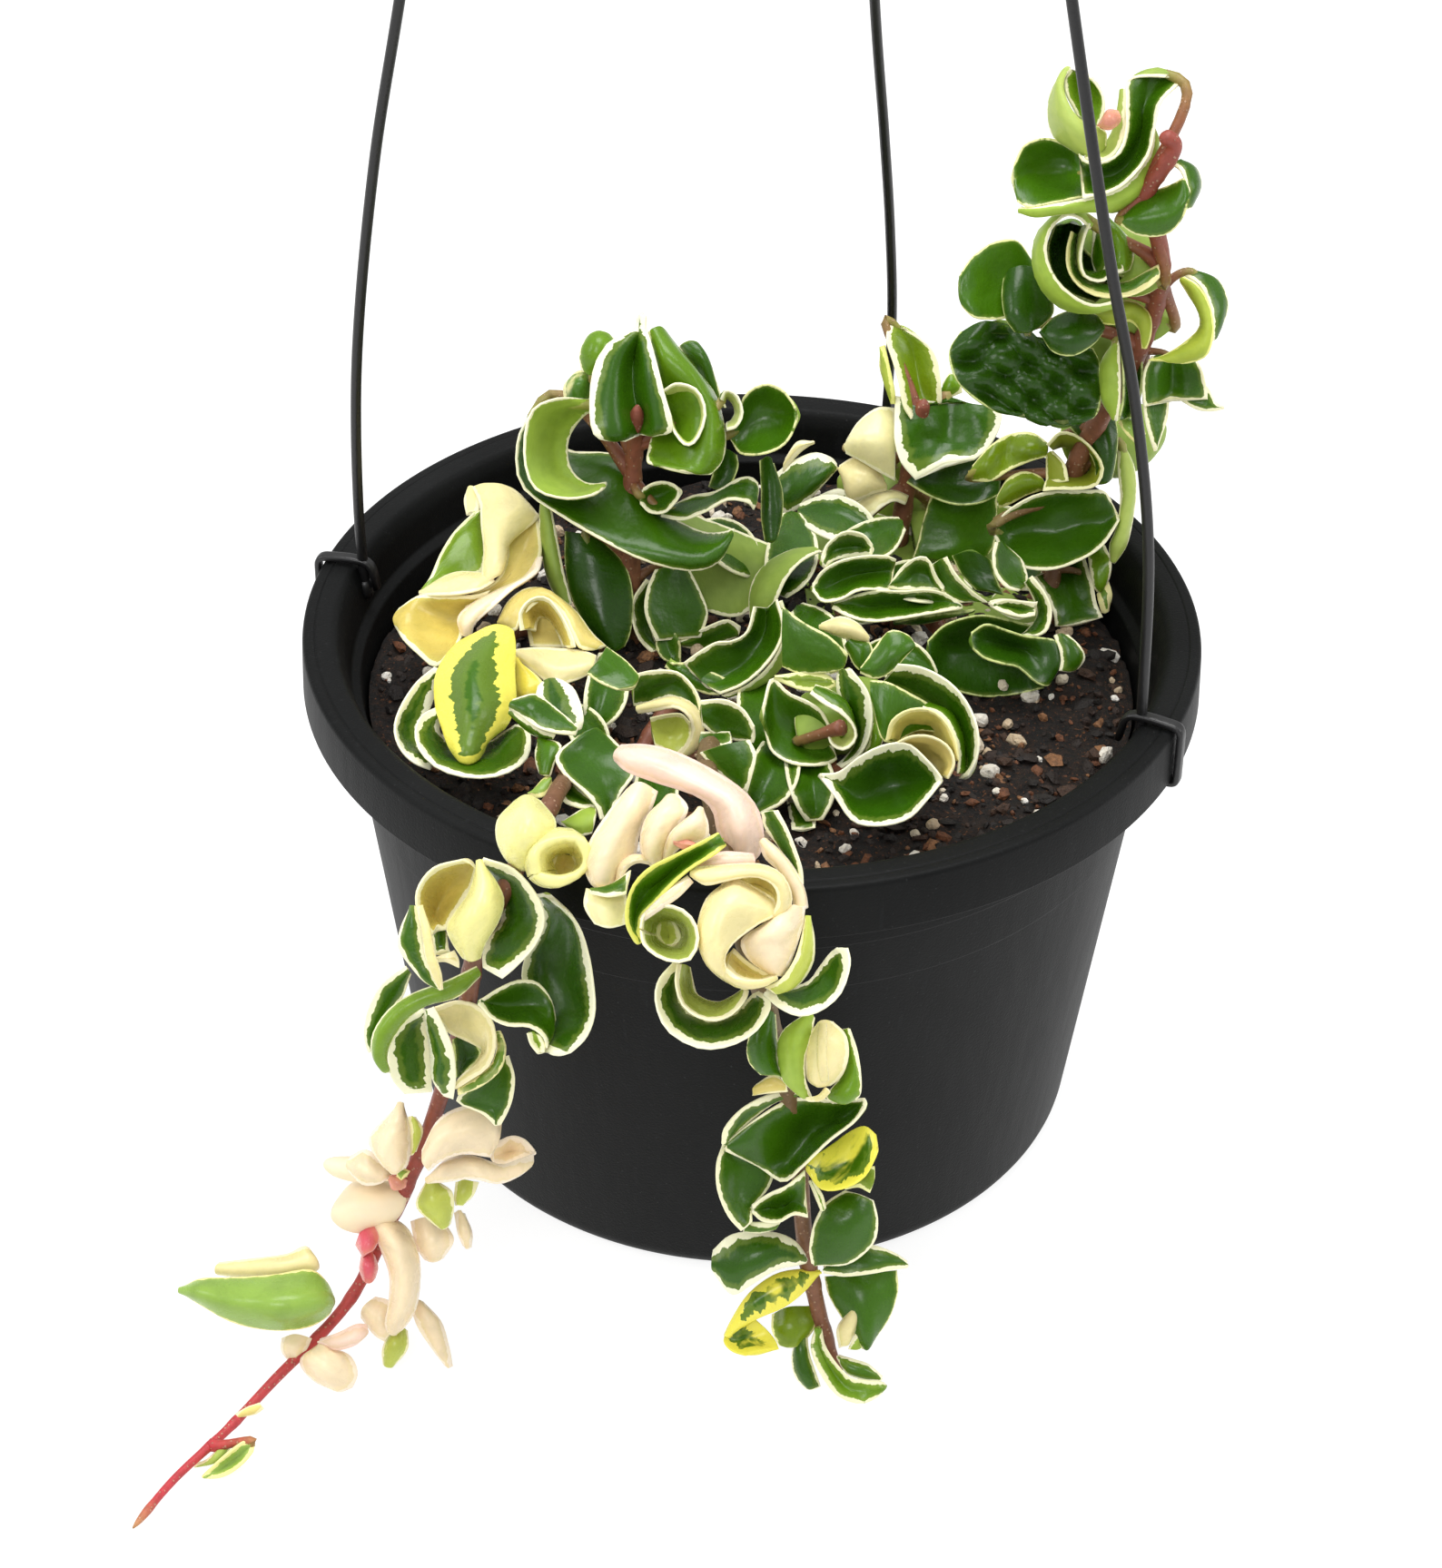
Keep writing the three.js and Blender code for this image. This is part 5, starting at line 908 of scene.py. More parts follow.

# Leaves shaped one by one from points read off the photograph. Each leaf: its
# place in the stem's list or None, the distance along the stem that its depths count from, 1 where
# its stalk is seen, its colouring and its rows from foot to tip. A row crosses the blade, and each
# of its points is across and down in the photograph and millimetres towards the lens. A slope's
# name, where one follows, says what the depths count from instead.
TRACED = {
    "stem_right": [
        (None, 140, 0, "pale", [
            [(1182, 166, 0), (1190, 168, 3), (1200, 170, 5), (1210, 168, 5), (1218, 160, 4)],
            [(1160, 150, -3), (1172, 150, 4), (1186, 148, 8), (1200, 146, 8), (1216, 143, 5)],
            [(1154, 125, -4), (1162, 124, 3), (1170, 122, 7), (1180, 125, 8), (1188, 134, 7)],
            [(1158, 100, -3), (1162, 99, 1), (1166, 98, 4), (1169, 100, 5), (1171, 106, 5)],
            [(1170, 82, -1), (1170, 82, 0), (1170, 83, 1), (1171, 84, 2), (1172, 86, 2)],
            [(1176, 75, 0), (1177, 75, 0), (1178, 75, 0), (1179, 76, 0), (1180, 77, 0)]]),
        (None, 140, 0, "pale", [
            [(1212, 140, 2), (1204, 138, 0), (1196, 135, -2), (1190, 130, -3), (1186, 126, -2)],
            [(1216, 120, 2), (1208, 115, -2), (1198, 110, -4), (1186, 106, -4), (1174, 104, 0)],
            [(1214, 104, 1), (1207, 96, -2), (1196, 90, -4), (1183, 88, -3), (1172, 90, 0)],
            [(1204, 88, 0), (1199, 84, -1), (1191, 80, -2), (1184, 77, -2), (1178, 76, 0)]]),
        (None, 146, 0, "rosebud", [
            [(1213, 142, 3), (1212, 138, 3), (1212, 134, 3)], [(1222, 143, 5), (1221, 132, 7),
             (1220, 121, 4)],
            [(1231, 138, 3), (1232, 130, 4), (1232, 122, 3)]]),
        (24, 142, 1, "edge", [
            [(1290, 84, 2), (1293, 85, 2), (1296, 86, 2), (1299, 87, 2), (1302, 88, 2)],
            [(1244, 87, 4), (1258, 81, 2), (1270, 80, 0), (1284, 88, 0), (1297, 95, 3)],
            [(1240, 112, 6), (1249, 110, 2), (1258, 112, 0), (1268, 112, 1), (1279, 112, 5)],
            [(1240, 140, 7), (1248, 138, 2), (1256, 138, -1), (1264, 138, 1), (1272, 138, 6)],
            [(1233, 167, 8), (1243, 165, 2), (1252, 166, -1), (1259, 168, 1), (1265, 170, 7)],
            [(1214, 178, 8), (1226, 184, 2), (1234, 190, 0), (1240, 194, 2), (1243, 198, 8)],
            [(1196, 177, 6), (1203, 189, 1), (1210, 200, 0), (1216, 207, 2), (1221, 212, 7)],
            [(1188, 169, 4), (1189, 180, 2), (1190, 195, 1), (1191, 208, 3), (1192, 218, 6)]]),
        (23, 140, 0, "pale", [
            [(1240, 98, 5), (1237, 99, 4), (1234, 106, 1)], [(1239, 125, 6), (1234, 127, 4),
             (1229, 130, 2)],
            [(1238, 150, 7), (1230, 150, 4), (1222, 150, 2)], [(1222, 175, 8), (1217, 168, 4),
             (1210, 162, 2)],
            [(1195, 176, 6), (1193, 168, 4), (1190, 164, 2)]]),
        (22, 134, 1, "green", [
            [(1190, 172, 0), (1191, 182, 0), (1192, 192, 0), (1193, 204, 2), (1194, 218, 6)],
            [(1172, 158, 2), (1174, 174, -2), (1175, 192, -2), (1176, 208, 2), (1176, 221, 7)],
            [(1150, 152, 3), (1150, 172, -1), (1150, 192, -2), (1150, 210, 2), (1151, 226, 7)],
            [(1128, 160, 3), (1128, 176, 1), (1129, 192, 0), (1130, 208, 3), (1133, 229, 7)],
            [(1116, 184, 3), (1115, 192, 3), (1115, 200, 3), (1117, 210, 4), (1120, 222, 5)]]),
        (21, 134, 0, "lightback", [
            [(1122, 229, 5), (1123, 231, 5), (1125, 233, 4)], [(1140, 229, 7), (1141, 234, 7),
             (1143, 238, 4)],
            [(1165, 224, 8), (1167, 231, 7), (1168, 236, 3)], [(1195, 219, 8), (1198, 227, 7),
             (1202, 233, 3)],
            [(1225, 211, 9), (1230, 222, 7), (1235, 233, 2)], [(1246, 197, 9), (1254, 206, 7),
             (1258, 212, 2)],
            [(1264, 172, 8), (1268, 180, 6), (1272, 188, 2)], [(1272, 140, 7), (1274, 148, 5),
             (1276, 155, 2)]]),
        (17, 118, 1, "lightback", [
            [(1200, 252, 8), (1203, 246, 6), (1207, 242, 2)], [(1188, 240, 10), (1190, 236, 8),
             (1192, 233, 2)],
            [(1172, 238, 11), (1170, 234, 8), (1168, 234, 0)], [(1156, 255, 12), (1148, 252, 8),
             (1143, 256, -2)],
            [(1152, 280, 12), (1143, 281, 8), (1138, 284, -3)],
            [(1162, 306, 12), (1151, 312, 8), (1146, 317, -3)],
            [(1182, 326, 12), (1175, 334, 8), (1170, 340, -3)],
            [(1206, 336, 11), (1204, 342, 8), (1200, 344, -2)],
            [(1236, 329, 8), (1236, 334, 6), (1235, 337, 0)]]),
        (19, 118, 0, "dark", [
            [(1160, 250, 2), (1170, 245, -2), (1180, 242, -3), (1187, 244, -2), (1192, 250, 2)],
            [(1153, 275, 4), (1165, 270, -4), (1176, 270, -6), (1186, 270, -4), (1193, 272, 2)],
            [(1158, 300, 4), (1170, 300, -4), (1182, 296, -6), (1196, 290, -4), (1206, 285, 0)],
            [(1176, 322, 4), (1188, 318, -3), (1200, 314, -5), (1212, 306, -4), (1222, 298, 0)],
            [(1205, 334, 4), (1214, 328, 0), (1222, 320, -2), (1230, 312, -2), (1238, 304, 0)]]),
        (18, 118, 0, "creamedge", [
            [(1180, 255, 8), (1183, 258, 3), (1186, 262, -3)], [(1175, 275, 9), (1180, 276, 3),
             (1184, 278, -3)],
            [(1176, 296, 10), (1182, 294, 3), (1188, 292, -3)],
            [(1187, 314, 10), (1193, 308, 3), (1199, 304, -3)],
            [(1208, 326, 10), (1212, 318, 3), (1216, 312, -3)], [(1238, 327, 9), (1240, 317, 5),
             (1242, 310, 0)],
            [(1262, 318, 7), (1264, 306, 5), (1264, 298, 2)], [(1277, 306, 4), (1277, 298, 4),
             (1276, 291, 4)]]),
        (None, 118, 0, "backcream", [
            [(1200, 246, 9), (1196, 250, 4), (1192, 254, 0)],
            [(1194, 262, 10), (1190, 262, 4), (1187, 263, -2)],
            [(1190, 284, 11), (1188, 284, 4), (1186, 284, -2)],
            [(1195, 304, 11), (1192, 300, 4), (1190, 298, -2)],
            [(1212, 310, 11), (1210, 303, 4), (1208, 298, -2)],
            [(1226, 302, 10), (1222, 294, 4), (1220, 288, -1)],
            [(1238, 298, 7), (1236, 290, 3), (1234, 284, 0)]]),
        (None, 118, 0, "edge", [
            [(1204, 250, 6), (1207, 248, 5), (1211, 250, 4)], [(1203, 268, 3), (1210, 264, 4),
             (1218, 262, 6)],
            [(1202, 285, 2), (1211, 284, 4), (1222, 282, 7)], [(1206, 300, 3), (1212, 302, 4),
             (1220, 300, 6)]]),
        (None, 118, 0, "pale", [
            [(1210, 242, 2), (1218, 242, 3), (1226, 246, 2)], [(1218, 258, 2), (1230, 258, 5),
             (1242, 262, 2)],
            [(1222, 280, 2), (1234, 280, 5), (1249, 280, 1)], [(1224, 300, 2), (1232, 302, 4),
             (1244, 298, 1)]]),
        (20, 140, 1, "green", [
            [(1232, 246, 0), (1234, 243, 0), (1237, 240, 0)], [(1250, 258, 2), (1252, 240, 3),
             (1254, 220, 0)],
            [(1272, 261, 2), (1273, 236, 4), (1274, 209, 1)], [(1290, 255, 3), (1292, 230, 5),
             (1292, 202, 3)],
            [(1303, 238, 5), (1305, 218, 6), (1302, 196, 6)], [(1306, 225, 6), (1307, 212, 6),
             (1305, 200, 6)]]),
        (None, 140, 0, "edge", [
            [(1292, 182, 3), (1298, 179, 2), (1304, 178, 0)], [(1301, 190, 5), (1310, 186, 3),
             (1318, 186, 0)],
            [(1307, 210, 6), (1315, 207, 4), (1323, 205, 0)], [(1303, 233, 5), (1308, 230, 3),
             (1313, 226, 0)]]),
        (13, 106, 1, "green", [
            [(1135, 285, -3), (1137, 300, -3), (1138, 315, -3), (1138, 325, -3), (1138, 335, -3)],
            [(1120, 265, 0), (1118, 285, -1), (1116, 310, -2), (1114, 330, -2), (1110, 350, -1)],
            [(1095, 266, 1), (1092, 290, 0), (1090, 312, -1), (1090, 332, 0), (1090, 352, 1)],
            [(1070, 284, 1), (1070, 300, 1), (1070, 318, 1), (1070, 334, 2), (1073, 350, 2)],
            [(1056, 306, 1), (1055, 312, 1), (1055, 320, 1), (1056, 328, 1), (1059, 337, 1)]]),
        (14, 104, 0, "dark", [
            [(1106, 300, 0), (1116, 296, 1), (1126, 294, 1), (1138, 296, 0), (1150, 300, -1)],
            [(1103, 325, 2), (1116, 322, 4), (1130, 320, 3), (1145, 322, 1), (1158, 326, -1)],
            [(1107, 350, 3), (1118, 346, 5), (1132, 344, 4), (1146, 346, 2), (1160, 345, 0)],
            [(1118, 366, 3), (1124, 367, 4), (1132, 367, 4), (1138, 364, 3), (1145, 360, 2)]]),
        (15, 104, 0, "dark", [
            [(1148, 370, 2), (1147, 366, 2), (1147, 362, 2)], [(1160, 388, 4), (1162, 368, 5),
             (1164, 347, 2)],
            [(1182, 392, 5), (1184, 368, 6), (1186, 341, 2)], [(1203, 380, 4), (1206, 364, 4),
             (1206, 346, 1)],
            [(1214, 366, 2), (1215, 360, 2), (1214, 354, 2)]]),
        (16, 110, 0, "limeback", [
            [(1304, 305, 3), (1302, 308, 3), (1300, 311, 2)], [(1322, 318, 6), (1315, 320, 6),
             (1308, 324, 2)],
            [(1333, 340, 7), (1326, 342, 7), (1320, 344, 2)], [(1336, 366, 7), (1328, 366, 7),
             (1320, 362, 2)],
            [(1330, 390, 6), (1318, 386, 6), (1300, 380, 2)], [(1315, 398, 4), (1298, 394, 4),
             (1280, 392, 2)],
            [(1300, 400, 3), (1282, 398, 3), (1264, 397, 2)]]),
        (None, 110, 1, "edge", [
            [(1303, 303, 2), (1312, 300, 2), (1322, 300, 1)], [(1320, 314, 4), (1332, 309, 2),
             (1343, 310, 0)],
            [(1331, 335, 5), (1342, 332, 3), (1353, 334, 0)], [(1335, 362, 5), (1342, 358, 3),
             (1347, 355, 1)],
            [(1333, 378, 4), (1336, 374, 3), (1339, 370, 2)]]),
        (12, 100, 0, "limeback", [
            [(1200, 348, 2), (1202, 350, 2), (1205, 353, 2)], [(1222, 334, 4), (1222, 346, 5),
             (1224, 358, 2)],
            [(1248, 331, 4), (1246, 342, 5), (1242, 354, 2)], [(1266, 346, 4), (1259, 352, 5),
             (1252, 360, 2)],
            [(1268, 366, 4), (1262, 368, 4), (1256, 368, 2)], [(1263, 384, 2), (1260, 384, 2),
             (1257, 384, 2)]]),
        (8, 92, 1, "dark", [
            [(1058, 366, 0), (1080, 356, 0), (1104, 354, 1), (1130, 366, 0), (1155, 376, 1), (1180, 384, 0),
             (1204, 384, 0)],
            [(1046, 385, 0), (1072, 378, 3), (1102, 374, -3), (1132, 382, 3), (1160, 390, -2),
             (1186, 392, 3), (1210, 398, 0)],
            [(1047, 404, 1), (1074, 398, -3), (1104, 396, 4), (1134, 402, -3), (1162, 406, 4),
             (1188, 410, -3), (1212, 412, 0)],
            [(1055, 421, 2), (1080, 416, 4), (1108, 414, -3), (1136, 420, 4), (1164, 426, -3),
             (1190, 430, 3), (1212, 432, 0)],
            [(1072, 438, 2), (1092, 434, -2), (1114, 436, 4), (1138, 440, -3), (1164, 446, 4),
             (1188, 450, -2), (1211, 448, 1)],
            [(1095, 452, 1), (1108, 452, 2), (1122, 455, -1), (1142, 458, 3), (1166, 464, -1),
             (1188, 462, 2), (1206, 458, 1)],
            [(1115, 457, 1), (1122, 457, 1), (1132, 458, 1), (1148, 466, 1), (1170, 471, 1),
             (1186, 467, 1), (1198, 462, 1)]]),
        (9, 90, 1, "lightback", [
            [(1232, 375, 4), (1230, 376, 3), (1226, 378, 1)], [(1233, 400, 6), (1222, 398, 5),
             (1213, 398, 0)],
            [(1234, 420, 7), (1220, 420, 5), (1208, 420, -1)], [(1233, 443, 6), (1223, 444, 5),
             (1214, 443, 0)],
            [(1230, 464, 4), (1228, 463, 3), (1226, 461, 2)]]),
        (None, 90, 0, "dark", [
            [(1234, 380, 4), (1243, 372, 1), (1252, 368, 2)], [(1236, 410, 5), (1247, 405, -3),
             (1258, 400, 0)],
            [(1236, 440, 5), (1246, 440, -3), (1256, 436, 1)], [(1231, 463, 4), (1238, 462, 1),
             (1246, 458, 2)]]),
        (11, 84, 0, "lime", [
            [(1231, 465, 2), (1238, 463, 2), (1246, 462, 1)], [(1240, 478, 3), (1248, 472, 3),
             (1256, 464, 1)],
            [(1250, 488, 2), (1256, 484, 2), (1262, 478, 1)]]),
        (10, 90, 1, "edge", [
            [(1268, 393, 2), (1279, 392, 1), (1290, 398, -1), (1303, 391, 1), (1316, 394, 2)],
            [(1260, 408, 4), (1274, 408, 3), (1290, 412, -1), (1308, 408, 2), (1324, 408, 4)],
            [(1258, 430, 4), (1272, 428, 3), (1289, 428, -1), (1310, 428, 2), (1329, 428, 4)],
            [(1260, 448, 4), (1270, 444, 2), (1288, 440, 0), (1308, 440, 2), (1330, 440, 4)]]),
        (None, 88, 0, "edge", [
            [(1258, 438, 4), (1272, 436, 2), (1288, 434, 0)], [(1261, 463, 4), (1272, 462, 2),
             (1286, 460, 1)],
            [(1267, 485, 3), (1273, 482, 2), (1280, 476, 1)], [(1271, 497, 2), (1272, 497, 2),
             (1273, 496, 2)]]),
        (None, 88, 0, "edge", [
            [(1300, 441, 2), (1303, 434, 2), (1306, 424, 1)], [(1318, 451, 3), (1322, 442, 3),
             (1328, 424, 3)],
            [(1335, 453, 3), (1336, 448, 3), (1338, 441, 3)], [(1348, 450, 2), (1348, 449, 2),
             (1348, 448, 2)]]),
        (6, 60, 1, "dark", [
            [(1176, 470, 0), (1196, 455, 1), (1216, 457, 1), (1229, 464, 1)],
            [(1190, 485, 0), (1204, 480, 2), (1220, 480, 3), (1231, 482, 2)],
            [(1205, 510, 0), (1213, 508, 2), (1222, 506, 3), (1229, 505, 2)],
            [(1206, 533, 0), (1212, 534, 1), (1219, 532, 1), (1225, 527, 1)]]),
        (7, 50, 1, "pale", [
            [(1238, 491, 0), (1235, 491, 1), (1231, 495, 1)], [(1249, 515, -1), (1241, 515, 2),
             (1231, 520, 2)],
            [(1251, 545, -1), (1243, 545, 2), (1234, 548, 1)], [(1246, 580, -1), (1238, 580, 3),
             (1230, 580, 2)],
            [(1240, 602, -1), (1230, 603, 3), (1222, 600, 2)], [(1227, 621, 0), (1225, 620, 1),
             (1223, 618, 1)]]),
        (3, 44, 1, "edge", [
            [(1096, 592, 5), (1095, 588, 5), (1094, 584, 5), (1095, 581, 6), (1096, 578, 7)],
            [(1110, 617, 8), (1110, 605, 3), (1110, 590, 1), (1110, 576, 3), (1110, 562, 8)],
            [(1135, 627, 10), (1135, 610, 4), (1136, 590, 0), (1137, 568, 2), (1137, 546, 9)],
            [(1162, 627, 11), (1162, 608, 4), (1163, 588, 0), (1165, 562, 2), (1166, 540, 8)],
            [(1192, 616, 11), (1192, 600, 5), (1193, 580, 1), (1194, 560, 3), (1195, 540, 7)],
            [(1215, 600, 10), (1215, 588, 6), (1216, 574, 4), (1216, 558, 5), (1214, 540, 6)],
            [(1233, 572, 8), (1232, 570, 7), (1231, 567, 6), (1228, 560, 6), (1224, 552, 6)]]),
        (4, 50, 0, "oliveback", [
            [(1153, 490, 7), (1156, 492, 4), (1160, 495, 0)], [(1168, 476, 9), (1169, 484, 3),
             (1172, 492, -3)],
            [(1188, 481, 10), (1186, 490, 3), (1184, 498, -4)],
            [(1206, 498, 10), (1200, 502, 3), (1192, 508, -4)],
            [(1215, 516, 10), (1206, 514, 3), (1196, 514, -4)],
            [(1208, 534, 9), (1202, 526, 3), (1194, 520, -4)],
            [(1190, 539, 8), (1188, 530, 3), (1186, 522, -4)],
            [(1165, 539, 8), (1166, 530, 3), (1168, 520, -3)], [(1148, 541, 7), (1150, 533, 4),
             (1154, 524, 0)]]),
        (None, 50, 0, "oliveback", [
            [(1160, 497, 4), (1156, 499, 4), (1152, 502, 3)], [(1173, 512, 6), (1162, 512, 5),
             (1152, 512, 2)],
            [(1177, 530, 6), (1165, 532, 5), (1152, 530, 2)]]),
        (None, 46, 0, "olive", [
            [(1100, 560, 2), (1099, 552, 3), (1099, 545, 3)], [(1112, 556, 2), (1110, 540, 4),
             (1110, 527, 4)],
            [(1130, 546, 2), (1128, 532, 4), (1127, 519, 4)], [(1145, 541, 2), (1145, 532, 4),
             (1144, 524, 4)],
            [(1151, 538, 2), (1151, 536, 3), (1150, 533, 3)]]),
        (5, 50, 1, "olive", [
            [(1072, 530, 0), (1070, 522, 1), (1072, 512, 1)], [(1092, 530, 3), (1088, 510, 4),
             (1092, 490, 2)],
            [(1112, 518, 3), (1108, 500, 1), (1112, 478, 2)], [(1135, 508, 4), (1132, 494, 5),
             (1136, 476, 2)],
            [(1152, 503, 3), (1154, 496, 3), (1154, 488, 2)]]),
        (None, 30, 0, "edge", [
            [(1098, 606, 2), (1098, 603, 1), (1098, 600, 0)], [(1100, 628, 4), (1106, 618, 0),
             (1112, 610, -2)],
            [(1118, 648, 5), (1124, 634, 0), (1130, 622, -3)], [(1142, 651, 4), (1146, 640, 0),
             (1150, 628, -2)]]),
        (1, 30, 1, "pale", [
            [(1198, 612, 2), (1208, 604, 2), (1217, 601, 2)], [(1200, 628, 4), (1212, 624, 4),
             (1224, 618, 3)],
            [(1204, 645, 3), (1212, 642, 4), (1222, 636, 3)], [(1208, 652, 2), (1211, 651, 2),
             (1214, 649, 2)]]),
        (2, 26, 1, "creamedge", [
            [(1208, 655, 2), (1214, 648, 2), (1221, 640, 2)], [(1210, 665, 3), (1217, 660, 3),
             (1225, 655, 3)],
            [(1213, 675, 2), (1218, 675, 2), (1221, 668, 2)]]),
        (0, 24, 1, "edge", [
            [(1138, 636, 3), (1155, 628, -2), (1175, 622, -3), (1195, 616, 3)],
            [(1150, 652, 4), (1165, 648, 0), (1185, 645, 0), (1203, 640, 4)],
            [(1160, 675, 5), (1173, 670, 2), (1190, 668, 2), (1208, 665, 4)],
            [(1162, 690, 4), (1178, 690, 4), (1196, 686, 4), (1215, 680, 4)]]),
    ],
    "stem_back": [
        (11, 44, 1, "creamgreen", [
            [(932, 500, 0), (932, 492, 0), (933, 484, 0)], [(948, 508, 2), (945, 485, 4), (946, 464, 1)],
            [(968, 520, 2), (965, 485, 5), (966, 449, 1)], [(986, 530, 1), (986, 490, 3), (985, 449, 0)]]),
        (7, 36, 0, "cream", [
            [(926, 520, 2), (925, 516, 2), (925, 512, 2)], [(936, 552, 4), (938, 528, 6), (942, 503, 3)],
            [(958, 545, 5), (958, 528, 6), (960, 508, 3)], [(977, 540, 3), (976, 536, 3), (974, 528, 3)]]),
        (6, 34, 0, "wide", [
            [(856, 560, 3), (856, 540, 2), (856, 520, 1)], [(868, 566, 4), (870, 540, 5), (872, 508, 3)],
            [(888, 553, 5), (892, 530, 6), (896, 498, 3)], [(908, 532, 4), (912, 518, 5), (914, 503, 3)],
            [(920, 518, 3), (921, 515, 3), (922, 511, 3)]]),
        (4, 26, 0, "wide", [
            [(885, 570, 0), (888, 560, 0), (893, 552, 0)], [(905, 572, 2), (907, 556, 2), (910, 542, 1)],
            [(928, 570, 2), (928, 555, 2), (926, 538, 1)], [(944, 562, 2), (942, 556, 2), (940, 550, 2)]]),
        (5, 30, 1, "creamgreen", [
            [(942, 586, 4), (932, 586, 3), (922, 584, 1)], [(955, 574, 6), (946, 565, 5), (938, 558, 2)],
            [(970, 560, 7), (964, 551, 6), (960, 545, 2)], [(984, 552, 7), (983, 546, 6), (983, 540, 2)],
            [(997, 556, 5), (999, 551, 4), (1001, 546, 2)]]),
        (3, 20, 0, "edge", [
            [(903, 628, 4), (903, 620, 4), (906, 608, 4)], [(918, 622, 2), (916, 606, 1), (920, 590, 5)],
            [(940, 616, 2), (940, 600, 1), (940, 585, 5)], [(958, 614, 2), (960, 606, 3), (960, 598, 4)]]),
        (1, 14, 0, "edge", [
            [(902, 660, 6), (898, 652, 5), (897, 643, 5)], [(914, 665, 8), (912, 648, 2), (910, 628, 5)],
            [(935, 655, 9), (935, 640, 1), (932, 616, 5)], [(956, 648, 9), (958, 634, 1), (958, 612, 5)],
            [(976, 651, 8), (978, 636, 2), (978, 612, 4)], [(988, 652, 6), (990, 640, 2), (988, 616, 2)]]),
        (0, 10, 1, "edge", [
            [(916, 669, 5), (918, 667, 4), (921, 664, 4)], [(932, 679, 8), (934, 668, 3), (940, 654, 6)],
            [(960, 684, 9), (962, 670, 3), (966, 651, 7)], [(995, 680, 9), (997, 666, 3), (1000, 651, 7)],
            [(1030, 673, 8), (1032, 664, 4), (1034, 652, 6)], [(1058, 672, 6), (1059, 669, 5),
             (1060, 666, 5)]]),
        (None, 14, 0, "edge", [
            [(978, 652, 3), (980, 648, 3), (983, 640, 3)], [(998, 651, 4), (998, 636, 3), (998, 620, 3)],
            [(1015, 651, 4), (1015, 634, 3), (1014, 613, 3)], [(1030, 652, 3), (1028, 640, 3),
             (1024, 618, 3)],
            [(1042, 650, 2), (1036, 642, 2), (1030, 632, 3)]]),
        (2, 22, 0, "edge", [
            [(1042, 614, 4), (1060, 606, 1), (1078, 604, 0)], [(1051, 631, 5), (1070, 622, 0),
             (1092, 616, 0)],
            [(1066, 646, 6), (1085, 638, 1), (1104, 634, 0)], [(1090, 666, 5), (1098, 655, 2),
             (1106, 648, 1)]]),
        (8, 30, 0, "green", [
            [(1024, 548, 0), (1060, 556, 0), (1098, 545, 0)], [(1016, 575, 1), (1055, 578, 2),
             (1098, 572, 0)],
            [(1010, 600, 2), (1050, 602, 3), (1095, 600, 1)], [(1005, 614, 2), (1045, 618, 2),
             (1085, 614, 1)]]),
        (10, 46, 1, "wide", [
            [(986, 436, 2), (1010, 450, 3), (1044, 438, 1), (1072, 446, 3), (1101, 448, 2)],
            [(985, 462, 4), (1012, 462, 4), (1043, 460, 1), (1074, 460, 4), (1103, 460, 3)],
            [(985, 486, 6), (1014, 480, 4), (1041, 480, 1), (1070, 478, 4), (1098, 478, 5)],
            [(992, 510, 7), (1018, 496, 4), (1040, 496, 2), (1064, 494, 4), (1086, 496, 6)],
            [(1008, 529, 6), (1024, 520, 5), (1040, 512, 5), (1056, 509, 6), (1072, 507, 6)]]),
        (9, 40, 0, "dark", [
            [(998, 532, 1), (1004, 526, 1), (1010, 524, 1)], [(1022, 546, 3), (1026, 532, 1),
             (1032, 516, 2)],
            [(1050, 556, 4), (1052, 536, 0), (1056, 508, 1)], [(1078, 555, 4), (1080, 532, 1),
             (1082, 500, 1)],
            [(1100, 545, 2), (1102, 530, 1), (1100, 508, 1)]]),
        (12, 44, 0, "cream", [
            [(862, 520, -3), (864, 512, -3), (866, 504, -3)], [(880, 500, -2), (878, 493, -2),
             (879, 486, -2)],
            [(897, 488, -2), (897, 487, -2), (897, 486, -2)]]),
        (13, 48, 1, "olivewide",
            [[(978, 357, 0), (980, 356, 0), (982, 355, 0), (984, 356, 0), (987, 357, 0)],
             [(976, 376, 3), (986, 372, 1), (998, 370, 0), (1010, 372, 1), (1020, 379, 2)],
             [(983, 398, 4), (994, 394, 1), (1006, 392, -1), (1018, 394, 1), (1032, 396, 3)],
             [(990, 422, 5), (1000, 418, 1), (1010, 416, -1), (1022, 418, 1), (1036, 420, 3)],
             [(994, 446, 5), (1004, 442, 1), (1014, 440, -1), (1026, 440, 0), (1037, 440, 2)],
             [(1003, 462, 4), (1010, 456, 1), (1018, 452, 0), (1028, 448, 0), (1036, 444, 1)]]),
        (14, 48, 0, "pale",
            [[(1037, 438, -2), (1038, 430, -2), (1039, 422, -2)],
             [(1046, 438, -2), (1046, 424, -1), (1047, 410, -2)],
             [(1060, 432, -2), (1058, 424, -2), (1052, 414, -2)]]),
        (None, 48, 0, "limeback",
            [[(974, 380, 2), (972, 382, 1), (971, 385, 0)], [(980, 405, 3), (974, 405, 2), (969, 405, 0)],
             [(985, 430, 3), (981, 432, 2), (978, 432, 0)], [(985, 445, 2), (984, 445, 1), (983, 444, 1)]]),
        (None, 20, 0, "edge",
            [[(1000, 560, -6), (1010, 620, -6), (1030, 680, -6)],
             [(1060, 550, -6), (1070, 610, -5), (1080, 690, -6)],
             [(1120, 560, -6), (1130, 620, -5), (1130, 690, -6)],
             [(1180, 580, -6), (1190, 630, -6), (1180, 680, -6)]]),
        (None, 16, 0, "edge",
            [[(880, 570, -6), (880, 620, -6), (890, 670, -6)],
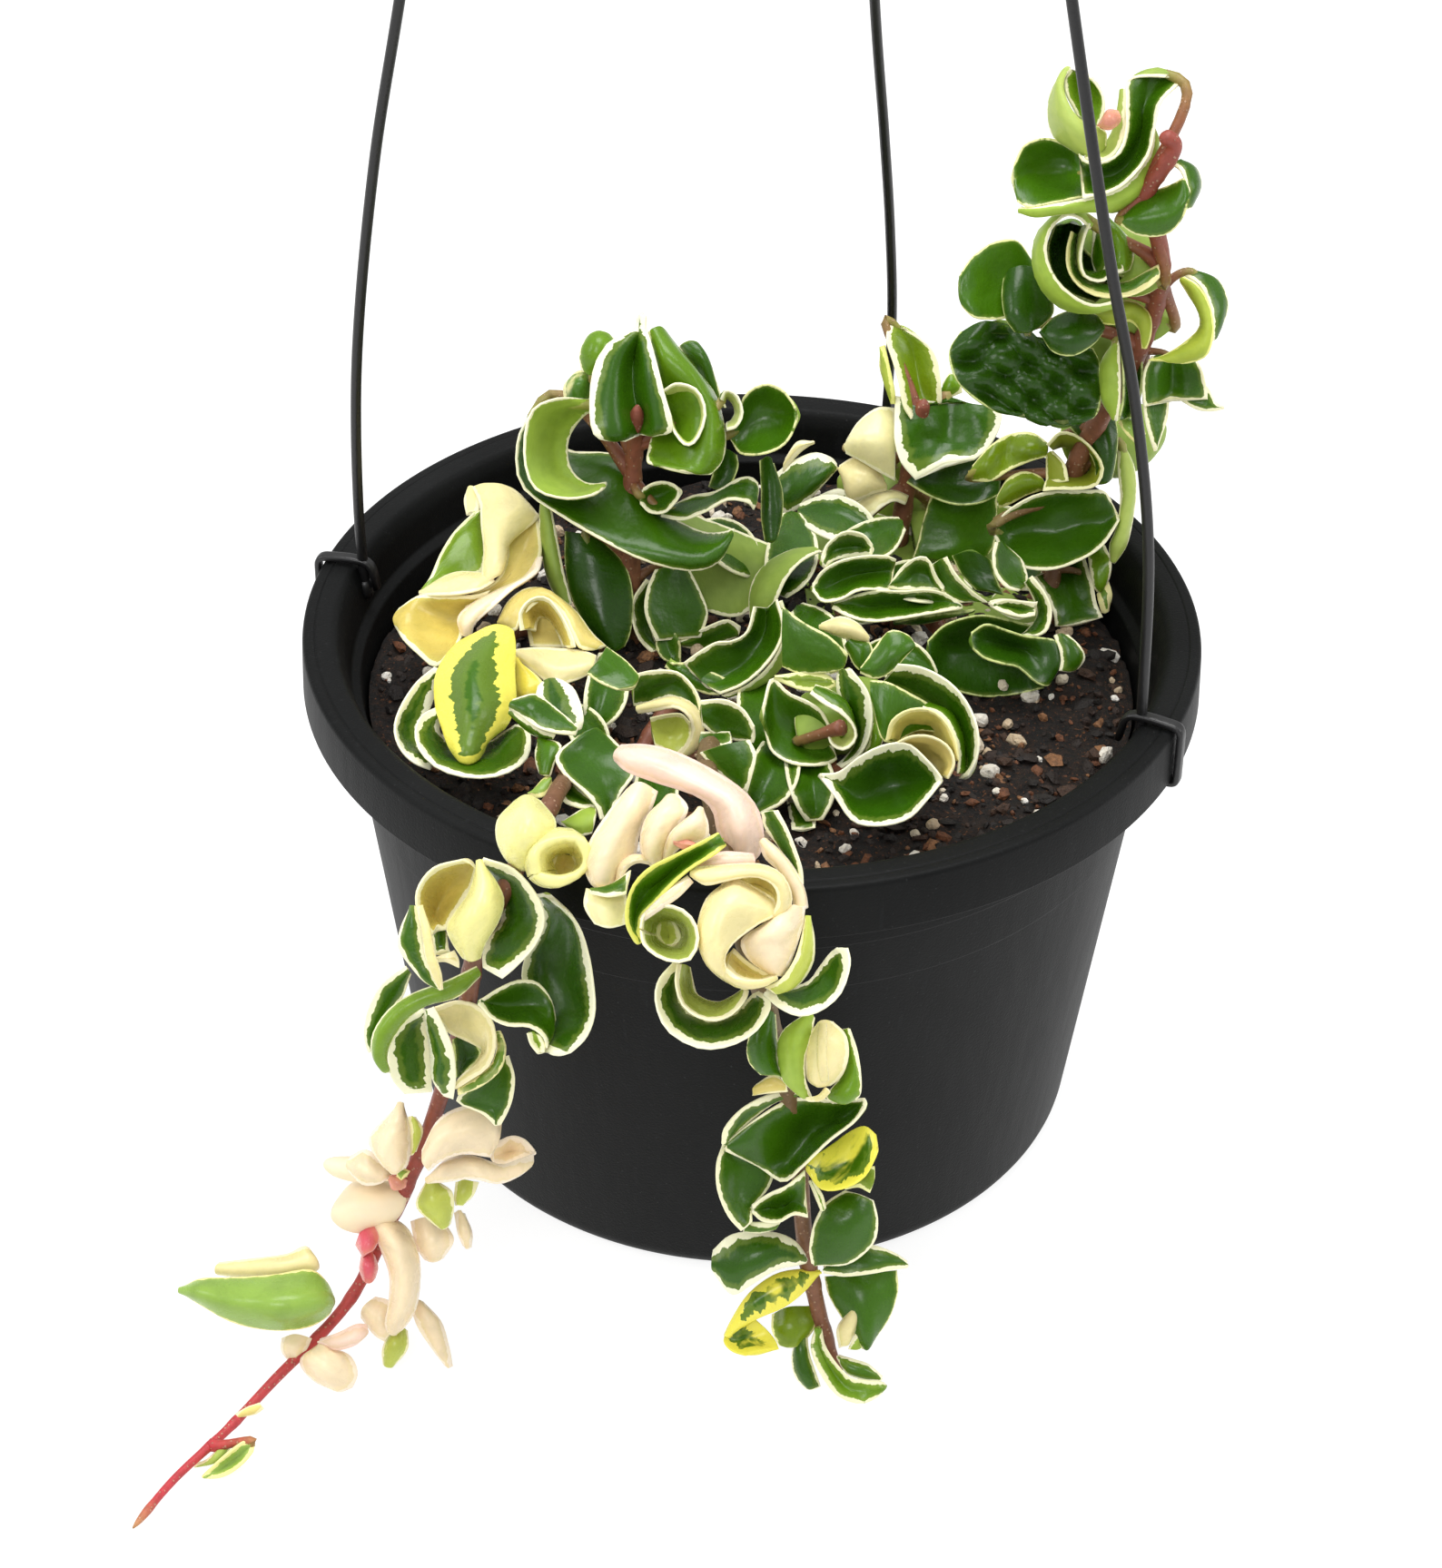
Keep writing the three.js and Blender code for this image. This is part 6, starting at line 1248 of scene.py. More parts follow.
             [(930, 560, -6), (930, 620, -5), (935, 690, -6)],
             [(980, 570, -6), (985, 620, -5), (985, 680, -6)],
             [(1010, 590, -6), (1012, 620, -6), (1010, 660, -6)]]),
    ],
    "stem_mid": [
        (5, 56, 0, "edge", [
            [(1090, 668, 4), (1091, 666, 4), (1092, 664, 4)], [(1105, 675, 5), (1106, 668, 2),
             (1108, 660, 4)],
            [(1125, 680, 5), (1126, 672, 2), (1127, 662, 4)], [(1140, 678, 4), (1141, 672, 3),
             (1141, 663, 4)]]),
        (0, 58, 0, "dark",
            [[(1072, 716, 8), (1070, 706, 7), (1070, 696, 7)],
             [(1085, 726, 8), (1084, 706, 3), (1086, 687, 7)],
             [(1105, 732, 8), (1106, 712, 0), (1106, 693, 6)],
             [(1122, 736, 7), (1126, 716, 0), (1128, 700, 5)],
             [(1140, 752, 6), (1146, 728, 3), (1148, 702, 4)],
             [(1152, 756, 4), (1160, 732, 3), (1160, 704, 3)],
             [(1158, 750, 2), (1166, 730, 2), (1166, 712, 2)]]),
        (1, 48, 0, "dark",
            [[(1028, 742, 2), (1022, 725, 3), (1022, 705, 3)],
             [(1050, 760, 0), (1045, 720, -3), (1042, 687, 2)],
             [(1085, 768, -2), (1080, 720, -6), (1078, 677, 1)],
             [(1120, 765, -2), (1118, 720, -6), (1110, 682, 0)],
             [(1150, 758, 0), (1150, 725, -3), (1140, 690, 0)]]),
        (3, 58, 0, "edge",
            [[(1160, 700, 2), (1168, 699, 2), (1177, 700, 2)],
             [(1166, 715, 3), (1178, 712, 3), (1190, 712, 2)],
             [(1168, 728, 3), (1182, 726, 3), (1195, 725, 1)],
             [(1166, 739, 3), (1177, 740, 2), (1187, 737, 1)]]),
        (8, 42, 0, "edge",
            [[(896, 652, 4), (895, 648, 3), (896, 642, 3)], [(906, 663, 6), (908, 648, 0), (906, 628, 4)],
             [(925, 661, 6), (925, 640, -2), (926, 617, 4)],
             [(945, 651, 5), (950, 632, -3), (952, 612, 3)],
             [(965, 650, 4), (972, 630, -3), (975, 612, 2)],
             [(980, 652, 2), (984, 632, -2), (987, 616, 0)]]),
        (None, 42, 0, "edge",
            [[(908, 626, 4), (906, 620, 4), (905, 612, 4)], [(918, 618, 1), (914, 606, 0), (912, 598, 4)],
             [(932, 614, -1), (932, 600, -2), (930, 585, 4)],
             [(948, 612, -1), (950, 600, -2), (950, 588, 3)],
             [(960, 612, 1), (961, 606, 1), (961, 600, 1)]]),
        (9, 42, 0, "edge",
            [[(917, 670, 4), (917, 668, 3), (920, 664, 2)], [(935, 680, 6), (938, 668, 1), (942, 655, 2)],
             [(960, 685, 7), (964, 668, -1), (968, 650, 4)],
             [(990, 682, 7), (992, 667, -1), (994, 651, 4)],
             [(1020, 677, 6), (1020, 664, 0), (1020, 649, 4)],
             [(1045, 673, 5), (1045, 664, 2), (1042, 654, 3)],
             [(1060, 671, 3), (1060, 669, 3), (1060, 667, 3)]]),
        (None, 42, 0, "dark",
            [[(985, 686, 1), (984, 685, 1), (985, 684, 2)],
             [(1010, 688, 0), (1012, 683, 1), (1014, 678, 3)],
             [(1040, 682, 0), (1042, 678, 1), (1044, 674, 2)],
             [(1075, 672, 0), (1074, 672, 0), (1073, 671, 0)]]),
        (4, 44, 0, "edge",
            [[(978, 648, 0), (979, 647, 0), (980, 645, 0)], [(988, 650, 1), (990, 638, 1), (992, 626, 2)],
             [(1002, 650, 1), (1004, 632, -1), (1006, 615, 3)],
             [(1018, 650, 0), (1020, 632, -1), (1021, 614, 3)],
             [(1030, 650, 0), (1031, 643, 0), (1031, 634, 2)],
             [(1040, 653, 0), (1040, 650, 1), (1040, 647, 1)]]),
        (6, 46, 0, "edge",
            [[(1026, 622, -1), (1034, 617, 0), (1043, 613, 2)],
             [(1030, 640, -2), (1040, 634, -1), (1053, 632, 3)],
             [(1040, 655, -1), (1055, 652, 0), (1070, 650, 3)],
             [(1060, 664, 0), (1075, 662, 1), (1088, 664, 2)]]),
        (None, 46, 0, "dark",
            [[(1048, 612, -3), (1070, 606, -1), (1092, 618, -1)],
             [(1058, 632, -3), (1078, 632, -2), (1098, 638, -1)],
             [(1075, 650, -2), (1090, 652, -1), (1106, 656, 0)]]),
        (5, 52, 0, "edge",
            [[(1090, 665, 3), (1090, 664, 3), (1091, 661, 3)],
             [(1104, 676, 4), (1106, 668, 1), (1108, 660, 4)],
             [(1122, 682, 4), (1124, 674, 1), (1126, 665, 4)],
             [(1140, 674, 3), (1141, 670, 3), (1143, 662, 3)]]),
        (7, 54, 0, "edge",
            [[(1128, 642, 1), (1132, 638, 2), (1137, 634, 3)],
             [(1138, 660, -1), (1145, 655, 1), (1150, 652, 4)],
             [(1142, 680, -2), (1150, 675, 0), (1158, 672, 4)],
             [(1130, 695, -1), (1142, 694, 1), (1154, 693, 4)],
             [(1120, 702, 0), (1130, 702, 2), (1142, 701, 3)]]),
        (2, 54, 0, "edge",
            [[(1096, 598, 2), (1100, 597, 0), (1106, 600, -2)],
             [(1093, 612, 4), (1105, 614, 0), (1125, 616, -3)],
             [(1096, 632, 4), (1110, 630, 0), (1130, 628, -3)],
             [(1108, 647, 4), (1118, 642, 1), (1132, 638, -2)],
             [(1122, 651, 2), (1126, 649, 1), (1130, 647, 0)]]),
    ],
    "stem_tall": [
        (16, 70, 1, "wide", [
            [(722, 480, 4), (714, 478, 4), (705, 474, 0), (696, 480, 2), (688, 486, 4)],
            [(741, 472, 9), (722, 466, 7), (703, 455, 1), (680, 478, 7), (655, 480, 8)],
            [(731, 432, 9), (715, 430, 7), (698, 428, 1), (675, 438, 7), (649, 442, 6)],
            [(723, 400, 8), (711, 400, 6), (697, 402, 1), (677, 402, 6), (654, 404, 4)],
            [(716, 375, 6), (709, 378, 5), (702, 380, 2), (688, 378, 5), (669, 378, 3)],
            [(712, 362, 4), (709, 362, 4), (706, 361, 3), (702, 362, 3), (697, 363, 2)],
            [(712, 348, 4), (710, 346, 4), (707, 344, 3), (704, 346, 3), (702, 349, 3)]]),
        (None, 70, 0, "halfpale", [
            [(714, 366, 2), (719, 363, 2), (725, 362, 1), (731, 365, 0), (737, 371, -1)],
            [(722, 400, 3), (733, 396, 6), (745, 394, 5), (755, 397, 2), (762, 403, -2)],
            [(724, 430, 0), (742, 425, 3), (762, 424, 6), (777, 426, 4), (787, 434, -2)],
            [(722, 460, -2), (745, 455, 0), (768, 454, 5), (788, 458, 5), (797, 468, -1)],
            [(715, 490, -1), (738, 492, 1), (762, 490, 6), (783, 488, 7), (799, 492, 0)],
            [(712, 508, 4), (735, 511, 5), (757, 514, 7), (777, 512, 7), (794, 510, 2)],
            [(722, 512, 5), (738, 517, 7), (757, 521, 8), (770, 523, 7), (782, 523, 5)]]),
        (None, 68, 0, "backcream", [
            [(731, 430, 9), (733, 431, 5), (735, 432, 1)],
            [(746, 422, 10), (748, 428, 5), (752, 436, -1)],
            [(768, 430, 11), (768, 436, 5), (764, 446, -1)],
            [(777, 455, 12), (774, 458, 5), (768, 460, -1)],
            [(768, 483, 12), (770, 480, 5), (762, 474, -1)],
            [(755, 490, 12), (758, 490, 5), (752, 480, -1)],
            [(742, 474, 10), (742, 476, 4), (744, 468, -1)],
            [(732, 448, 9), (733, 450, 4), (736, 446, 0)]]),
        (11, 62, 1, "lightback", [
            [(652, 452, 2), (652, 449, 3), (651, 446, 3), (650, 443, 3), (649, 440, 2)],
            [(640, 462, -2), (630, 455, 0), (622, 448, 4), (616, 443, 6), (612, 439, 8)],
            [(628, 480, -4), (612, 475, -2), (598, 466, 3), (588, 460, 7), (584, 455, 10)],
            [(625, 500, -4), (610, 500, -3), (594, 500, 3), (583, 500, 8), (577, 500, 11)],
            [(630, 518, -4), (617, 524, -3), (603, 530, 3), (594, 534, 8), (588, 537, 11)],
            [(642, 530, -2), (637, 537, -1), (630, 543, 3), (624, 547, 7), (620, 549, 10)],
            [(655, 533, 1), (655, 537, 2), (654, 540, 4), (652, 544, 6), (650, 546, 8)],
            [(668, 531, 4), (668, 532, 4), (668, 534, 4), (667, 536, 4), (666, 538, 4)]]),
        (10, 56, 1, "edge", [
            [(588, 450, -2), (592, 446, -3), (597, 442, -3), (602, 438, -4), (606, 436, -4)],
            [(570, 486, 3), (573, 482, 1), (577, 478, -2), (582, 474, -5), (590, 470, -6)],
            [(574, 534, 4), (580, 530, 2), (592, 522, -2), (608, 510, -6), (628, 496, -8)],
            [(614, 566, 6), (632, 560, 4), (655, 540, 0), (674, 520, -3), (690, 502, -6)],
            [(668, 598, 7), (680, 590, 6), (692, 575, 3), (702, 560, 0), (712, 545, -4)],
            [(716, 620, 8), (722, 610, 8), (728, 598, 6), (737, 584, 2), (745, 572, -2)],
            [(764, 629, 7), (767, 618, 8), (768, 607, 6), (770, 595, 3), (775, 586, -1)],
            [(792, 618, 6), (794, 610, 7), (795, 602, 7), (795, 594, 5), (795, 586, 2)],
            [(805, 593, 4), (806, 590, 4), (807, 587, 4), (808, 584, 4), (809, 582, 4)]]),
        (12, 64, 1, "green", [
            [(806, 486, 0), (806, 482, 0), (806, 478, 0), (808, 474, 0), (810, 470, 0)],
            [(816, 500, 4), (820, 488, 0), (822, 470, -2), (822, 452, 0), (820, 436, 4)],
            [(838, 501, 6), (840, 485, 1), (842, 462, -2), (842, 440, 0), (841, 423, 5)],
            [(858, 494, 6), (860, 480, 2), (862, 460, 0), (861, 442, 2), (858, 427, 5)],
            [(870, 482, 6), (872, 470, 4), (875, 458, 3), (873, 446, 4), (869, 438, 5)],
            [(877, 464, 5), (878, 461, 5), (878, 458, 5), (878, 455, 5), (877, 452, 5)]]),
        (13, 64, 1, "backcream", [
            [(794, 440, 8), (795, 441, 5), (796, 442, 2)],
            [(800, 430, 9), (799, 434, 4), (800, 438, -1)],
            [(812, 436, 9), (809, 440, 4), (807, 444, -1)],
            [(818, 455, 9), (813, 455, 4), (810, 456, -1)],
            [(811, 470, 9), (808, 466, 4), (806, 463, -1)],
            [(800, 474, 8), (799, 470, 4), (800, 466, 1)]]),
        (14, 70, 1, "pale", [
            [(668, 412, 0), (660, 412, 0), (652, 412, 0), (646, 410, 0), (640, 408, 0)],
            [(676, 395, 0), (667, 395, 2), (656, 395, 3), (646, 394, 2), (638, 392, 0)],
            [(680, 380, -1), (670, 378, 2), (658, 378, 3), (648, 379, 2), (641, 381, 0)],
            [(672, 369, -1), (667, 367, 0), (659, 366, 0), (652, 368, 0), (647, 371, -1)]]),
        (None, 66, 0, "creamedge", [
            [(655, 440, -2), (645, 440, -1), (636, 440, 0), (628, 440, -1), (621, 438, -2)],
            [(656, 425, -2), (647, 424, 1), (638, 423, 2), (629, 423, 1), (621, 425, -2)],
            [(655, 412, -3), (650, 410, -1), (643, 409, 0), (635, 411, -1), (629, 415, -2)]]),
        (15, 70, 1, "edge", [
            [(800, 450, -8), (792, 446, -8), (785, 440, -8), (778, 434, -8), (772, 428, -8)],
            [(790, 425, -7), (784, 418, -6), (778, 412, -6), (770, 406, -7), (760, 402, -8)],
            [(782, 400, -7), (777, 394, -5), (770, 390, -5), (760, 388, -6), (750, 388, -8)],
            [(770, 379, -8), (766, 377, -7), (760, 376, -7), (752, 378, -7), (747, 382, -8)]]),
        (18, 54, 1, "edge", [
            [(706, 556, 4), (705, 551, 4), (705, 546, 4), (707, 541, 4), (710, 537, 4)],
            [(716, 565, 6), (716, 556, 2), (716, 548, 1), (717, 540, 2), (719, 532, 5)],
            [(732, 565, 8), (731, 556, 3), (730, 548, 1), (730, 540, 2), (730, 530, 5)],
            [(744, 553, 9), (744, 548, 6), (744, 543, 4), (743, 538, 4), (741, 533, 5)],
            [(749, 545, 8), (749, 543, 7), (749, 542, 6), (748, 540, 6), (747, 538, 6)]]),
        (7, 54, 1, "edge", [
            [(728, 569, 3), (730, 566, 3), (734, 563, 2), (738, 560, 1), (742, 557, 0)],
            [(752, 573, 6), (754, 567, 4), (757, 560, 2), (760, 553, 1), (762, 546, 1)],
            [(778, 563, 8), (780, 558, 5), (783, 552, 3), (786, 546, 2), (789, 541, 3)],
            [(800, 551, 8), (803, 546, 5), (805, 540, 3), (808, 534, 2), (811, 528, 3)],
            [(822, 554, 6), (824, 547, 5), (826, 540, 4), (827, 533, 4), (826, 525, 4)],
            [(830, 562, 4), (833, 555, 4), (835, 547, 4), (836, 540, 4), (835, 532, 4)]]),
        (2, 28, 1, "edge",
            [[(721, 628, 3), (740, 624, 1), (760, 628, 0)], [(712, 650, 5), (740, 650, 2), (772, 652, 0)],
             [(710, 675, 6), (742, 676, 2), (780, 676, 0)], [(722, 706, 5), (745, 704, 2), (772, 702, 0)]]),
        (3, 28, 0, "edge",
            [[(711, 638, 2), (716, 640, 1), (720, 644, 0)], [(697, 660, 4), (706, 662, 0), (716, 664, -2)],
             [(696, 682, 4), (706, 684, 0), (716, 686, -2)],
             [(703, 703, 4), (712, 704, 1), (720, 704, -1)], [(717, 719, 3), (722, 718, 2),
              (728, 716, 1)]]),
        (6, 30, 0, "edge",
            [[(826, 680, 0), (835, 684, 3), (845, 683, 5)], [(825, 660, 0), (838, 662, 5), (856, 660, 8)],
             [(830, 638, 0), (846, 640, 5), (866, 638, 9)], [(846, 619, 0), (860, 620, 5), (880, 621, 9)],
             [(872, 606, 0), (880, 608, 4), (896, 611, 7)], [(896, 603, 1), (900, 605, 3), (906, 608, 4)]]),
        (4, 20, 0, "edge",
            [[(750, 712, 3), (749, 708, 4), (748, 704, 4)], [(772, 716, 1), (774, 704, 2), (776, 691, 4)],
             [(795, 708, 1), (798, 696, 2), (800, 682, 4)], [(812, 702, 1), (815, 696, 2), (816, 690, 3)]]),
        (5, 20, 0, "green",
            [[(732, 690, 5), (734, 688, 5), (737, 688, 5)], [(722, 708, 6), (734, 706, 5), (748, 704, 7)],
             [(728, 724, 6), (738, 722, 5), (750, 714, 6)], [(744, 732, 5), (747, 731, 5), (750, 729, 5)]]),
        (8, 56, 0, "dark",
            [[(790, 500, 0), (800, 496, 0), (812, 502, 0)], [(785, 520, 1), (800, 518, 1), (813, 515, 1)],
             [(780, 536, 1), (792, 540, 1), (805, 535, 1)]]),
        (9, 50, 0, "dark",
            [[(836, 508, -2), (846, 504, -2), (852, 512, -2)],
             [(838, 540, -1), (850, 540, 0), (862, 542, -2)],
             [(838, 570, -1), (850, 572, 0), (861, 572, -2)],
             [(842, 596, -1), (850, 598, 0), (856, 592, -1)]]),
        (1, 34, 1, "edge",
            [[(604, 546, 3), (600, 545, 2), (596, 545, 0)], [(610, 575, 4), (602, 575, 4), (594, 575, 0)],
             [(616, 605, 4), (605, 606, 4), (596, 606, 0)], [(622, 635, 4), (612, 638, 4), (603, 638, 0)],
             [(630, 665, 3), (624, 668, 3), (616, 665, 1)]]),
        (0, 34, 1, "dark",
            [[(622, 585, 0), (645, 590, 1), (668, 600, 1)], [(622, 620, 1), (652, 620, 3), (690, 625, 1)],
             [(628, 655, 1), (660, 655, 3), (698, 660, 1)], [(645, 690, 1), (668, 692, 3), (695, 695, 1)],
             [(670, 718, 1), (678, 718, 2), (688, 712, 1)]]),
        (17, 34, 0, "edge",
            [[(690, 560, -7), (720, 600, -6), (730, 650, -6)],
             [(740, 560, -7), (760, 610, -5), (770, 670, -6)],
             [(800, 580, -7), (810, 620, -5), (810, 680, -6)],
             [(850, 600, -7), (850, 630, -6), (840, 660, -6)]]),
    ],
    "stem_centre": [
        (9, 22, 0, "edge",
            [[(830, 668, 4), (838, 672, 1), (846, 676, 0), (852, 668, 3), (856, 660, 6)],
             [(822, 696, 5), (834, 694, 0), (846, 694, -1), (856, 692, 4), (863, 688, 8)],
             [(805, 706, 5), (822, 712, 0), (838, 716, -1), (850, 716, 4), (858, 710, 8)],
             [(788, 707, 5), (802, 724, 1), (818, 734, 0), (832, 736, 4), (843, 733, 8)],
             [(768, 718, 5), (780, 738, 2), (795, 748, 1), (808, 752, 4), (820, 753, 7)],
             [(752, 730, 4), (762, 742, 3), (772, 754, 2), (784, 760, 4), (793, 765, 5)]]),
        (None, 22, 0, "edge",
            [[(858, 662, 6), (858, 662, 5), (857, 663, 4)], [(866, 690, 3), (866, 690, 4), (864, 690, 7)],
             [(867, 715, 2), (862, 716, 4), (858, 714, 7)], [(860, 735, 2), (852, 738, 4), (845, 735, 7)],
             [(838, 752, 2), (830, 756, 4), (822, 755, 6)], [(800, 766, 3), (797, 767, 4), (794, 766, 4)]]),
        (None, 22, 0, "green",
            [[(732, 735, 2), (736, 728, 2), (742, 732, 3)], [(752, 752, 2), (756, 742, 2), (760, 730, 2)],
             [(775, 764, 2), (780, 752, 2), (785, 740, 2)], [(792, 766, 3), (800, 758, 2), (806, 750, 2)]]),
        (0, 40, 0, "edge",
            [[(698, 778, 2), (697, 760, 3), (700, 742, 4)], [(715, 775, 1), (716, 756, 2), (720, 738, 5)],
             [(738, 768, 2), (742, 752, 2), (746, 740, 6)], [(756, 778, 4), (762, 766, 4), (764, 757, 7)],
             [(768, 796, 5), (772, 788, 6), (774, 780, 7)]]),
        (1, 40, 0, "cream",
            [[(703, 786, 7), (702, 781, 7), (704, 777, 6)], [(722, 783, 9), (722, 776, 9), (722, 771, 6)],
             [(744, 780, 10), (744, 773, 9), (745, 767, 6)],
             [(758, 790, 10), (763, 784, 9), (766, 778, 6)], [(762, 806, 8), (770, 806, 8), (775, 800, 5)],
             [(754, 822, 6), (762, 824, 6), (770, 818, 4)], [(742, 832, 4), (750, 833, 4), (758, 830, 3)]]),
        (None, 40, 0, "yellowgreen",
            [[(722, 822, 0), (718, 806, -1), (716, 790, 1)],
             [(738, 832, 0), (736, 808, -2), (736, 786, 2)],
             [(752, 828, 1), (752, 806, -1), (750, 786, 3)], [(762, 812, 2), (762, 804, 1),
              (760, 796, 3)]]),
        (2, 50, 0, "wide",
            [[(592, 757, 2), (605, 748, 3), (620, 750, 3)], [(590, 770, 3), (610, 765, 2), (632, 758, 4)],
             [(598, 785, 3), (615, 785, 1), (640, 775, 5)], [(610, 798, 3), (625, 798, 2), (643, 792, 5)],
             [(622, 807, 2), (632, 807, 2), (640, 803, 3)]], "centre"),
        (3, 50, 0, "edge",
            [[(562, 782, 3), (563, 776, 4), (566, 770, 4)], [(575, 790, 5), (582, 778, 6), (590, 764, 4)],
             [(592, 802, 6), (600, 788, 5), (606, 775, 3)], [(612, 808, 5), (618, 798, 4), (622, 788, 3)],
             [(634, 810, 3), (636, 806, 3), (638, 800, 3)]], "centre"),
        (4, 50, 0, "lightback",
            [[(565, 789, 0), (563, 784, 2), (562, 780, 3)], [(578, 803, 0), (577, 797, 3), (576, 790, 5)],
             [(593, 812, 0), (594, 808, 3), (594, 803, 5)], [(608, 813, 1), (611, 811, 3),
              (612, 809, 4)]], "centre"),
        (8, 50, 0, "lightback",
            [[(592, 820, 0), (595, 815, 1), (600, 814, 1)], [(589, 828, 0), (604, 826, 3), (618, 820, 3)],
             [(590, 840, 0), (602, 840, 3), (612, 836, 3)], [(594, 852, 0), (600, 855, 2),
              (606, 855, 2)]], "centre"),
        (6, 50, 0, "edge",
            [[(636, 812, 2), (655, 802, 1), (672, 812, 0)], [(612, 832, 5), (645, 828, 0), (688, 828, -2)],
             [(620, 852, 5), (655, 850, 0), (700, 850, -2)],
             [(640, 870, 4), (664, 872, 0), (685, 872, -1)],
             [(656, 888, 3), (666, 890, 0), (675, 890, -1)], [(661, 902, 2), (664, 905, 0),
              (666, 905, 0)]], "centre"),
        (5, 50, 0, "green",
            [[(646, 742, 2), (660, 728, 3), (668, 712, 2)], [(660, 752, 2), (680, 745, 1), (690, 728, 0)],
             [(680, 760, 2), (698, 758, 1), (705, 745, 0)]], "centre"),
        (7, 50, 0, "edge",
            [[(612, 868, 1), (612, 864, 1), (615, 861, 0)], [(622, 884, 2), (626, 875, 0), (632, 864, 0)],
             [(640, 890, 2), (645, 885, 0), (648, 876, 0)], [(654, 890, 1), (656, 888, 1),
              (657, 885, 0)]], "centre"),
        (None, 50, 0, "lightback",
            [[(620, 905, 1), (619, 907, 1), (618, 908, 1)], [(643, 890, 1), (640, 905, 3), (640, 920, 2)],
             [(657, 888, 1), (656, 903, 3), (652, 918, 2)]], "centre"),
        (None, 50, 0, "lime",
            [[(582, 878, 1), (583, 876, 1), (585, 874, 1)], [(598, 878, 2), (597, 868, 2), (598, 858, 1)],
             [(608, 862, 1), (607, 858, 1), (606, 854, 1)]], "centre"),
    ],
    "trail_front": [
        (33, 40, 0, "edge",
            [[(774, 800, 2), (772, 785, 3), (772, 771, 4)], [(792, 812, 0), (794, 790, 1), (798, 770, 4)],
             [(812, 816, 0), (814, 800, 1), (818, 780, 4)], [(830, 818, 3), (831, 812, 3), (831, 800, 4)]]),
        (34, 40, 0, "edge",
            [[(772, 832, 3), (770, 818, 1), (772, 806, 0)], [(790, 826, 4), (788, 814, 1), (788, 806, 0)],
             [(806, 820, 4), (806, 812, 2), (804, 806, 1)]]),
        (0, 80, 0, "pink",
            [[(677, 838, 2), (679, 830, 3), (685, 820, 1)], [(690, 850, 6), (700, 835, 7), (712, 820, 3)],
             [(722, 862, 8), (732, 845, 9), (745, 828, 4)], [(765, 876, 9), (775, 862, 10), (785, 848, 4)],
             [(784, 892, 9), (805, 882, 11), (818, 870, 4)],
             [(790, 918, 8), (812, 905, 12), (835, 892, 5)],
             [(797, 934, 6), (818, 928, 11), (841, 918, 5)], [(803, 948, 3), (818, 945, 7), (838, 938, 4)],
             [(814, 952, 1), (820, 952, 3), (828, 950, 2)]]),
        (2, 90, 0, "peach",
            [[(690, 870, 0), (705, 864, 1), (725, 872, 0)], [(672, 892, 2), (695, 888, 5), (718, 890, 1)],
             [(652, 922, 3), (678, 918, 7), (705, 915, 2)], [(643, 948, 3), (668, 945, 8), (700, 940, 2)],
             [(650, 972, 2), (665, 970, 6), (685, 962, 2)], [(665, 982, 0), (672, 981, 2), (681, 978, 1)]]),
        (3, 100, 0, "creamgreen",
            [[(645, 978, -3), (668, 986, -2), (690, 986, -3)],
             [(643, 998, -2), (666, 1000, 0), (692, 1004, -2)],
             [(655, 1018, -2), (672, 1022, -1), (690, 1018, -2)]]),
        (7, 95, 0, "edge",
            [[(650, 984, 3), (651, 982, 3), (653, 980, 2)], [(670, 988, 5), (672, 980, 4), (676, 972, 2)],
             [(690, 985, 5), (692, 972, 4), (695, 958, 2)]]),
        (None, 92, 0, "peach",
            [[(683, 975, 3), (681, 972, 3), (680, 968, 2)], [(690, 958, 4), (686, 954, 4), (683, 950, 2)],
             [(702, 950, 4), (700, 946, 4), (697, 941, 2)], [(716, 952, 3), (716, 948, 3), (714, 943, 2)]]),
        (4, 90, 0, "peach",
            [[(728, 884, 2), (738, 878, 3), (748, 876, 2)], [(712, 900, 4), (732, 893, 8), (758, 890, 5)],
             [(705, 925, 5), (722, 915, 9), (750, 908, 6)], [(709, 946, 4), (720, 935, 8), (736, 925, 5)],
             [(718, 955, 2), (724, 950, 4), (730, 944, 3)]]),
        (5, 90, 0, "peach",
            [[(768, 894, 6), (771, 892, 7), (775, 894, 6)], [(752, 905, 8), (764, 903, 11), (780, 908, 8)],
             [(738, 918, 8), (754, 916, 11), (778, 924, 8)], [(731, 935, 6), (742, 930, 8), (752, 932, 7)],
             [(730, 949, 4), (733, 947, 5), (740, 942, 5)]]),
        (None, 90, 0, "rosebud",
            [[(742, 930, 9), (743, 928, 9), (745, 926, 9)],
             [(752, 936, 10), (754, 930, 10), (757, 925, 10)],
             [(764, 934, 10), (765, 931, 10), (766, 928, 10)]]),
        (6, 96, 0, "limeedge",
            [[(790, 917, 8), (796, 924, 9), (799, 932, 8)],
             [(768, 929, 10), (776, 936, 7), (786, 942, 10)],
             [(742, 942, 11), (752, 950, 6), (762, 956, 10)],
             [(716, 955, 11), (728, 968, 5), (741, 974, 10)],
             [(699, 972, 11), (710, 984, 5), (724, 993, 9)],
             [(690, 995, 10), (700, 1002, 5), (708, 1008, 8)],
             [(690, 1020, 9), (697, 1022, 6), (705, 1024, 7)],
             [(702, 1040, 7), (704, 1040, 6), (707, 1038, 6)]]),
        (None, 100, 0, "peach",
            [[(708, 1016, 6), (707, 1012, 6), (707, 1008, 6)],
             [(728, 1002, 8), (724, 998, 8), (721, 994, 7)], [(748, 988, 8), (744, 982, 8), (740, 976, 7)],
             [(764, 972, 6), (760, 968, 6), (757, 964, 6)]]),
        (8, 106, 0, "palering",
            [[(722, 1030, -4), (712, 1026, 1), (705, 1022, 6)],
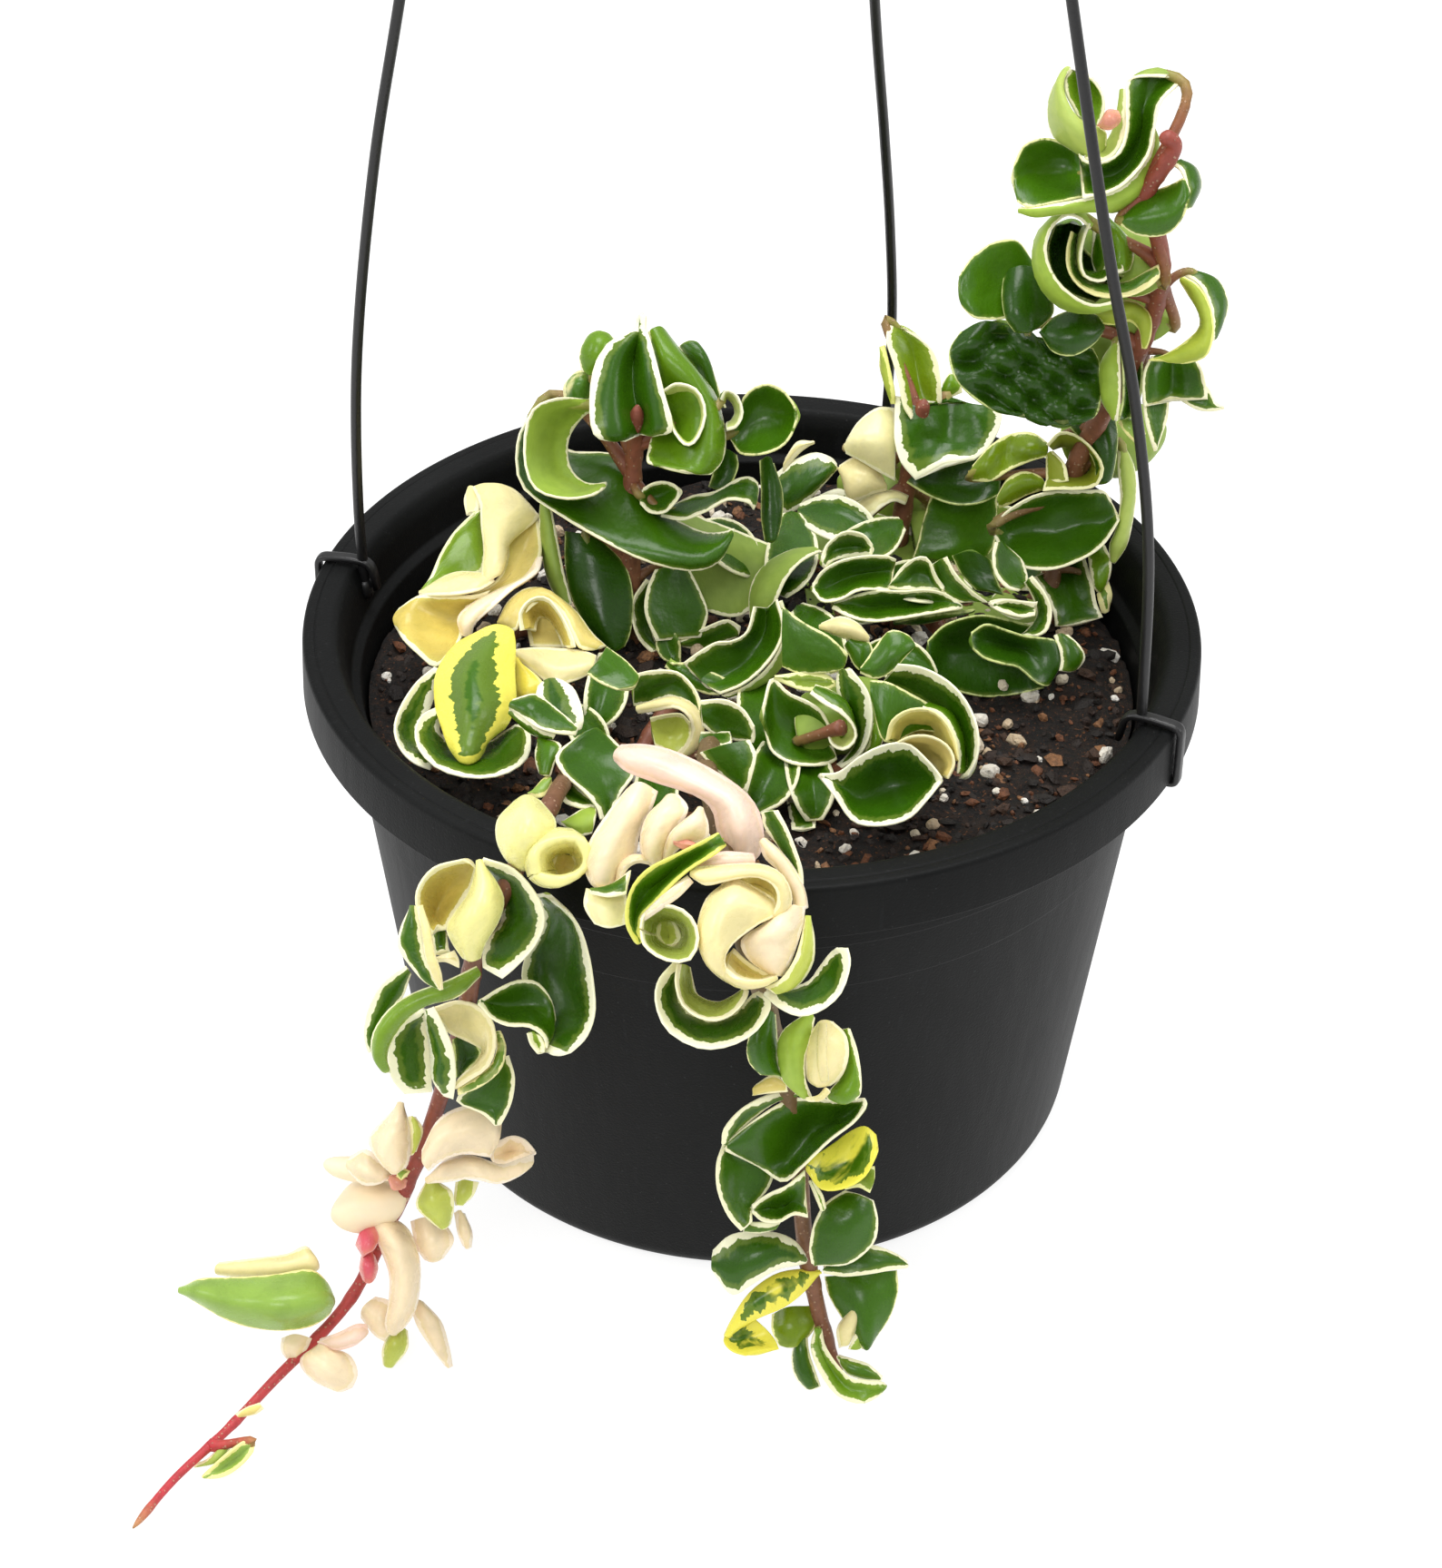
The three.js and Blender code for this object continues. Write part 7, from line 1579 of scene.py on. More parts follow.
             [(724, 1020, -6), (715, 1012, 0), (709, 1008, 6)],
             [(732, 1014, -8), (729, 1005, 0), (727, 997, 7)],
             [(742, 1014, -8), (746, 1008, 1), (750, 1001, 8)],
             [(748, 1022, -8), (758, 1020, 2), (765, 1016, 9)],
             [(750, 1032, -8), (760, 1036, 3), (769, 1038, 10)],
             [(745, 1042, -7), (752, 1050, 3), (758, 1058, 10)],
             [(735, 1042, -7), (733, 1050, 2), (732, 1057, 9)],
             [(726, 1036, -5), (717, 1040, 1), (710, 1042, 7)],
             [(722, 1030, -4), (712, 1027, 1), (705, 1024, 6)]]),
        (None, 106, 0, "yellowgreen",
            [[(722, 1016, -6), (734, 1012, -7), (744, 1016, -6)],
             [(722, 1030, -6), (736, 1030, -9), (750, 1032, -6)],
             [(728, 1042, -6), (736, 1044, -7), (744, 1040, -6)]]),
        (9, 108, 0, "cream",
            [[(795, 975, 2), (810, 972, 4), (828, 976, 2)],
             [(778, 990, 5), (808, 988, 10), (860, 1002, 5)],
             [(769, 1015, 6), (795, 1012, 12), (835, 1018, 8)],
             [(769, 1040, 6), (787, 1040, 12), (808, 1038, 10)],
             [(778, 1062, 5), (788, 1062, 10), (798, 1056, 9)],
             [(795, 1078, 3), (800, 1075, 7), (804, 1072, 8)],
             [(815, 1088, 1), (816, 1086, 4), (820, 1082, 6)]]),
        (10, 108, 0, "tan",
            [[(800, 1066, 6), (802, 1056, 4), (808, 1044, 4)],
             [(814, 1078, 6), (816, 1068, 1), (822, 1058, 3)],
             [(836, 1082, 6), (836, 1076, 2), (838, 1068, 3)],
             [(852, 1078, 5), (853, 1076, 4), (854, 1074, 4)]]),
        (None, 108, 0, "cream",
            [[(803, 1080, 6), (801, 1074, 8), (799, 1066, 9)],
             [(818, 1089, 6), (818, 1084, 9), (815, 1078, 9)],
             [(838, 1086, 6), (838, 1083, 8), (836, 1080, 8)],
             [(856, 1077, 3), (855, 1076, 4), (854, 1075, 4)]]),
        (None, 108, 0, "peach",
            [[(862, 1004, 3), (874, 1000, 4), (887, 998, 1)],
             [(838, 1020, 5), (860, 1018, 9), (884, 1018, 2)],
             [(816, 1036, 6), (848, 1038, 9), (878, 1040, 2)],
             [(824, 1056, 5), (846, 1056, 7), (871, 1060, 2)],
             [(846, 1072, 3), (854, 1074, 3), (863, 1076, 1)]]),
        (None, 104, 0, "cream",
            [[(765, 968, 5), (762, 962, 5), (760, 955, 4)], [(778, 975, 7), (780, 965, 7), (785, 953, 4)],
             [(800, 970, 8), (808, 962, 8), (815, 951, 5)], [(828, 965, 8), (834, 960, 8), (840, 952, 5)],
             [(848, 972, 8), (856, 968, 8), (860, 962, 5)], [(856, 985, 8), (865, 984, 8), (871, 982, 5)],
             [(854, 1000, 7), (862, 1003, 7), (870, 1000, 4)],
             [(846, 1008, 6), (850, 1010, 6), (858, 1010, 3)]]),
        (None, 104, 0, "tan",
            [[(808, 974, 3), (812, 970, 2), (820, 962, 4)], [(830, 980, 0), (834, 972, -1), (842, 962, 3)],
             [(848, 992, 1), (853, 984, 0), (858, 974, 3)],
             [(856, 1002, 4), (859, 1000, 4), (862, 994, 4)]]),
        (11, 100, 0, "peach",
            [[(836, 928, 0), (840, 926, 1), (844, 924, 0)], [(842, 945, 1), (852, 940, 3), (860, 938, 1)],
             [(860, 962, 1), (868, 960, 3), (876, 958, 1)], [(872, 985, 1), (880, 983, 3), (886, 980, 1)],
             [(874, 1004, 2), (882, 1003, 3), (890, 1000, 1)]]),
        (1, 94, 0, "pink",
            [[(762, 960, 4), (764, 954, 5), (770, 950, 4)], [(790, 958, 5), (792, 950, 7), (795, 938, 5)],
             [(830, 954, 4), (832, 948, 5), (830, 940, 3)]]),
        (None, 98, 0, "edge",
            [[(838, 895, 0), (848, 893, 1), (857, 893, 2)], [(842, 912, -1), (858, 912, 1), (868, 915, 3)],
             [(856, 930, -1), (868, 935, 1), (877, 938, 3)],
             [(872, 955, -1), (878, 957, 1), (883, 958, 3)], [(880, 976, 0), (882, 976, 1),
              (884, 976, 2)]]),
        (None, 112, 0, "yellowgreen",
            [[(886, 1012, 2), (889, 1009, 2), (892, 1010, 1)],
             [(882, 1035, 3), (889, 1034, 3), (897, 1034, 1)],
             [(874, 1058, 4), (884, 1060, 3), (895, 1062, 1)],
             [(860, 1078, 4), (868, 1084, 3), (878, 1086, 1)],
             [(842, 1088, 3), (850, 1092, 3), (858, 1094, 1)]]),
        (None, 62, 0, "edge",
            [[(770, 829, 0), (798, 820, 1), (826, 815, 2)], [(785, 845, 0), (808, 840, 1), (833, 832, 3)],
             [(800, 858, 0), (814, 856, 1), (828, 855, 3)], [(815, 868, 0), (819, 870, 1), (823, 872, 2)]]),
        (None, 124, 0, "wide",
            [[(742, 1060, 4), (746, 1061, 3), (749, 1063, 1)],
             [(725, 1080, 7), (735, 1083, 3), (746, 1086, 0)],
             [(722, 1105, 8), (735, 1105, 3), (750, 1104, -1)],
             [(735, 1135, 9), (748, 1125, 3), (762, 1117, -1)],
             [(768, 1154, 10), (774, 1138, 4), (782, 1124, 0)],
             [(800, 1153, 10), (801, 1136, 4), (802, 1120, 0)],
             [(830, 1138, 9), (824, 1124, 3), (817, 1108, 0)],
             [(847, 1114, 7), (838, 1106, 3), (828, 1096, 0)],
             [(847, 1098, 5), (842, 1095, 4), (836, 1092, 2)]]),
        (None, 124, 0, "palering",
            [[(746, 1062, 6), (752, 1062, 4), (760, 1066, 0)],
             [(744, 1083, 8), (752, 1084, 3), (764, 1086, -3)],
             [(751, 1106, 9), (759, 1100, 3), (768, 1096, -4)],
             [(768, 1120, 10), (773, 1111, 4), (779, 1102, -4)],
             [(788, 1124, 10), (789, 1114, 4), (790, 1104, -4)],
             [(806, 1117, 9), (801, 1110, 4), (798, 1102, -3)],
             [(820, 1102, 7), (816, 1098, 4), (812, 1094, 0)],
             [(824, 1091, 5), (822, 1090, 4), (819, 1088, 3)]]),
        (None, 120, 0, "wide",
            [[(842, 1096, 3), (843, 1093, 3), (846, 1091, 2)],
             [(858, 1110, 6), (864, 1098, 2), (872, 1088, 0)],
             [(880, 1119, 8), (886, 1100, 2), (892, 1080, -2)],
             [(904, 1113, 8), (905, 1090, 1), (902, 1066, -3)],
             [(926, 1094, 7), (916, 1075, 1), (908, 1058, -2)],
             [(936, 1064, 5), (926, 1056, 1), (914, 1050, -1)],
             [(934, 1044, 3), (928, 1044, 2), (922, 1044, 1)]]),
        (None, 150, 0, "lightback",
            [[(897, 1122, 6), (892, 1119, 6), (884, 1119, 5)],
             [(893, 1142, 9), (878, 1138, 11), (862, 1136, 5)],
             [(886, 1165, 10), (871, 1162, 12), (855, 1160, 5)],
             [(887, 1190, 8), (875, 1188, 9), (861, 1188, 4)],
             [(894, 1208, 5), (888, 1209, 5), (880, 1207, 4)]]),
        (None, 150, 0, "cream",
            [[(897, 1132, 8), (906, 1126, 8), (918, 1126, 7)],
             [(889, 1148, 9), (906, 1146, 11), (932, 1140, 8)],
             [(886, 1168, 9), (906, 1166, 11), (935, 1162, 8)],
             [(889, 1188, 7), (902, 1186, 9), (928, 1184, 6)],
             [(898, 1196, 6), (904, 1196, 7), (914, 1196, 6)]]),
        (None, 150, 0, "cream",
            [[(903, 1128, 10), (906, 1128, 11), (910, 1127, 10)],
             [(900, 1150, 11), (905, 1150, 13), (910, 1150, 11)],
             [(900, 1172, 10), (905, 1172, 12), (911, 1172, 10)],
             [(905, 1192, 8), (908, 1191, 9), (913, 1190, 8)]]),
        (None, 150, 0, "cream",
            [[(890, 1212, 6), (890, 1211, 6), (891, 1210, 6)],
             [(904, 1212, 7), (903, 1209, 8), (902, 1206, 7)],
             [(914, 1202, 6), (912, 1200, 7), (909, 1197, 6)]]),
        (None, 150, 0, "pale",
            [[(928, 1134, 2), (932, 1133, 3), (936, 1134, 3)],
             [(930, 1160, 1), (938, 1158, 3), (944, 1158, 4)],
             [(926, 1185, 2), (938, 1184, 5), (948, 1184, 5)],
             [(910, 1206, 3), (930, 1206, 6), (948, 1204, 5)],
             [(914, 1211, 3), (928, 1214, 4), (940, 1212, 3)]]),
        (None, 144, 0, "green",
            [[(838, 1118, 0), (846, 1114, 1), (854, 1118, 0)],
             [(824, 1145, 1), (840, 1142, 3), (856, 1142, 0)],
             [(824, 1168, 1), (842, 1168, 3), (858, 1170, 0)],
             [(838, 1184, 1), (850, 1184, 2), (864, 1188, 0)]]),
        (None, 156, 0, "tan",
            [[(828, 1206, 0), (830, 1202, 1), (834, 1194, 0)],
             [(848, 1204, 1), (850, 1195, 2), (850, 1184, 0)],
             [(868, 1202, 1), (866, 1198, 1), (862, 1190, 0)]]),
        (None, 178, 0, "edge",
            [[(878, 1202, 5), (878, 1204, 5), (876, 1206, 4)],
             [(850, 1204, 6), (852, 1210, 5), (854, 1214, 4)],
             [(818, 1220, 7), (824, 1226, 5), (830, 1232, 4)],
             [(798, 1242, 7), (804, 1246, 5), (810, 1250, 4)],
             [(795, 1260, 5), (797, 1261, 5), (800, 1261, 4)]]),
        (None, 178, 0, "edge",
            [[(800, 1268, 5), (799, 1265, 5), (800, 1262, 5), (802, 1258, 5), (806, 1254, 5)],
             [(835, 1285, 0), (830, 1272, 2), (830, 1258, 4), (832, 1242, 5), (836, 1230, 5)],
             [(862, 1302, 2), (866, 1280, -3), (868, 1258, -2), (868, 1232, 2), (866, 1212, 4)],
             [(884, 1285, 6), (890, 1268, -1), (892, 1250, -4), (893, 1228, -1), (892, 1209, 4)],
             [(912, 1258, 8), (916, 1246, 1), (918, 1236, -2), (920, 1222, 1), (922, 1212, 5)],
             [(938, 1238, 8), (940, 1232, 4), (942, 1226, 3), (944, 1218, 4), (945, 1210, 6)],
             [(953, 1220, 7), (953, 1218, 7), (953, 1215, 7), (953, 1212, 7), (952, 1209, 7)]]),
        (None, 178, 0, "edge",
            [[(796, 1260, 3), (800, 1260, 3), (806, 1262, 2)],
             [(789, 1282, 6), (815, 1280, 0), (850, 1280, -2)],
             [(790, 1310, 7), (815, 1308, 1), (848, 1306, -2)],
             [(801, 1338, 6), (815, 1332, 2), (830, 1328, 0)],
             [(816, 1356, 4), (822, 1352, 3), (828, 1346, 2)]]),
        (None, 186, 0, "edge",
            [[(829, 1336, 7), (828, 1332, 7), (829, 1326, 7)],
             [(840, 1345, 8), (844, 1330, 3), (848, 1314, 7)],
             [(858, 1346, 8), (862, 1330, 2), (866, 1306, 7)],
             [(874, 1338, 7), (876, 1322, 3), (878, 1296, 7)],
             [(890, 1341, 5), (888, 1325, 4), (886, 1288, 5)]]),
        (None, 192, 0, "lightback",
            [[(818, 1356, 2), (820, 1352, 3), (824, 1346, 3)],
             [(836, 1358, 2), (838, 1352, 3), (840, 1346, 4)],
             [(852, 1354, 2), (856, 1350, 3), (860, 1346, 4)]]),
        (None, 184, 0, "yellowedge",
            [[(889, 1290, 3), (888, 1284, 3), (892, 1276, 2)],
             [(905, 1310, 5), (908, 1292, 2), (914, 1262, 0)],
             [(930, 1309, 6), (934, 1284, 2), (936, 1246, 0)],
             [(952, 1296, 6), (954, 1272, 3), (952, 1240, 2)],
             [(966, 1270, 4), (967, 1262, 3), (965, 1250, 3)]]),
        (None, 188, 0, "olive",
            [[(930, 1310, 2), (934, 1304, 2), (940, 1296, 2)],
             [(945, 1308, 3), (950, 1296, 3), (956, 1286, 3)],
             [(958, 1314, 2), (962, 1300, 2), (963, 1284, 2)]]),
        (None, 190, 0, "pale",
            [[(890, 1300, 2), (893, 1300, 2), (896, 1302, 2)],
             [(898, 1320, 2), (902, 1318, 2), (906, 1315, 2)],
             [(904, 1334, 1), (907, 1333, 1), (910, 1330, 1)]]),
        (None, 205, 0, "edge",
            [[(900, 1393, 3), (897, 1392, 3), (893, 1390, 3)],
             [(935, 1392, 3), (915, 1380, 5), (891, 1374, 4)],
             [(962, 1370, 4), (930, 1355, 7), (896, 1348, 5)],
             [(967, 1345, 4), (938, 1335, 7), (908, 1326, 5)],
             [(962, 1322, 4), (948, 1316, 5), (930, 1311, 4)]]),
        (None, 215, 0, "edge",
            [[(908, 1402, 3), (907, 1398, 3), (908, 1392, 3)],
             [(930, 1406, 5), (928, 1394, 4), (930, 1377, 3)],
             [(960, 1403, 5), (958, 1388, 4), (955, 1370, 3)],
             [(985, 1398, 4), (985, 1390, 3), (982, 1378, 2)],
             [(1000, 1396, 2), (1000, 1393, 2), (999, 1389, 2)]]),
        (None, 225, 0, "green",
            [[(908, 1406, -2), (945, 1404, -1), (988, 1399, -2)],
             [(912, 1425, -2), (950, 1428, 1), (989, 1422, -2)],
             [(925, 1448, -2), (955, 1452, 1), (980, 1450, -2)],
             [(942, 1472, -2), (955, 1474, 0), (965, 1472, -2)],
             [(950, 1486, -2), (954, 1486, -2), (958, 1484, -2)]]),
        (None, 236, 0, "cream",
            [[(940, 1440, 4), (944, 1438, 5), (947, 1441, 4)],
             [(922, 1462, 4), (935, 1460, 6), (946, 1458, 4)],
             [(924, 1485, 3), (930, 1482, 4), (936, 1478, 3)]]),
        (None, 236, 0, "lightback",
            [[(952, 1445, 2), (949, 1443, 3), (946, 1442, 3)],
             [(957, 1462, 2), (950, 1462, 4), (944, 1464, 4)],
             [(950, 1484, 1), (942, 1486, 2), (934, 1486, 3)]]),
        (None, 212, 0, "wide",
            [[(788, 1404, 3), (785, 1392, 4), (786, 1376, 3)],
             [(806, 1426, 4), (806, 1398, 6), (804, 1360, 4)],
             [(826, 1416, 5), (830, 1388, 7), (832, 1355, 4)],
             [(852, 1400, 5), (856, 1380, 6), (858, 1358, 4)],
             [(876, 1394, 4), (877, 1384, 5), (876, 1367, 4)],
             [(888, 1391, 3), (888, 1388, 3), (887, 1382, 3)]]),
        (None, 224, 0, "yellowedge",
            [[(902, 1399, 4), (903, 1401, 4), (902, 1403, 4)],
             [(878, 1398, 5), (882, 1408, 6), (887, 1422, 5)],
             [(852, 1404, 6), (858, 1420, 8), (864, 1440, 6)],
             [(825, 1424, 6), (832, 1436, 8), (840, 1450, 6)],
             [(806, 1452, 6), (813, 1456, 7), (820, 1460, 6)],
             [(797, 1472, 4), (800, 1472, 5), (804, 1471, 4)]]),
        (None, 224, 0, "yellowedge",
            [[(800, 1468, 2), (816, 1462, 2), (832, 1453, 2)],
             [(797, 1478, 4), (818, 1474, 1), (844, 1464, 1)],
             [(806, 1488, 5), (824, 1482, 2), (854, 1476, 2)],
             [(822, 1493, 5), (838, 1490, 4), (858, 1486, 3)]]),
        (None, 230, 0, "olive",
            [[(850, 1448, -1), (870, 1440, 0), (895, 1438, -1)],
             [(850, 1465, 0), (872, 1464, 2), (898, 1460, -1)],
             [(858, 1482, 0), (872, 1484, 1), (885, 1478, -1)]]),
        (None, 238, 0, "edge",
            [[(880, 1470, 1), (884, 1467, 2), (889, 1466, 2)],
             [(872, 1492, 2), (881, 1490, 4), (891, 1488, 3)],
             [(875, 1515, 2), (886, 1512, 4), (898, 1510, 3)],
             [(888, 1530, 2), (896, 1530, 3), (904, 1527, 2)]]),
        (None, 242, 0, "pale",
            [[(898, 1463, 4), (901, 1462, 5), (905, 1466, 4)],
             [(893, 1485, 6), (901, 1483, 4), (909, 1482, 5)],
             [(903, 1512, 8), (912, 1506, 5), (920, 1500, 6)],
             [(922, 1537, 9), (930, 1528, 6), (936, 1517, 7)],
             [(948, 1546, 9), (951, 1534, 7), (953, 1520, 7)],
             [(968, 1537, 6), (969, 1530, 6), (969, 1521, 6)],
             [(974, 1527, 4), (974, 1525, 4), (973, 1522, 4)]]),
        (None, 244, 0, "backcream",
            [[(922, 1496, 3), (923, 1494, 3), (925, 1492, 3)],
             [(932, 1512, 4), (936, 1506, 5), (941, 1497, 3)],
             [(950, 1520, 4), (953, 1512, 5), (956, 1502, 3)],
             [(970, 1521, 3), (971, 1519, 3), (972, 1515, 3)]]),
    ],
    "stem_front_right": [
        (2, 14, 0, "edge",
            [[(800, 824, 1), (812, 818, 2), (822, 814, 3)], [(796, 842, 1), (814, 838, 2), (834, 832, 4)],
             [(796, 858, 1), (812, 856, 2), (830, 852, 4)], [(806, 872, 1), (815, 872, 2), (824, 870, 3)]]),
        (7, 22, 0, "edge",
            [[(843, 805, 5), (840, 790, 6), (841, 775, 6)], [(850, 828, 6), (850, 795, 2), (850, 746, 3)],
             [(870, 841, 8), (868, 805, 1), (868, 762, 4)], [(892, 844, 9), (888, 812, 0), (888, 771, 5)],
             [(912, 842, 8), (906, 818, 1), (904, 782, 6)], [(922, 836, 6), (916, 820, 3), (914, 800, 6)]]),
        (8, 24, 0, "backcream",
            [[(892, 764, 8), (896, 760, 7), (898, 754, 5)], [(908, 776, 10), (912, 768, 8), (914, 760, 4)],
             [(926, 786, 11), (930, 778, 8), (930, 772, 3)],
             [(940, 800, 11), (937, 796, 4), (932, 792, -2)],
             [(942, 815, 12), (938, 808, 4), (932, 804, -3)],
             [(930, 826, 12), (928, 818, 4), (926, 812, -3)],
             [(916, 820, 11), (919, 812, 4), (921, 806, -3)],
             [(911, 804, 9), (915, 800, 4), (918, 796, -1)]]),
        (None, 24, 0, "yellowgreen",
            [[(914, 792, 0), (922, 790, -2), (932, 792, -1)],
             [(914, 806, -1), (924, 806, -4), (938, 806, -1)],
             [(920, 820, 0), (926, 820, -2), (934, 818, 0)]]),
        (6, 24, 0, "wide",
            [[(922, 742, 2), (930, 736, 4), (938, 738, 6)], [(922, 762, 1), (936, 758, 4), (956, 762, 8)],
             [(936, 790, 1), (946, 790, 4), (961, 788, 9)], [(944, 815, 1), (950, 814, 4), (957, 812, 9)],
             [(930, 835, 2), (938, 836, 4), (946, 832, 8)], [(918, 844, 4), (922, 847, 4), (926, 846, 5)]]),
        (None, 24, 0, "pale",
            [[(960, 796, 3), (963, 797, 3), (966, 800, 3)], [(958, 815, 3), (966, 814, 4), (972, 814, 2)],
             [(952, 828, 3), (960, 830, 3), (968, 824, 2)]]),
        (4, 24, 0, "green",
            [[(862, 735, 0), (862, 700, 1), (862, 668, 2)], [(880, 742, 1), (882, 712, 2), (886, 686, 3)],
             [(905, 742, 2), (908, 718, 3), (912, 700, 4)], [(928, 738, 3), (932, 730, 3), (934, 720, 4)]]),
        (5, 24, 0, "cream",
            [[(903, 692, 0), (904, 690, 1), (906, 686, 1)], [(920, 700, 1), (922, 690, 4), (926, 679, 2)],
             [(940, 706, 1), (942, 696, 4), (944, 686, 2)], [(958, 708, 1), (957, 704, 2), (956, 700, 2)]]),
        (None, 24, 0, "green",
            [[(930, 712, 1), (935, 706, 2), (940, 704, 2)], [(940, 732, 2), (948, 720, 3), (956, 706, 2)],
             [(946, 738, 2), (953, 732, 2), (962, 716, 2)]]),
        (3, 22, 0, "olive",
            [[(852, 748, 3), (853, 746, 3), (855, 744, 3)], [(880, 760, 4), (882, 750, 3), (884, 740, 3)],
             [(905, 762, 4), (908, 752, 3), (908, 742, 3)], [(920, 756, 3), (920, 753, 3), (919, 750, 3)]]),
        (0, 14, 0, "edge",
            [[(861, 840, 2), (875, 846, 0), (890, 848, -1)], [(865, 862, 4), (880, 864, 1), (897, 868, 0)],
             [(867, 885, 4), (882, 886, 1), (900, 890, 0)], [(872, 914, 3), (884, 915, 1), (898, 912, 0)]]),
        (9, 40, 0, "green",
            [[(948, 742, 3), (948, 738, 3), (950, 734, 3)], [(964, 748, 4), (966, 732, 4), (964, 712, 3)],
             [(982, 740, 4), (984, 718, 5), (980, 694, 3)], [(996, 724, 4), (1000, 712, 4), (998, 698, 3)],
             [(1005, 714, 3), (1006, 710, 3), (1005, 706, 3)]]),
        (12, 46, 0, "wide",
            [[(903, 856, 6), (903, 854, 6), (904, 852, 6)], [(920, 878, 9), (922, 866, 4), (924, 850, 6)],
             [(940, 905, 11), (944, 880, 1), (948, 832, 7)],
             [(970, 910, 12), (974, 870, -2), (974, 820, 7)],
             [(1000, 902, 12), (1002, 865, -1), (1000, 819, 8)],
             [(1020, 882, 11), (1024, 862, 4), (1022, 838, 9)],
             [(1036, 862, 9), (1037, 860, 9), (1038, 857, 9)]]),
        (11, 46, 0, "tan",
            [[(985, 820, 7), (990, 820, 4), (1000, 822, 0)],
             [(1003, 811, 9), (1006, 816, 5), (1010, 828, -2)],
             [(1025, 811, 10), (1024, 818, 5), (1020, 835, -4)],
             [(1044, 822, 10), (1040, 828, 5), (1028, 842, -4)],
             [(1051, 840, 10), (1046, 843, 6), (1034, 850, -2)],
             [(1044, 858, 9), (1041, 857, 6), (1034, 856, 0)]]),
        (None, 46, 0, "creamedge",
            [[(976, 815, 6), (981, 812, 4), (990, 818, 0)],
             [(982, 794, 8), (990, 798, 3), (1000, 812, -3)],
             [(1000, 782, 9), (1004, 790, 3), (1008, 808, -5)],
             [(1022, 781, 10), (1022, 790, 3), (1018, 808, -6)],
             [(1040, 793, 10), (1035, 800, 3), (1026, 812, -5)],
             [(1052, 815, 10), (1046, 820, 4), (1036, 822, -3)],
             [(1056, 838, 9), (1051, 838, 5), (1044, 838, 0)]]),
        (None, 46, 0, "lightback",
            [[(1015, 779, 7), (1022, 777, 4), (1030, 778, 1)],
             [(1038, 790, 7), (1044, 787, 4), (1050, 790, 0)],
             [(1050, 808, 8), (1056, 806, 4), (1061, 812, 0)],
             [(1056, 830, 7), (1060, 830, 4), (1063, 832, 0)],
             [(1054, 852, 6), (1060, 852, 4), (1064, 846, 0)]]),
        (10, 46, 0, "wide",
            [[(968, 756, -3), (978, 745, -2), (990, 731, 2)],
             [(1000, 768, -4), (1008, 752, -2), (1016, 735, 5)],
             [(1030, 786, -4), (1037, 768, 0), (1044, 750, 8)],
             [(1050, 805, -3), (1057, 790, 2), (1064, 772, 9)],
             [(1060, 828, -1), (1068, 815, 4), (1076, 800, 10)],
             [(1062, 846, 2), (1070, 842, 5), (1077, 830, 9)],
             [(1056, 858, 3), (1062, 858, 5), (1066, 855, 7)]]),
        (None, 46, 0, "green",
            [[(962, 775, 1), (960, 762, 1), (958, 749, 1)], [(972, 815, 2), (974, 785, 2), (978, 751, 2)],
             [(990, 815, 1), (996, 790, 1), (1004, 764, 2)],
             [(1010, 805, 0), (1020, 792, 1), (1030, 779, 2)],
             [(1040, 808, 0), (1046, 802, 1), (1050, 795, 2)]]),
    ],
    "stem_yellow": [
        (1, 44, 0, "lightgreen",
            [[(470, 652, 2), (466, 652, 2), (463, 652, 1)], [(500, 640, -1), (485, 630, 1), (474, 636, 2)],
             [(530, 632, -2), (505, 610, 0), (484, 612, 2)],
             [(535, 605, -2), (515, 590, 0), (497, 590, 2)],
             [(532, 580, -2), (520, 574, 0), (510, 576, 2)],
             [(530, 562, -1), (527, 562, 0), (522, 566, 1)]], "cream"),
        (None, 44, 0, "yellow",
            [[(528, 540, 0), (520, 536, -1), (514, 542, -3)],
             [(529, 552, 0), (520, 550, -2), (511, 552, -3)],
             [(527, 566, 0), (520, 566, -2), (514, 568, -3)]], "cream"),
        (0, 44, 0, "cream",
            [[(520, 537, 0), (533, 534, 2), (548, 535, 3), (562, 539, 2), (574, 546, 0)],
             [(528, 555, 2), (542, 552, 4), (560, 555, 4), (578, 560, 3), (590, 564, 0)],
             [(530, 580, 3), (540, 578, 5), (553, 580, 5), (570, 575, 3), (592, 572, 0)],
             [(533, 605, 4), (540, 605, 6), (550, 603, 6), (557, 600, 3), (562, 596, 1)],
             [(531, 628, 4), (540, 626, 6), (550, 620, 6), (556, 612, 4), (558, 606, 2)],
             [(530, 640, 4), (538, 640, 5), (546, 636, 5), (552, 630, 3), (556, 622, 2)]], "cream"),
        (None, 44, 0, "tan",
            [[(558, 600, 0), (575, 585, -2), (592, 570, -1)],
             [(557, 615, 0), (576, 605, -3), (596, 595, -1)],
             [(552, 632, 1), (572, 622, -2), (596, 612, 1)],
             [(540, 645, 1), (560, 640, -1), (588, 632, 2)], [(520, 655, 1), (540, 655, 0), (566, 646, 3)],
             [(505, 668, 0), (520, 668, 1), (540, 660, 3)]], "cream"),
        (None, 44, 0, "peach",
            [[(590, 618, 2), (594, 616, 4), (597, 613, 5)], [(575, 637, 2), (584, 634, 4), (592, 630, 5)],
             [(548, 650, 2), (556, 650, 4), (566, 648, 5)], [(520, 664, 2), (530, 668, 5), (544, 668, 5)],
             [(504, 680, 2), (514, 686, 5), (524, 686, 4)], [(508, 700, 1), (514, 702, 2),
              (519, 700, 1)]], "cream"),
        (None, 44, 0, "cream",
            [[(462, 656, 3), (463, 654, 3), (465, 651, 2)], [(482, 656, 6), (482, 648, 5), (482, 638, 1)],
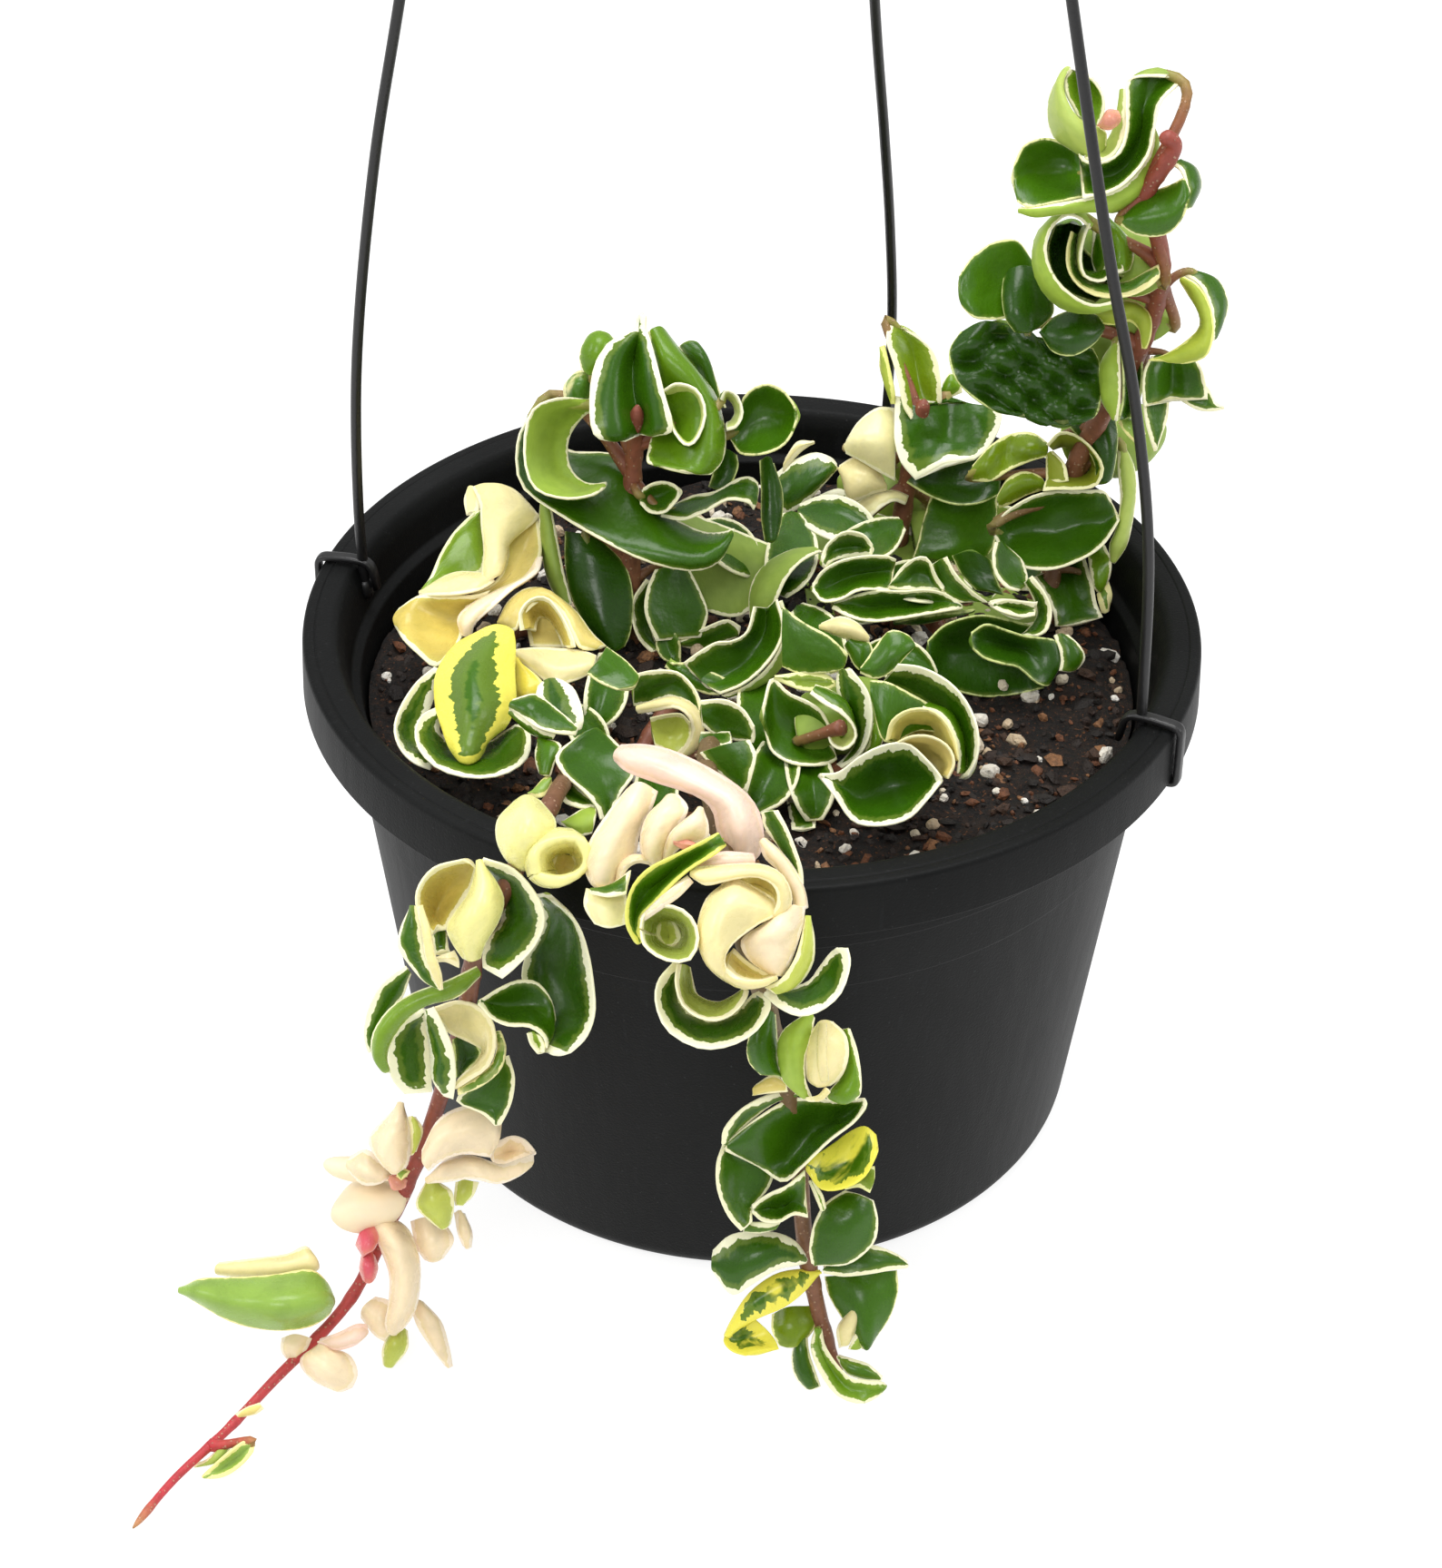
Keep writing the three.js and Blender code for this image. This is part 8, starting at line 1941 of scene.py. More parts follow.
             [(505, 655, 7), (504, 642, 5), (503, 630, 1)], [(528, 650, 6), (525, 640, 5), (522, 630, 1)],
             [(545, 640, 4), (541, 636, 4), (534, 631, 2)]], "cream"),
        (6, 44, 0, "tancup",
            [[(437, 692, 2), (436, 688, 2), (435, 682, 2), (437, 676, 2), (440, 670, 2)],
             [(445, 706, 6), (448, 692, 5), (450, 680, 4), (455, 668, 4), (462, 656, 4)],
             [(462, 722, 8), (468, 705, 3), (472, 688, 0), (477, 670, 1), (485, 656, 5)],
             [(478, 735, 8), (488, 712, 2), (492, 690, -2), (497, 672, 0), (505, 656, 5)],
             [(490, 725, 5), (500, 710, 1), (505, 692, -2), (512, 672, -1), (525, 655, 4)],
             [(505, 708, 2), (508, 702, 1), (512, 690, 0), (522, 672, 0), (540, 650, 3)]], "cream"),
        (2, 40, 0, "tan",
            [[(552, 688, 1), (550, 686, 1), (549, 683, 1)], [(568, 695, 3), (562, 678, 4), (560, 662, 2)],
             [(574, 680, 5), (578, 662, 5), (580, 648, 3)], [(600, 660, 6), (600, 654, 6), (602, 650, 3)],
             [(622, 680, 6), (628, 676, 5), (632, 671, 2)], [(636, 712, 4), (645, 704, 3), (652, 697, 1)],
             [(655, 716, 2), (662, 714, 2), (668, 712, 0)]], "cream"),
        (None, 40, 0, "tancup",
            [[(590, 695, 0), (580, 692, 3), (573, 695, 6)], [(592, 685, -3), (580, 678, 3), (572, 675, 8)],
             [(596, 680, -4), (588, 668, 3), (584, 660, 8)],
             [(604, 682, -4), (603, 668, 3), (602, 658, 8)],
             [(610, 690, -3), (614, 682, 3), (618, 676, 7)],
             [(616, 702, -1), (624, 702, 3), (630, 700, 6)], [(620, 714, 0), (628, 714, 3),
              (634, 713, 5)]], "cream"),
        (None, 40, 0, "tan",
            [[(580, 672, -4), (598, 664, -5), (614, 674, -4)],
             [(580, 690, -4), (600, 690, -6), (622, 690, -4)],
             [(584, 712, -4), (604, 714, -5), (628, 712, -4)]], "cream"),
        (3, 44, 0, "cream",
            [[(566, 722, 2), (566, 719, 2), (567, 715, 2)], [(590, 742, 3), (590, 728, 4), (590, 713, 2)],
             [(610, 755, 4), (612, 735, 5), (615, 714, 2)], [(632, 750, 4), (636, 734, 5), (640, 716, 2)],
             [(650, 742, 3), (655, 732, 4), (657, 722, 2)]], "cream"),
        (None, 44, 0, "vivid",
            [[(566, 722, 2), (568, 726, 3), (572, 730, 3)], [(566, 745, 2), (578, 745, 4), (592, 745, 4)],
             [(568, 765, 2), (580, 762, 4), (600, 755, 4)], [(575, 780, 1), (585, 772, 2),
              (598, 764, 2)]], "cream"),
        (4, 50, 0, "yellowpatch",
            [[(528, 695, 1), (538, 692, 2), (548, 691, 3), (558, 692, 2), (566, 696, 1)],
             [(500, 711, 3), (518, 712, 6), (536, 712, 8), (552, 712, 7), (568, 712, 4)],
             [(480, 742, 3), (500, 742, 8), (522, 742, 11), (545, 742, 9), (567, 740, 4)],
             [(479, 775, 3), (500, 775, 9), (522, 775, 12), (546, 775, 10), (568, 772, 4)],
             [(486, 800, 4), (502, 802, 9), (520, 802, 11), (540, 800, 8), (558, 800, 3)],
             [(494, 822, 5), (504, 826, 8), (516, 828, 9), (528, 824, 7), (540, 812, 3)],
             [(505, 838, 5), (510, 841, 6), (516, 842, 6), (524, 839, 5), (532, 830, 3)]], "yellow"),
        (None, 50, 0, "wide",
            [[(478, 735, 2), (482, 738, 1), (486, 742, -1)],
             [(458, 752, 4), (466, 758, 1), (480, 765, -2)],
             [(441, 778, 5), (452, 785, 0), (470, 790, -3)],
             [(434, 802, 6), (445, 808, 0), (462, 808, -3)],
             [(440, 824, 6), (450, 824, 1), (464, 822, -2)], [(455, 840, 6), (462, 836, 3), (470, 832, 0)],
             [(474, 848, 4), (476, 845, 3), (480, 842, 2)]], "yellow"),
        (5, 50, 0, "wide",
            [[(480, 779, 3), (484, 784, 2), (488, 790, 0)], [(464, 788, 5), (472, 798, 2), (484, 804, -1)],
             [(457, 806, 7), (470, 812, 2), (490, 815, -4)],
             [(463, 828, 8), (480, 826, 2), (500, 822, -6)],
             [(485, 848, 9), (498, 836, 2), (515, 822, -7)],
             [(520, 857, 10), (524, 838, 2), (528, 820, -8)],
             [(555, 853, 9), (548, 834, 2), (542, 816, -7)],
             [(580, 836, 8), (562, 822, 2), (550, 810, -5)],
             [(584, 812, 6), (574, 808, 2), (562, 802, -2)], [(578, 795, 3), (574, 798, 2),
              (568, 798, 0)]], "yellow"),
    ],
    "trail_left": [
        (0, 76, 0, "lemon",
            [[(565, 884, 1), (580, 879, 2), (596, 883, 1)], [(548, 903, 4), (580, 898, 12), (612, 905, 6)],
             [(547, 925, 4), (575, 925, 14), (606, 925, 8)], [(556, 945, 3), (574, 945, 9), (590, 945, 5)],
             [(568, 956, 1), (576, 957, 2), (584, 957, 1)]]),
        (1, 82, 0, "lemon",
            [[(612, 958, -2), (596, 960, 8), (588, 962, 10), (582, 966, 3)],
             [(608, 948, -4), (596, 948, 8), (586, 946, 11), (577, 945, 3)],
             [(614, 942, -6), (601, 938, 7), (592, 932, 11), (583, 923, 3)],
             [(624, 940, -6), (618, 929, 7), (612, 922, 10), (606, 913, 3)],
             [(632, 944, -6), (634, 928, 7), (636, 922, 9), (632, 914, 3)],
             [(634, 950, -6), (644, 940, 7), (646, 935, 8), (647, 930, 3)],
             [(632, 958, -5), (645, 952, 7), (647, 950, 8), (648, 948, 3)],
             [(626, 964, -4), (636, 962, 7), (639, 965, 9), (642, 962, 3)],
             [(618, 966, -3), (618, 968, 7), (618, 972, 9), (618, 976, 3)],
             [(612, 962, -2), (604, 966, 8), (600, 970, 10), (597, 976, 3)],
             [(612, 958, -2), (596, 961, 8), (588, 963, 10), (582, 967, 3)]]),
        (None, 82, 0, "tan",
            [[(608, 944, -4), (622, 938, -5), (634, 944, -4)],
             [(606, 956, -4), (622, 954, -7), (638, 954, -4)],
             [(612, 967, -3), (622, 968, -4), (632, 964, -3)]]),
        (None, 100, 0, "wide",
            [[(528, 950, 2), (531, 948, 4), (535, 946, 5)], [(543, 975, -3), (556, 966, 0), (566, 957, 6)],
             [(552, 1000, -5), (572, 992, 0), (590, 984, 7)],
             [(552, 1015, -5), (575, 1015, 0), (600, 1012, 8)],
             [(540, 1030, -4), (565, 1036, 1), (590, 1040, 8)],
             [(532, 1050, 0), (552, 1056, 4), (570, 1063, 8)],
             [(532, 1066, 3), (542, 1072, 5), (553, 1078, 7)]]),
        (None, 100, 0, "lemon",
            [[(526, 950, 5), (528, 949, 6), (531, 951, 5)], [(516, 984, 6), (532, 976, 10), (547, 972, 5)],
             [(502, 1004, 7), (527, 998, 13), (555, 992, 5)],
             [(492, 1022, 7), (520, 1020, 13), (549, 1015, 6)],
             [(498, 1038, 6), (516, 1040, 11), (535, 1038, 7)],
             [(510, 1056, 4), (520, 1058, 7), (529, 1056, 5)]]),
        (None, 100, 0, "tancup",
            [[(508, 947, 6), (518, 950, 3), (526, 958, 2)], [(478, 955, 7), (500, 965, 0), (522, 975, 0)],
             [(461, 975, 8), (485, 985, -3), (512, 990, 0)],
             [(458, 995, 8), (478, 1003, -3), (500, 1008, 0)],
             [(465, 1018, 7), (478, 1018, 0), (494, 1020, 1)],
             [(474, 1032, 6), (482, 1024, 3), (490, 1024, 2)]]),
        (None, 100, 0, "cream",
            [[(459, 1000, 9), (462, 998, 9), (465, 998, 8)],
             [(464, 1025, 9), (469, 1024, 10), (474, 1024, 9)],
             [(467, 1050, 9), (473, 1050, 10), (479, 1050, 9)],
             [(474, 1072, 8), (480, 1072, 9), (486, 1072, 8)],
             [(484, 1088, 7), (486, 1090, 7), (488, 1090, 7)]]),
        (None, 100, 0, "edge",
            [[(452, 1000, 3), (455, 998, 4), (459, 999, 4)],
             [(441, 1022, 4), (452, 1020, 5), (463, 1020, 5)],
             [(438, 1042, 5), (452, 1042, 5), (466, 1040, 5)],
             [(450, 1062, 5), (460, 1060, 5), (470, 1056, 5)],
             [(466, 1080, 4), (472, 1078, 5), (480, 1074, 5)],
             [(482, 1088, 4), (484, 1088, 4), (486, 1087, 4)]]),
        (None, 104, 0, "edge",
            [[(476, 1030, 2), (484, 1024, 2), (492, 1030, 1)],
             [(476, 1044, 3), (485, 1044, 3), (494, 1042, 2)],
             [(478, 1052, 4), (486, 1050, 4), (496, 1048, 3)]]),
        (None, 104, 0, "cream",
            [[(480, 1060, 4), (480, 1057, 4), (481, 1054, 4)],
             [(492, 1060, 5), (492, 1055, 5), (492, 1050, 5)],
             [(506, 1066, 4), (505, 1058, 4), (500, 1046, 4)]]),
        (None, 112, 0, "lightgreen",
            [[(525, 1064, 3), (527, 1070, 4), (528, 1076, 3)],
             [(490, 1081, 5), (497, 1090, 7), (504, 1098, 4)],
             [(455, 1094, 6), (462, 1102, 8), (470, 1107, 5)],
             [(428, 1112, 6), (438, 1118, 8), (448, 1124, 5)],
             [(411, 1138, 6), (421, 1142, 8), (431, 1148, 4)],
             [(410, 1162, 4), (418, 1164, 6), (426, 1166, 3)],
             [(422, 1180, 2), (426, 1181, 3), (430, 1182, 2)]]),
        (None, 112, 0, "edge",
            [[(447, 1064, 2), (450, 1068, 2), (452, 1074, 1)],
             [(420, 1084, 2), (432, 1092, 1), (444, 1098, 0)],
             [(405, 1112, 2), (418, 1116, 1), (430, 1118, 0)],
             [(401, 1140, 1), (408, 1140, 1), (416, 1138, 0)],
             [(406, 1160, 0), (408, 1158, 0), (411, 1154, 0)]]),
        (None, 136, 0, "wide",
            [[(462, 1113, 4), (467, 1112, 4), (472, 1113, 3)],
             [(437, 1128, 6), (455, 1128, 3), (470, 1130, 1)],
             [(427, 1155, 7), (450, 1155, 3), (473, 1158, 0)],
             [(430, 1185, 7), (453, 1185, 4), (475, 1185, 1)],
             [(446, 1205, 5), (460, 1204, 4), (476, 1203, 2)]]),
        (None, 136, 0, "wide",
            [[(468, 1116, 5), (472, 1112, 6), (478, 1109, 7)],
             [(470, 1135, 4), (478, 1132, 7), (488, 1128, 9)],
             [(474, 1160, 4), (486, 1158, 8), (499, 1156, 10)],
             [(476, 1188, 4), (488, 1188, 8), (502, 1186, 9)],
             [(488, 1206, 5), (493, 1208, 6), (499, 1211, 7)]]),
        (None, 136, 0, "cream",
            [[(482, 1118, 5), (480, 1114, 6), (479, 1109, 7)],
             [(492, 1136, 2), (498, 1118, 4), (503, 1102, 7)],
             [(508, 1144, 0), (515, 1124, 3), (524, 1106, 8)],
             [(528, 1154, 1), (536, 1138, 5), (541, 1122, 9)],
             [(530, 1160, 3), (538, 1158, 7), (546, 1148, 10)],
             [(522, 1172, 5), (530, 1174, 8), (538, 1174, 10)],
             [(505, 1188, 6), (510, 1190, 7), (516, 1190, 8)],
             [(500, 1198, 6), (501, 1199, 6), (502, 1199, 6)]]),
        (None, 136, 0, "dark",
            [[(498, 1145, -2), (510, 1142, -3), (525, 1150, -2)],
             [(500, 1165, -2), (514, 1165, -4), (530, 1162, -2)],
             [(501, 1188, -1), (506, 1186, -2), (514, 1180, -1)]]),
        (None, 136, 0, "creamedge",
            [[(545, 1136, 3), (549, 1137, 4), (553, 1140, 4)],
             [(547, 1155, 4), (552, 1155, 6), (557, 1156, 5)],
             [(541, 1172, 5), (546, 1176, 7), (551, 1178, 6)],
             [(524, 1186, 5), (527, 1192, 7), (530, 1196, 6)],
             [(504, 1200, 5), (504, 1203, 6), (504, 1206, 5)]]),
        (None, 142, 0, "edge",
            [[(548, 1172, 1), (555, 1166, 1), (560, 1162, 2)],
             [(520, 1196, 2), (545, 1190, 1), (567, 1185, 3)],
             [(502, 1212, 1), (538, 1212, 0), (565, 1208, 3)],
             [(530, 1226, 0), (546, 1224, 0), (559, 1225, 2)],
             [(546, 1240, 0), (548, 1240, 0), (551, 1239, 1)]]),
        (None, 110, 0, "wide",
            [[(590, 985, -2), (595, 986, -1), (600, 986, 0), (606, 988, 1), (612, 992, 2)],
             [(598, 1015, -6), (608, 1012, -6), (618, 1010, -3), (628, 1012, 1), (636, 1018, 5)],
             [(580, 1050, -7), (598, 1048, -8), (616, 1046, -5), (634, 1046, 0), (648, 1050, 7)],
             [(575, 1080, -5), (596, 1082, -7), (618, 1084, -5), (638, 1085, 1), (654, 1086, 8)],
             [(590, 1110, -3), (608, 1114, -5), (626, 1116, -2), (642, 1116, 3), (655, 1116, 8)],
             [(592, 1135, 0), (608, 1136, -1), (622, 1138, 2), (634, 1140, 5), (646, 1142, 8)],
             [(590, 1158, 4), (600, 1158, 4), (608, 1162, 5), (618, 1163, 6), (628, 1160, 6)]]),
        (None, 110, 0, "edge",
            [[(528, 1106, 4), (528, 1104, 3), (530, 1101, 3)],
             [(542, 1122, 7), (545, 1108, 1), (550, 1088, 3)],
             [(560, 1130, 8), (566, 1110, 0), (572, 1079, 3)],
             [(582, 1131, 8), (588, 1112, 0), (592, 1082, 1)],
             [(598, 1142, 8), (604, 1122, 2), (606, 1100, 0)],
             [(602, 1155, 6), (608, 1140, 3), (612, 1124, 1)]]),
        (None, 110, 0, "lightback",
            [[(596, 1142, 6), (588, 1136, 5), (580, 1138, 6)],
             [(600, 1152, 6), (592, 1148, 4), (584, 1150, 6)],
             [(599, 1159, 6), (596, 1160, 5), (592, 1160, 6)]]),
        (None, 165, 0, "peach",
            [[(472, 1290, 4), (468, 1280, 5), (465, 1266, 4)],
             [(486, 1279, 5), (484, 1258, 9), (484, 1232, 5)],
             [(510, 1271, 5), (512, 1246, 10), (515, 1217, 5)],
             [(534, 1274, 5), (540, 1246, 8), (548, 1218, 4)],
             [(540, 1275, 3), (548, 1255, 4), (553, 1232, 3)]]),
        (None, 175, 0, "peach",
            [[(472, 1303, 4), (471, 1300, 5), (472, 1296, 4)],
             [(490, 1302, 7), (492, 1290, 9), (492, 1277, 6)],
             [(520, 1298, 9), (520, 1287, 11), (518, 1272, 7)],
             [(548, 1304, 9), (550, 1294, 10), (550, 1282, 8)],
             [(570, 1296, 8), (572, 1288, 9), (572, 1276, 8)],
             [(586, 1284, 6), (587, 1278, 6), (588, 1270, 6)]]),
        (None, 175, 0, "peach",
            [[(545, 1282, 4), (542, 1272, 3), (546, 1258, 4)],
             [(558, 1282, 3), (560, 1268, 0), (564, 1251, 4)],
             [(574, 1276, 4), (576, 1268, 2), (578, 1255, 5)],
             [(588, 1272, 5), (589, 1270, 5), (589, 1267, 5)]]),
        (None, 170, 0, "peach",
            [[(438, 1219, 2), (441, 1216, 3), (444, 1218, 2)],
             [(420, 1236, 3), (436, 1238, 7), (450, 1238, 3)],
             [(406, 1256, 3), (430, 1260, 8), (452, 1262, 3)],
             [(418, 1280, 3), (434, 1280, 6), (449, 1282, 3)],
             [(430, 1291, 2), (434, 1292, 3), (440, 1290, 2)]]),
        (None, 170, 0, "yellowgreen",
            [[(449, 1230, 1), (454, 1230, 1), (458, 1232, 1)],
             [(452, 1250, 2), (459, 1248, 2), (466, 1244, 1)],
             [(450, 1272, 1), (454, 1272, 1), (458, 1268, 1)]]),
        (None, 178, 0, "peach",
            [[(384, 1290, 2), (384, 1282, 2), (388, 1272, 2)],
             [(400, 1305, 4), (400, 1288, 6), (404, 1266, 3)],
             [(418, 1304, 4), (420, 1292, 5), (424, 1280, 3)],
             [(428, 1296, 2), (429, 1293, 2), (430, 1289, 2)]]),
        (None, 178, 0, "rosebud",
            [[(428, 1300, 4), (430, 1296, 4), (434, 1294, 4)],
             [(432, 1310, 4), (438, 1304, 5), (444, 1296, 4)],
             [(442, 1310, 4), (446, 1306, 4), (449, 1300, 4)]]),
        (None, 178, 0, "lime",
            [[(436, 1296, 5), (440, 1290, 5), (446, 1287, 5)],
             [(442, 1300, 5), (447, 1296, 6), (452, 1290, 5)]]),
        (None, 185, 0, "yellowgreen",
            [[(470, 1300, 2), (476, 1300, 3), (482, 1302, 2)],
             [(458, 1326, 3), (475, 1322, 5), (498, 1312, 3)],
             [(470, 1342, 2), (484, 1336, 4), (500, 1330, 2)],
             [(486, 1354, 1), (490, 1353, 2), (496, 1348, 1)]]),
        (None, 185, 0, "yellowgreen",
            [[(502, 1302, 1), (512, 1300, 1), (528, 1302, 1)],
             [(500, 1318, 1), (510, 1316, 2), (522, 1316, 1)],
             [(502, 1328, 0), (506, 1327, 1), (512, 1325, 0)]]),
        (None, 200, 0, "peach",
            [[(452, 1345, 0), (470, 1342, 1), (492, 1350, 0)],
             [(458, 1372, 1), (476, 1370, 4), (500, 1366, 1)],
             [(468, 1388, 0), (478, 1389, 1), (488, 1386, 0)]]),
        (None, 200, 0, "peach",
            [[(500, 1336, 0), (506, 1334, 0), (512, 1338, 0)],
             [(504, 1358, 1), (512, 1356, 2), (520, 1358, 0)],
             [(510, 1372, 0), (515, 1375, 0), (519, 1374, 0)]]),
        (None, 208, 0, "peach",
            [[(400, 1345, 3), (410, 1340, 4), (420, 1337, 3)],
             [(412, 1360, 6), (428, 1354, 9), (446, 1350, 5)],
             [(420, 1378, 7), (440, 1374, 12), (458, 1372, 6)],
             [(429, 1405, 7), (446, 1402, 12), (463, 1400, 6)],
             [(428, 1435, 6), (444, 1435, 11), (459, 1438, 6)],
             [(424, 1458, 5), (435, 1460, 8), (447, 1460, 5)],
             [(428, 1469, 4), (433, 1470, 5), (437, 1468, 4)]]),
        (None, 208, 0, "crimson",
            [[(392, 1372, 4), (400, 1358, 6), (412, 1342, 5)],
             [(396, 1378, 6), (404, 1370, 9), (418, 1358, 7)],
             [(400, 1385, 6), (406, 1380, 9), (414, 1372, 6)]]),
        (None, 214, 0, "crimson",
            [[(398, 1384, 5), (405, 1380, 6), (413, 1384, 5)],
             [(396, 1398, 6), (406, 1396, 9), (416, 1396, 6)],
             [(400, 1410, 5), (406, 1412, 6), (413, 1408, 5)]]),
        (None, 225, 0, "peach",
            [[(398, 1452, 1), (402, 1440, 2), (414, 1428, 1)],
             [(412, 1470, 3), (418, 1455, 5), (428, 1432, 2)],
             [(424, 1478, 2), (430, 1465, 3), (430, 1445, 2)]]),
        (None, 225, 0, "peach",
            [[(452, 1440, 0), (458, 1434, 1), (466, 1434, 0)],
             [(460, 1462, 1), (474, 1458, 3), (486, 1456, 1)],
             [(476, 1486, 1), (485, 1484, 2), (495, 1484, 1)],
             [(492, 1506, 0), (495, 1507, 0), (499, 1505, 0)]]),
        (None, 225, 0, "yellowgreen",
            [[(430, 1466, 0), (440, 1462, 1), (449, 1466, 0)],
             [(421, 1486, 1), (434, 1484, 3), (449, 1486, 1)],
             [(422, 1504, 0), (428, 1506, 1), (434, 1504, 0)]]),
        (None, 236, 0, "pink",
            [[(352, 1481, 3), (352, 1478, 3), (354, 1474, 3)],
             [(370, 1487, 5), (372, 1478, 6), (374, 1467, 4)],
             [(390, 1482, 5), (392, 1472, 6), (392, 1458, 4)],
             [(402, 1472, 3), (404, 1466, 3), (404, 1458, 3)]]),
        (None, 238, 0, "peach",
            [[(350, 1482, 1), (356, 1480, 2), (364, 1484, 1)],
             [(330, 1498, 2), (356, 1496, 6), (386, 1494, 2)],
             [(342, 1518, 2), (366, 1514, 6), (394, 1512, 2)],
             [(366, 1531, 1), (376, 1532, 2), (388, 1529, 1)]]),
        (None, 238, 0, "peach",
            [[(310, 1474, 0), (326, 1471, 1), (344, 1474, 0)],
             [(310, 1488, 1), (322, 1486, 3), (338, 1486, 1)],
             [(318, 1499, 0), (324, 1498, 1), (330, 1496, 0)]]),
        (None, 232, 0, "lime",
            [[(200, 1424, 3), (199, 1421, 4), (202, 1417, 3)],
             [(222, 1438, 6), (222, 1424, 9), (222, 1408, 5)],
             [(258, 1457, 8), (258, 1435, 13), (258, 1407, 6)],
             [(300, 1465, 8), (302, 1438, 15), (302, 1404, 6)],
             [(338, 1462, 7), (342, 1434, 13), (340, 1398, 5)],
             [(360, 1450, 5), (362, 1432, 8), (358, 1410, 4)],
             [(365, 1440, 3), (366, 1434, 4), (366, 1426, 3)]]),
        (None, 232, 0, "cream",
            [[(240, 1404, 0), (238, 1398, 1), (242, 1390, 0)],
             [(270, 1408, 1), (270, 1398, 3), (270, 1387, 1)],
             [(310, 1406, 1), (312, 1396, 4), (316, 1381, 1)],
             [(340, 1402, 1), (342, 1390, 3), (336, 1372, 1)],
             [(349, 1400, 0), (349, 1396, 0), (348, 1388, 0)]]),
        (None, 258, 0, "tan",
            [[(258, 1558, 2), (262, 1559, 2), (266, 1560, 2)],
             [(272, 1550, 2), (276, 1554, 3), (282, 1557, 2)],
             [(286, 1545, 2), (288, 1548, 2), (291, 1552, 2)]]),
        (None, 268, 0, "yellowgreen",
            [[(214, 1619, 1), (216, 1620, 1), (219, 1620, 1)],
             [(232, 1604, 2), (236, 1608, 3), (243, 1610, 2)],
             [(248, 1586, 1), (252, 1588, 2), (257, 1590, 1)]]),
    ],
}


def soft_step(x):
    """0 below 0 and 1 above 1, with a smooth rise between."""
    x = np.clip(x, 0, 1)
    return x * x * (3 - 2 * x)


def blade_outline(x, base_full, tip_full):
    """A blade's width along its length, 1 at its widest: x to one power times 1 - x to another."""
    widest = base_full / (base_full + tip_full)
    most = widest ** base_full * (1 - widest) ** tip_full
    return np.clip(x, 0, 1) ** base_full * np.clip(1 - x, 0, 1) ** tip_full / most


def curled_blade(form, length, number):
    """The middle surface of a leaf as a function of x, from its foot to its tip, and v, from one
    margin to the other, -1 to 1. The midrib bends and sways along its length and the blade twists
    about it. Each half leaves the midrib at the fold and curls up as an arc, whose angle ripples
    along the blade. Also returns the half width at x as a function, and the thickness."""
    (width, fold, cup_left, cup_right, bend, bend_power, twist, sway, ripple, waves, thickness,
     base_full, tip_full) = FORMS[form]
    swing = lambda draw: 2 * hashed(number, draw) - 1
    half_width = width * (1 + 0.08 * swing(1)) * length
    cup_left, cup_right = cup_left * (1 + 0.12 * swing(2)), cup_right * (1 + 0.12 * swing(3))
    bend = np.radians(bend * (1 + 0.2 * swing(4)))
    twist, sway = np.radians(twist + 14 * swing(5)), np.radians(sway + 14 * swing(6))
    phase = hashed(number, 7)
    total = length + PETIOLE
    start = PETIOLE / total
    fine = np.linspace(0, 1, 97)
    blade = np.clip(((fine[1:] + fine[:-1]) / 2 - start) / (1 - start), 0, 1)
    pitch, yaw = bend * (blade ** bend_power - 0.45), sway * (blade ** 2 - 0.3)
    steps = np.stack([np.cos(pitch) * np.cos(yaw), np.sin(yaw), np.sin(pitch) * np.cos(yaw)], -1)
    midrib = np.vstack([np.zeros(3), np.cumsum(steps, 0) * total / 96])
    at = lambda u: np.stack([np.interp(u, fine, midrib[:, i]) for i in range(3)], -1)
    reach = lambda x: np.maximum(half_width * blade_outline(x, base_full, tip_full),
                                 np.clip(1 - x, 0, 1) ** 0.4)

    def surface(x, v):
        pitch, yaw = bend * (x ** bend_power - 0.45), sway * (x ** 2 - 0.3)
        normal = np.stack([-np.sin(pitch), 0 * pitch, np.cos(pitch)], -1)
        across = np.stack([-np.cos(pitch) * np.sin(yaw), np.cos(yaw),
                           -np.sin(pitch) * np.sin(yaw)], -1)
        turn = (twist * x)[..., None]
        across, normal = (across * np.cos(turn) + normal * np.sin(turn),
                          normal * np.cos(turn) - across * np.sin(turn))
        side, s = np.where(v >= 0, 1.0, -1.0), np.abs(v)
        outline = blade_outline(x, base_full, tip_full)
        opening = np.radians(fold) * soft_step(0.3 + 5 * x)
        wave = np.sin(2 * np.pi * (waves * x + phase + 0.35 * (side > 0)))
        curl = np.where(side > 0, cup_right, cup_left) + ripple * np.sin(np.pi * x) * wave
        curl = np.radians(curl) * np.clip(outline, 0, 1) ** 0.8
        curl = np.where(np.abs(curl) < 1e-3, 1e-3, curl)
        angle = opening + curl * s
        sideways = reach(x) / curl * (np.sin(angle) - np.sin(opening)) * side
        upwards = reach(x) / curl * (np.cos(opening) - np.cos(angle))
        spine = at(start + (1 - start) * x) - at(0.55)
        return spine + across * sideways[..., None] + normal * upwards[..., None]
    return surface, reach, thickness


def leaf_axes(turn, lean, spin):
    """A leaf's own axes in the part's frame: along its blade, across it, and out of its glossy face.
    It points at turn in the camera's plane, leans towards the camera, and spins about its length."""
    turn, lean, spin = np.radians([turn, lean, spin])
    along = np.array([np.cos(lean) * np.cos(turn), np.cos(lean) * np.sin(turn), np.sin(lean)])
    normal = np.array([-np.sin(lean) * np.cos(turn), -np.sin(lean) * np.sin(turn), np.cos(lean)])
    normal = normal * np.cos(spin) + np.cross(normal, along) * np.sin(spin)
    return np.stack([along, np.cross(normal, along), normal]) @ VIEW_AXES


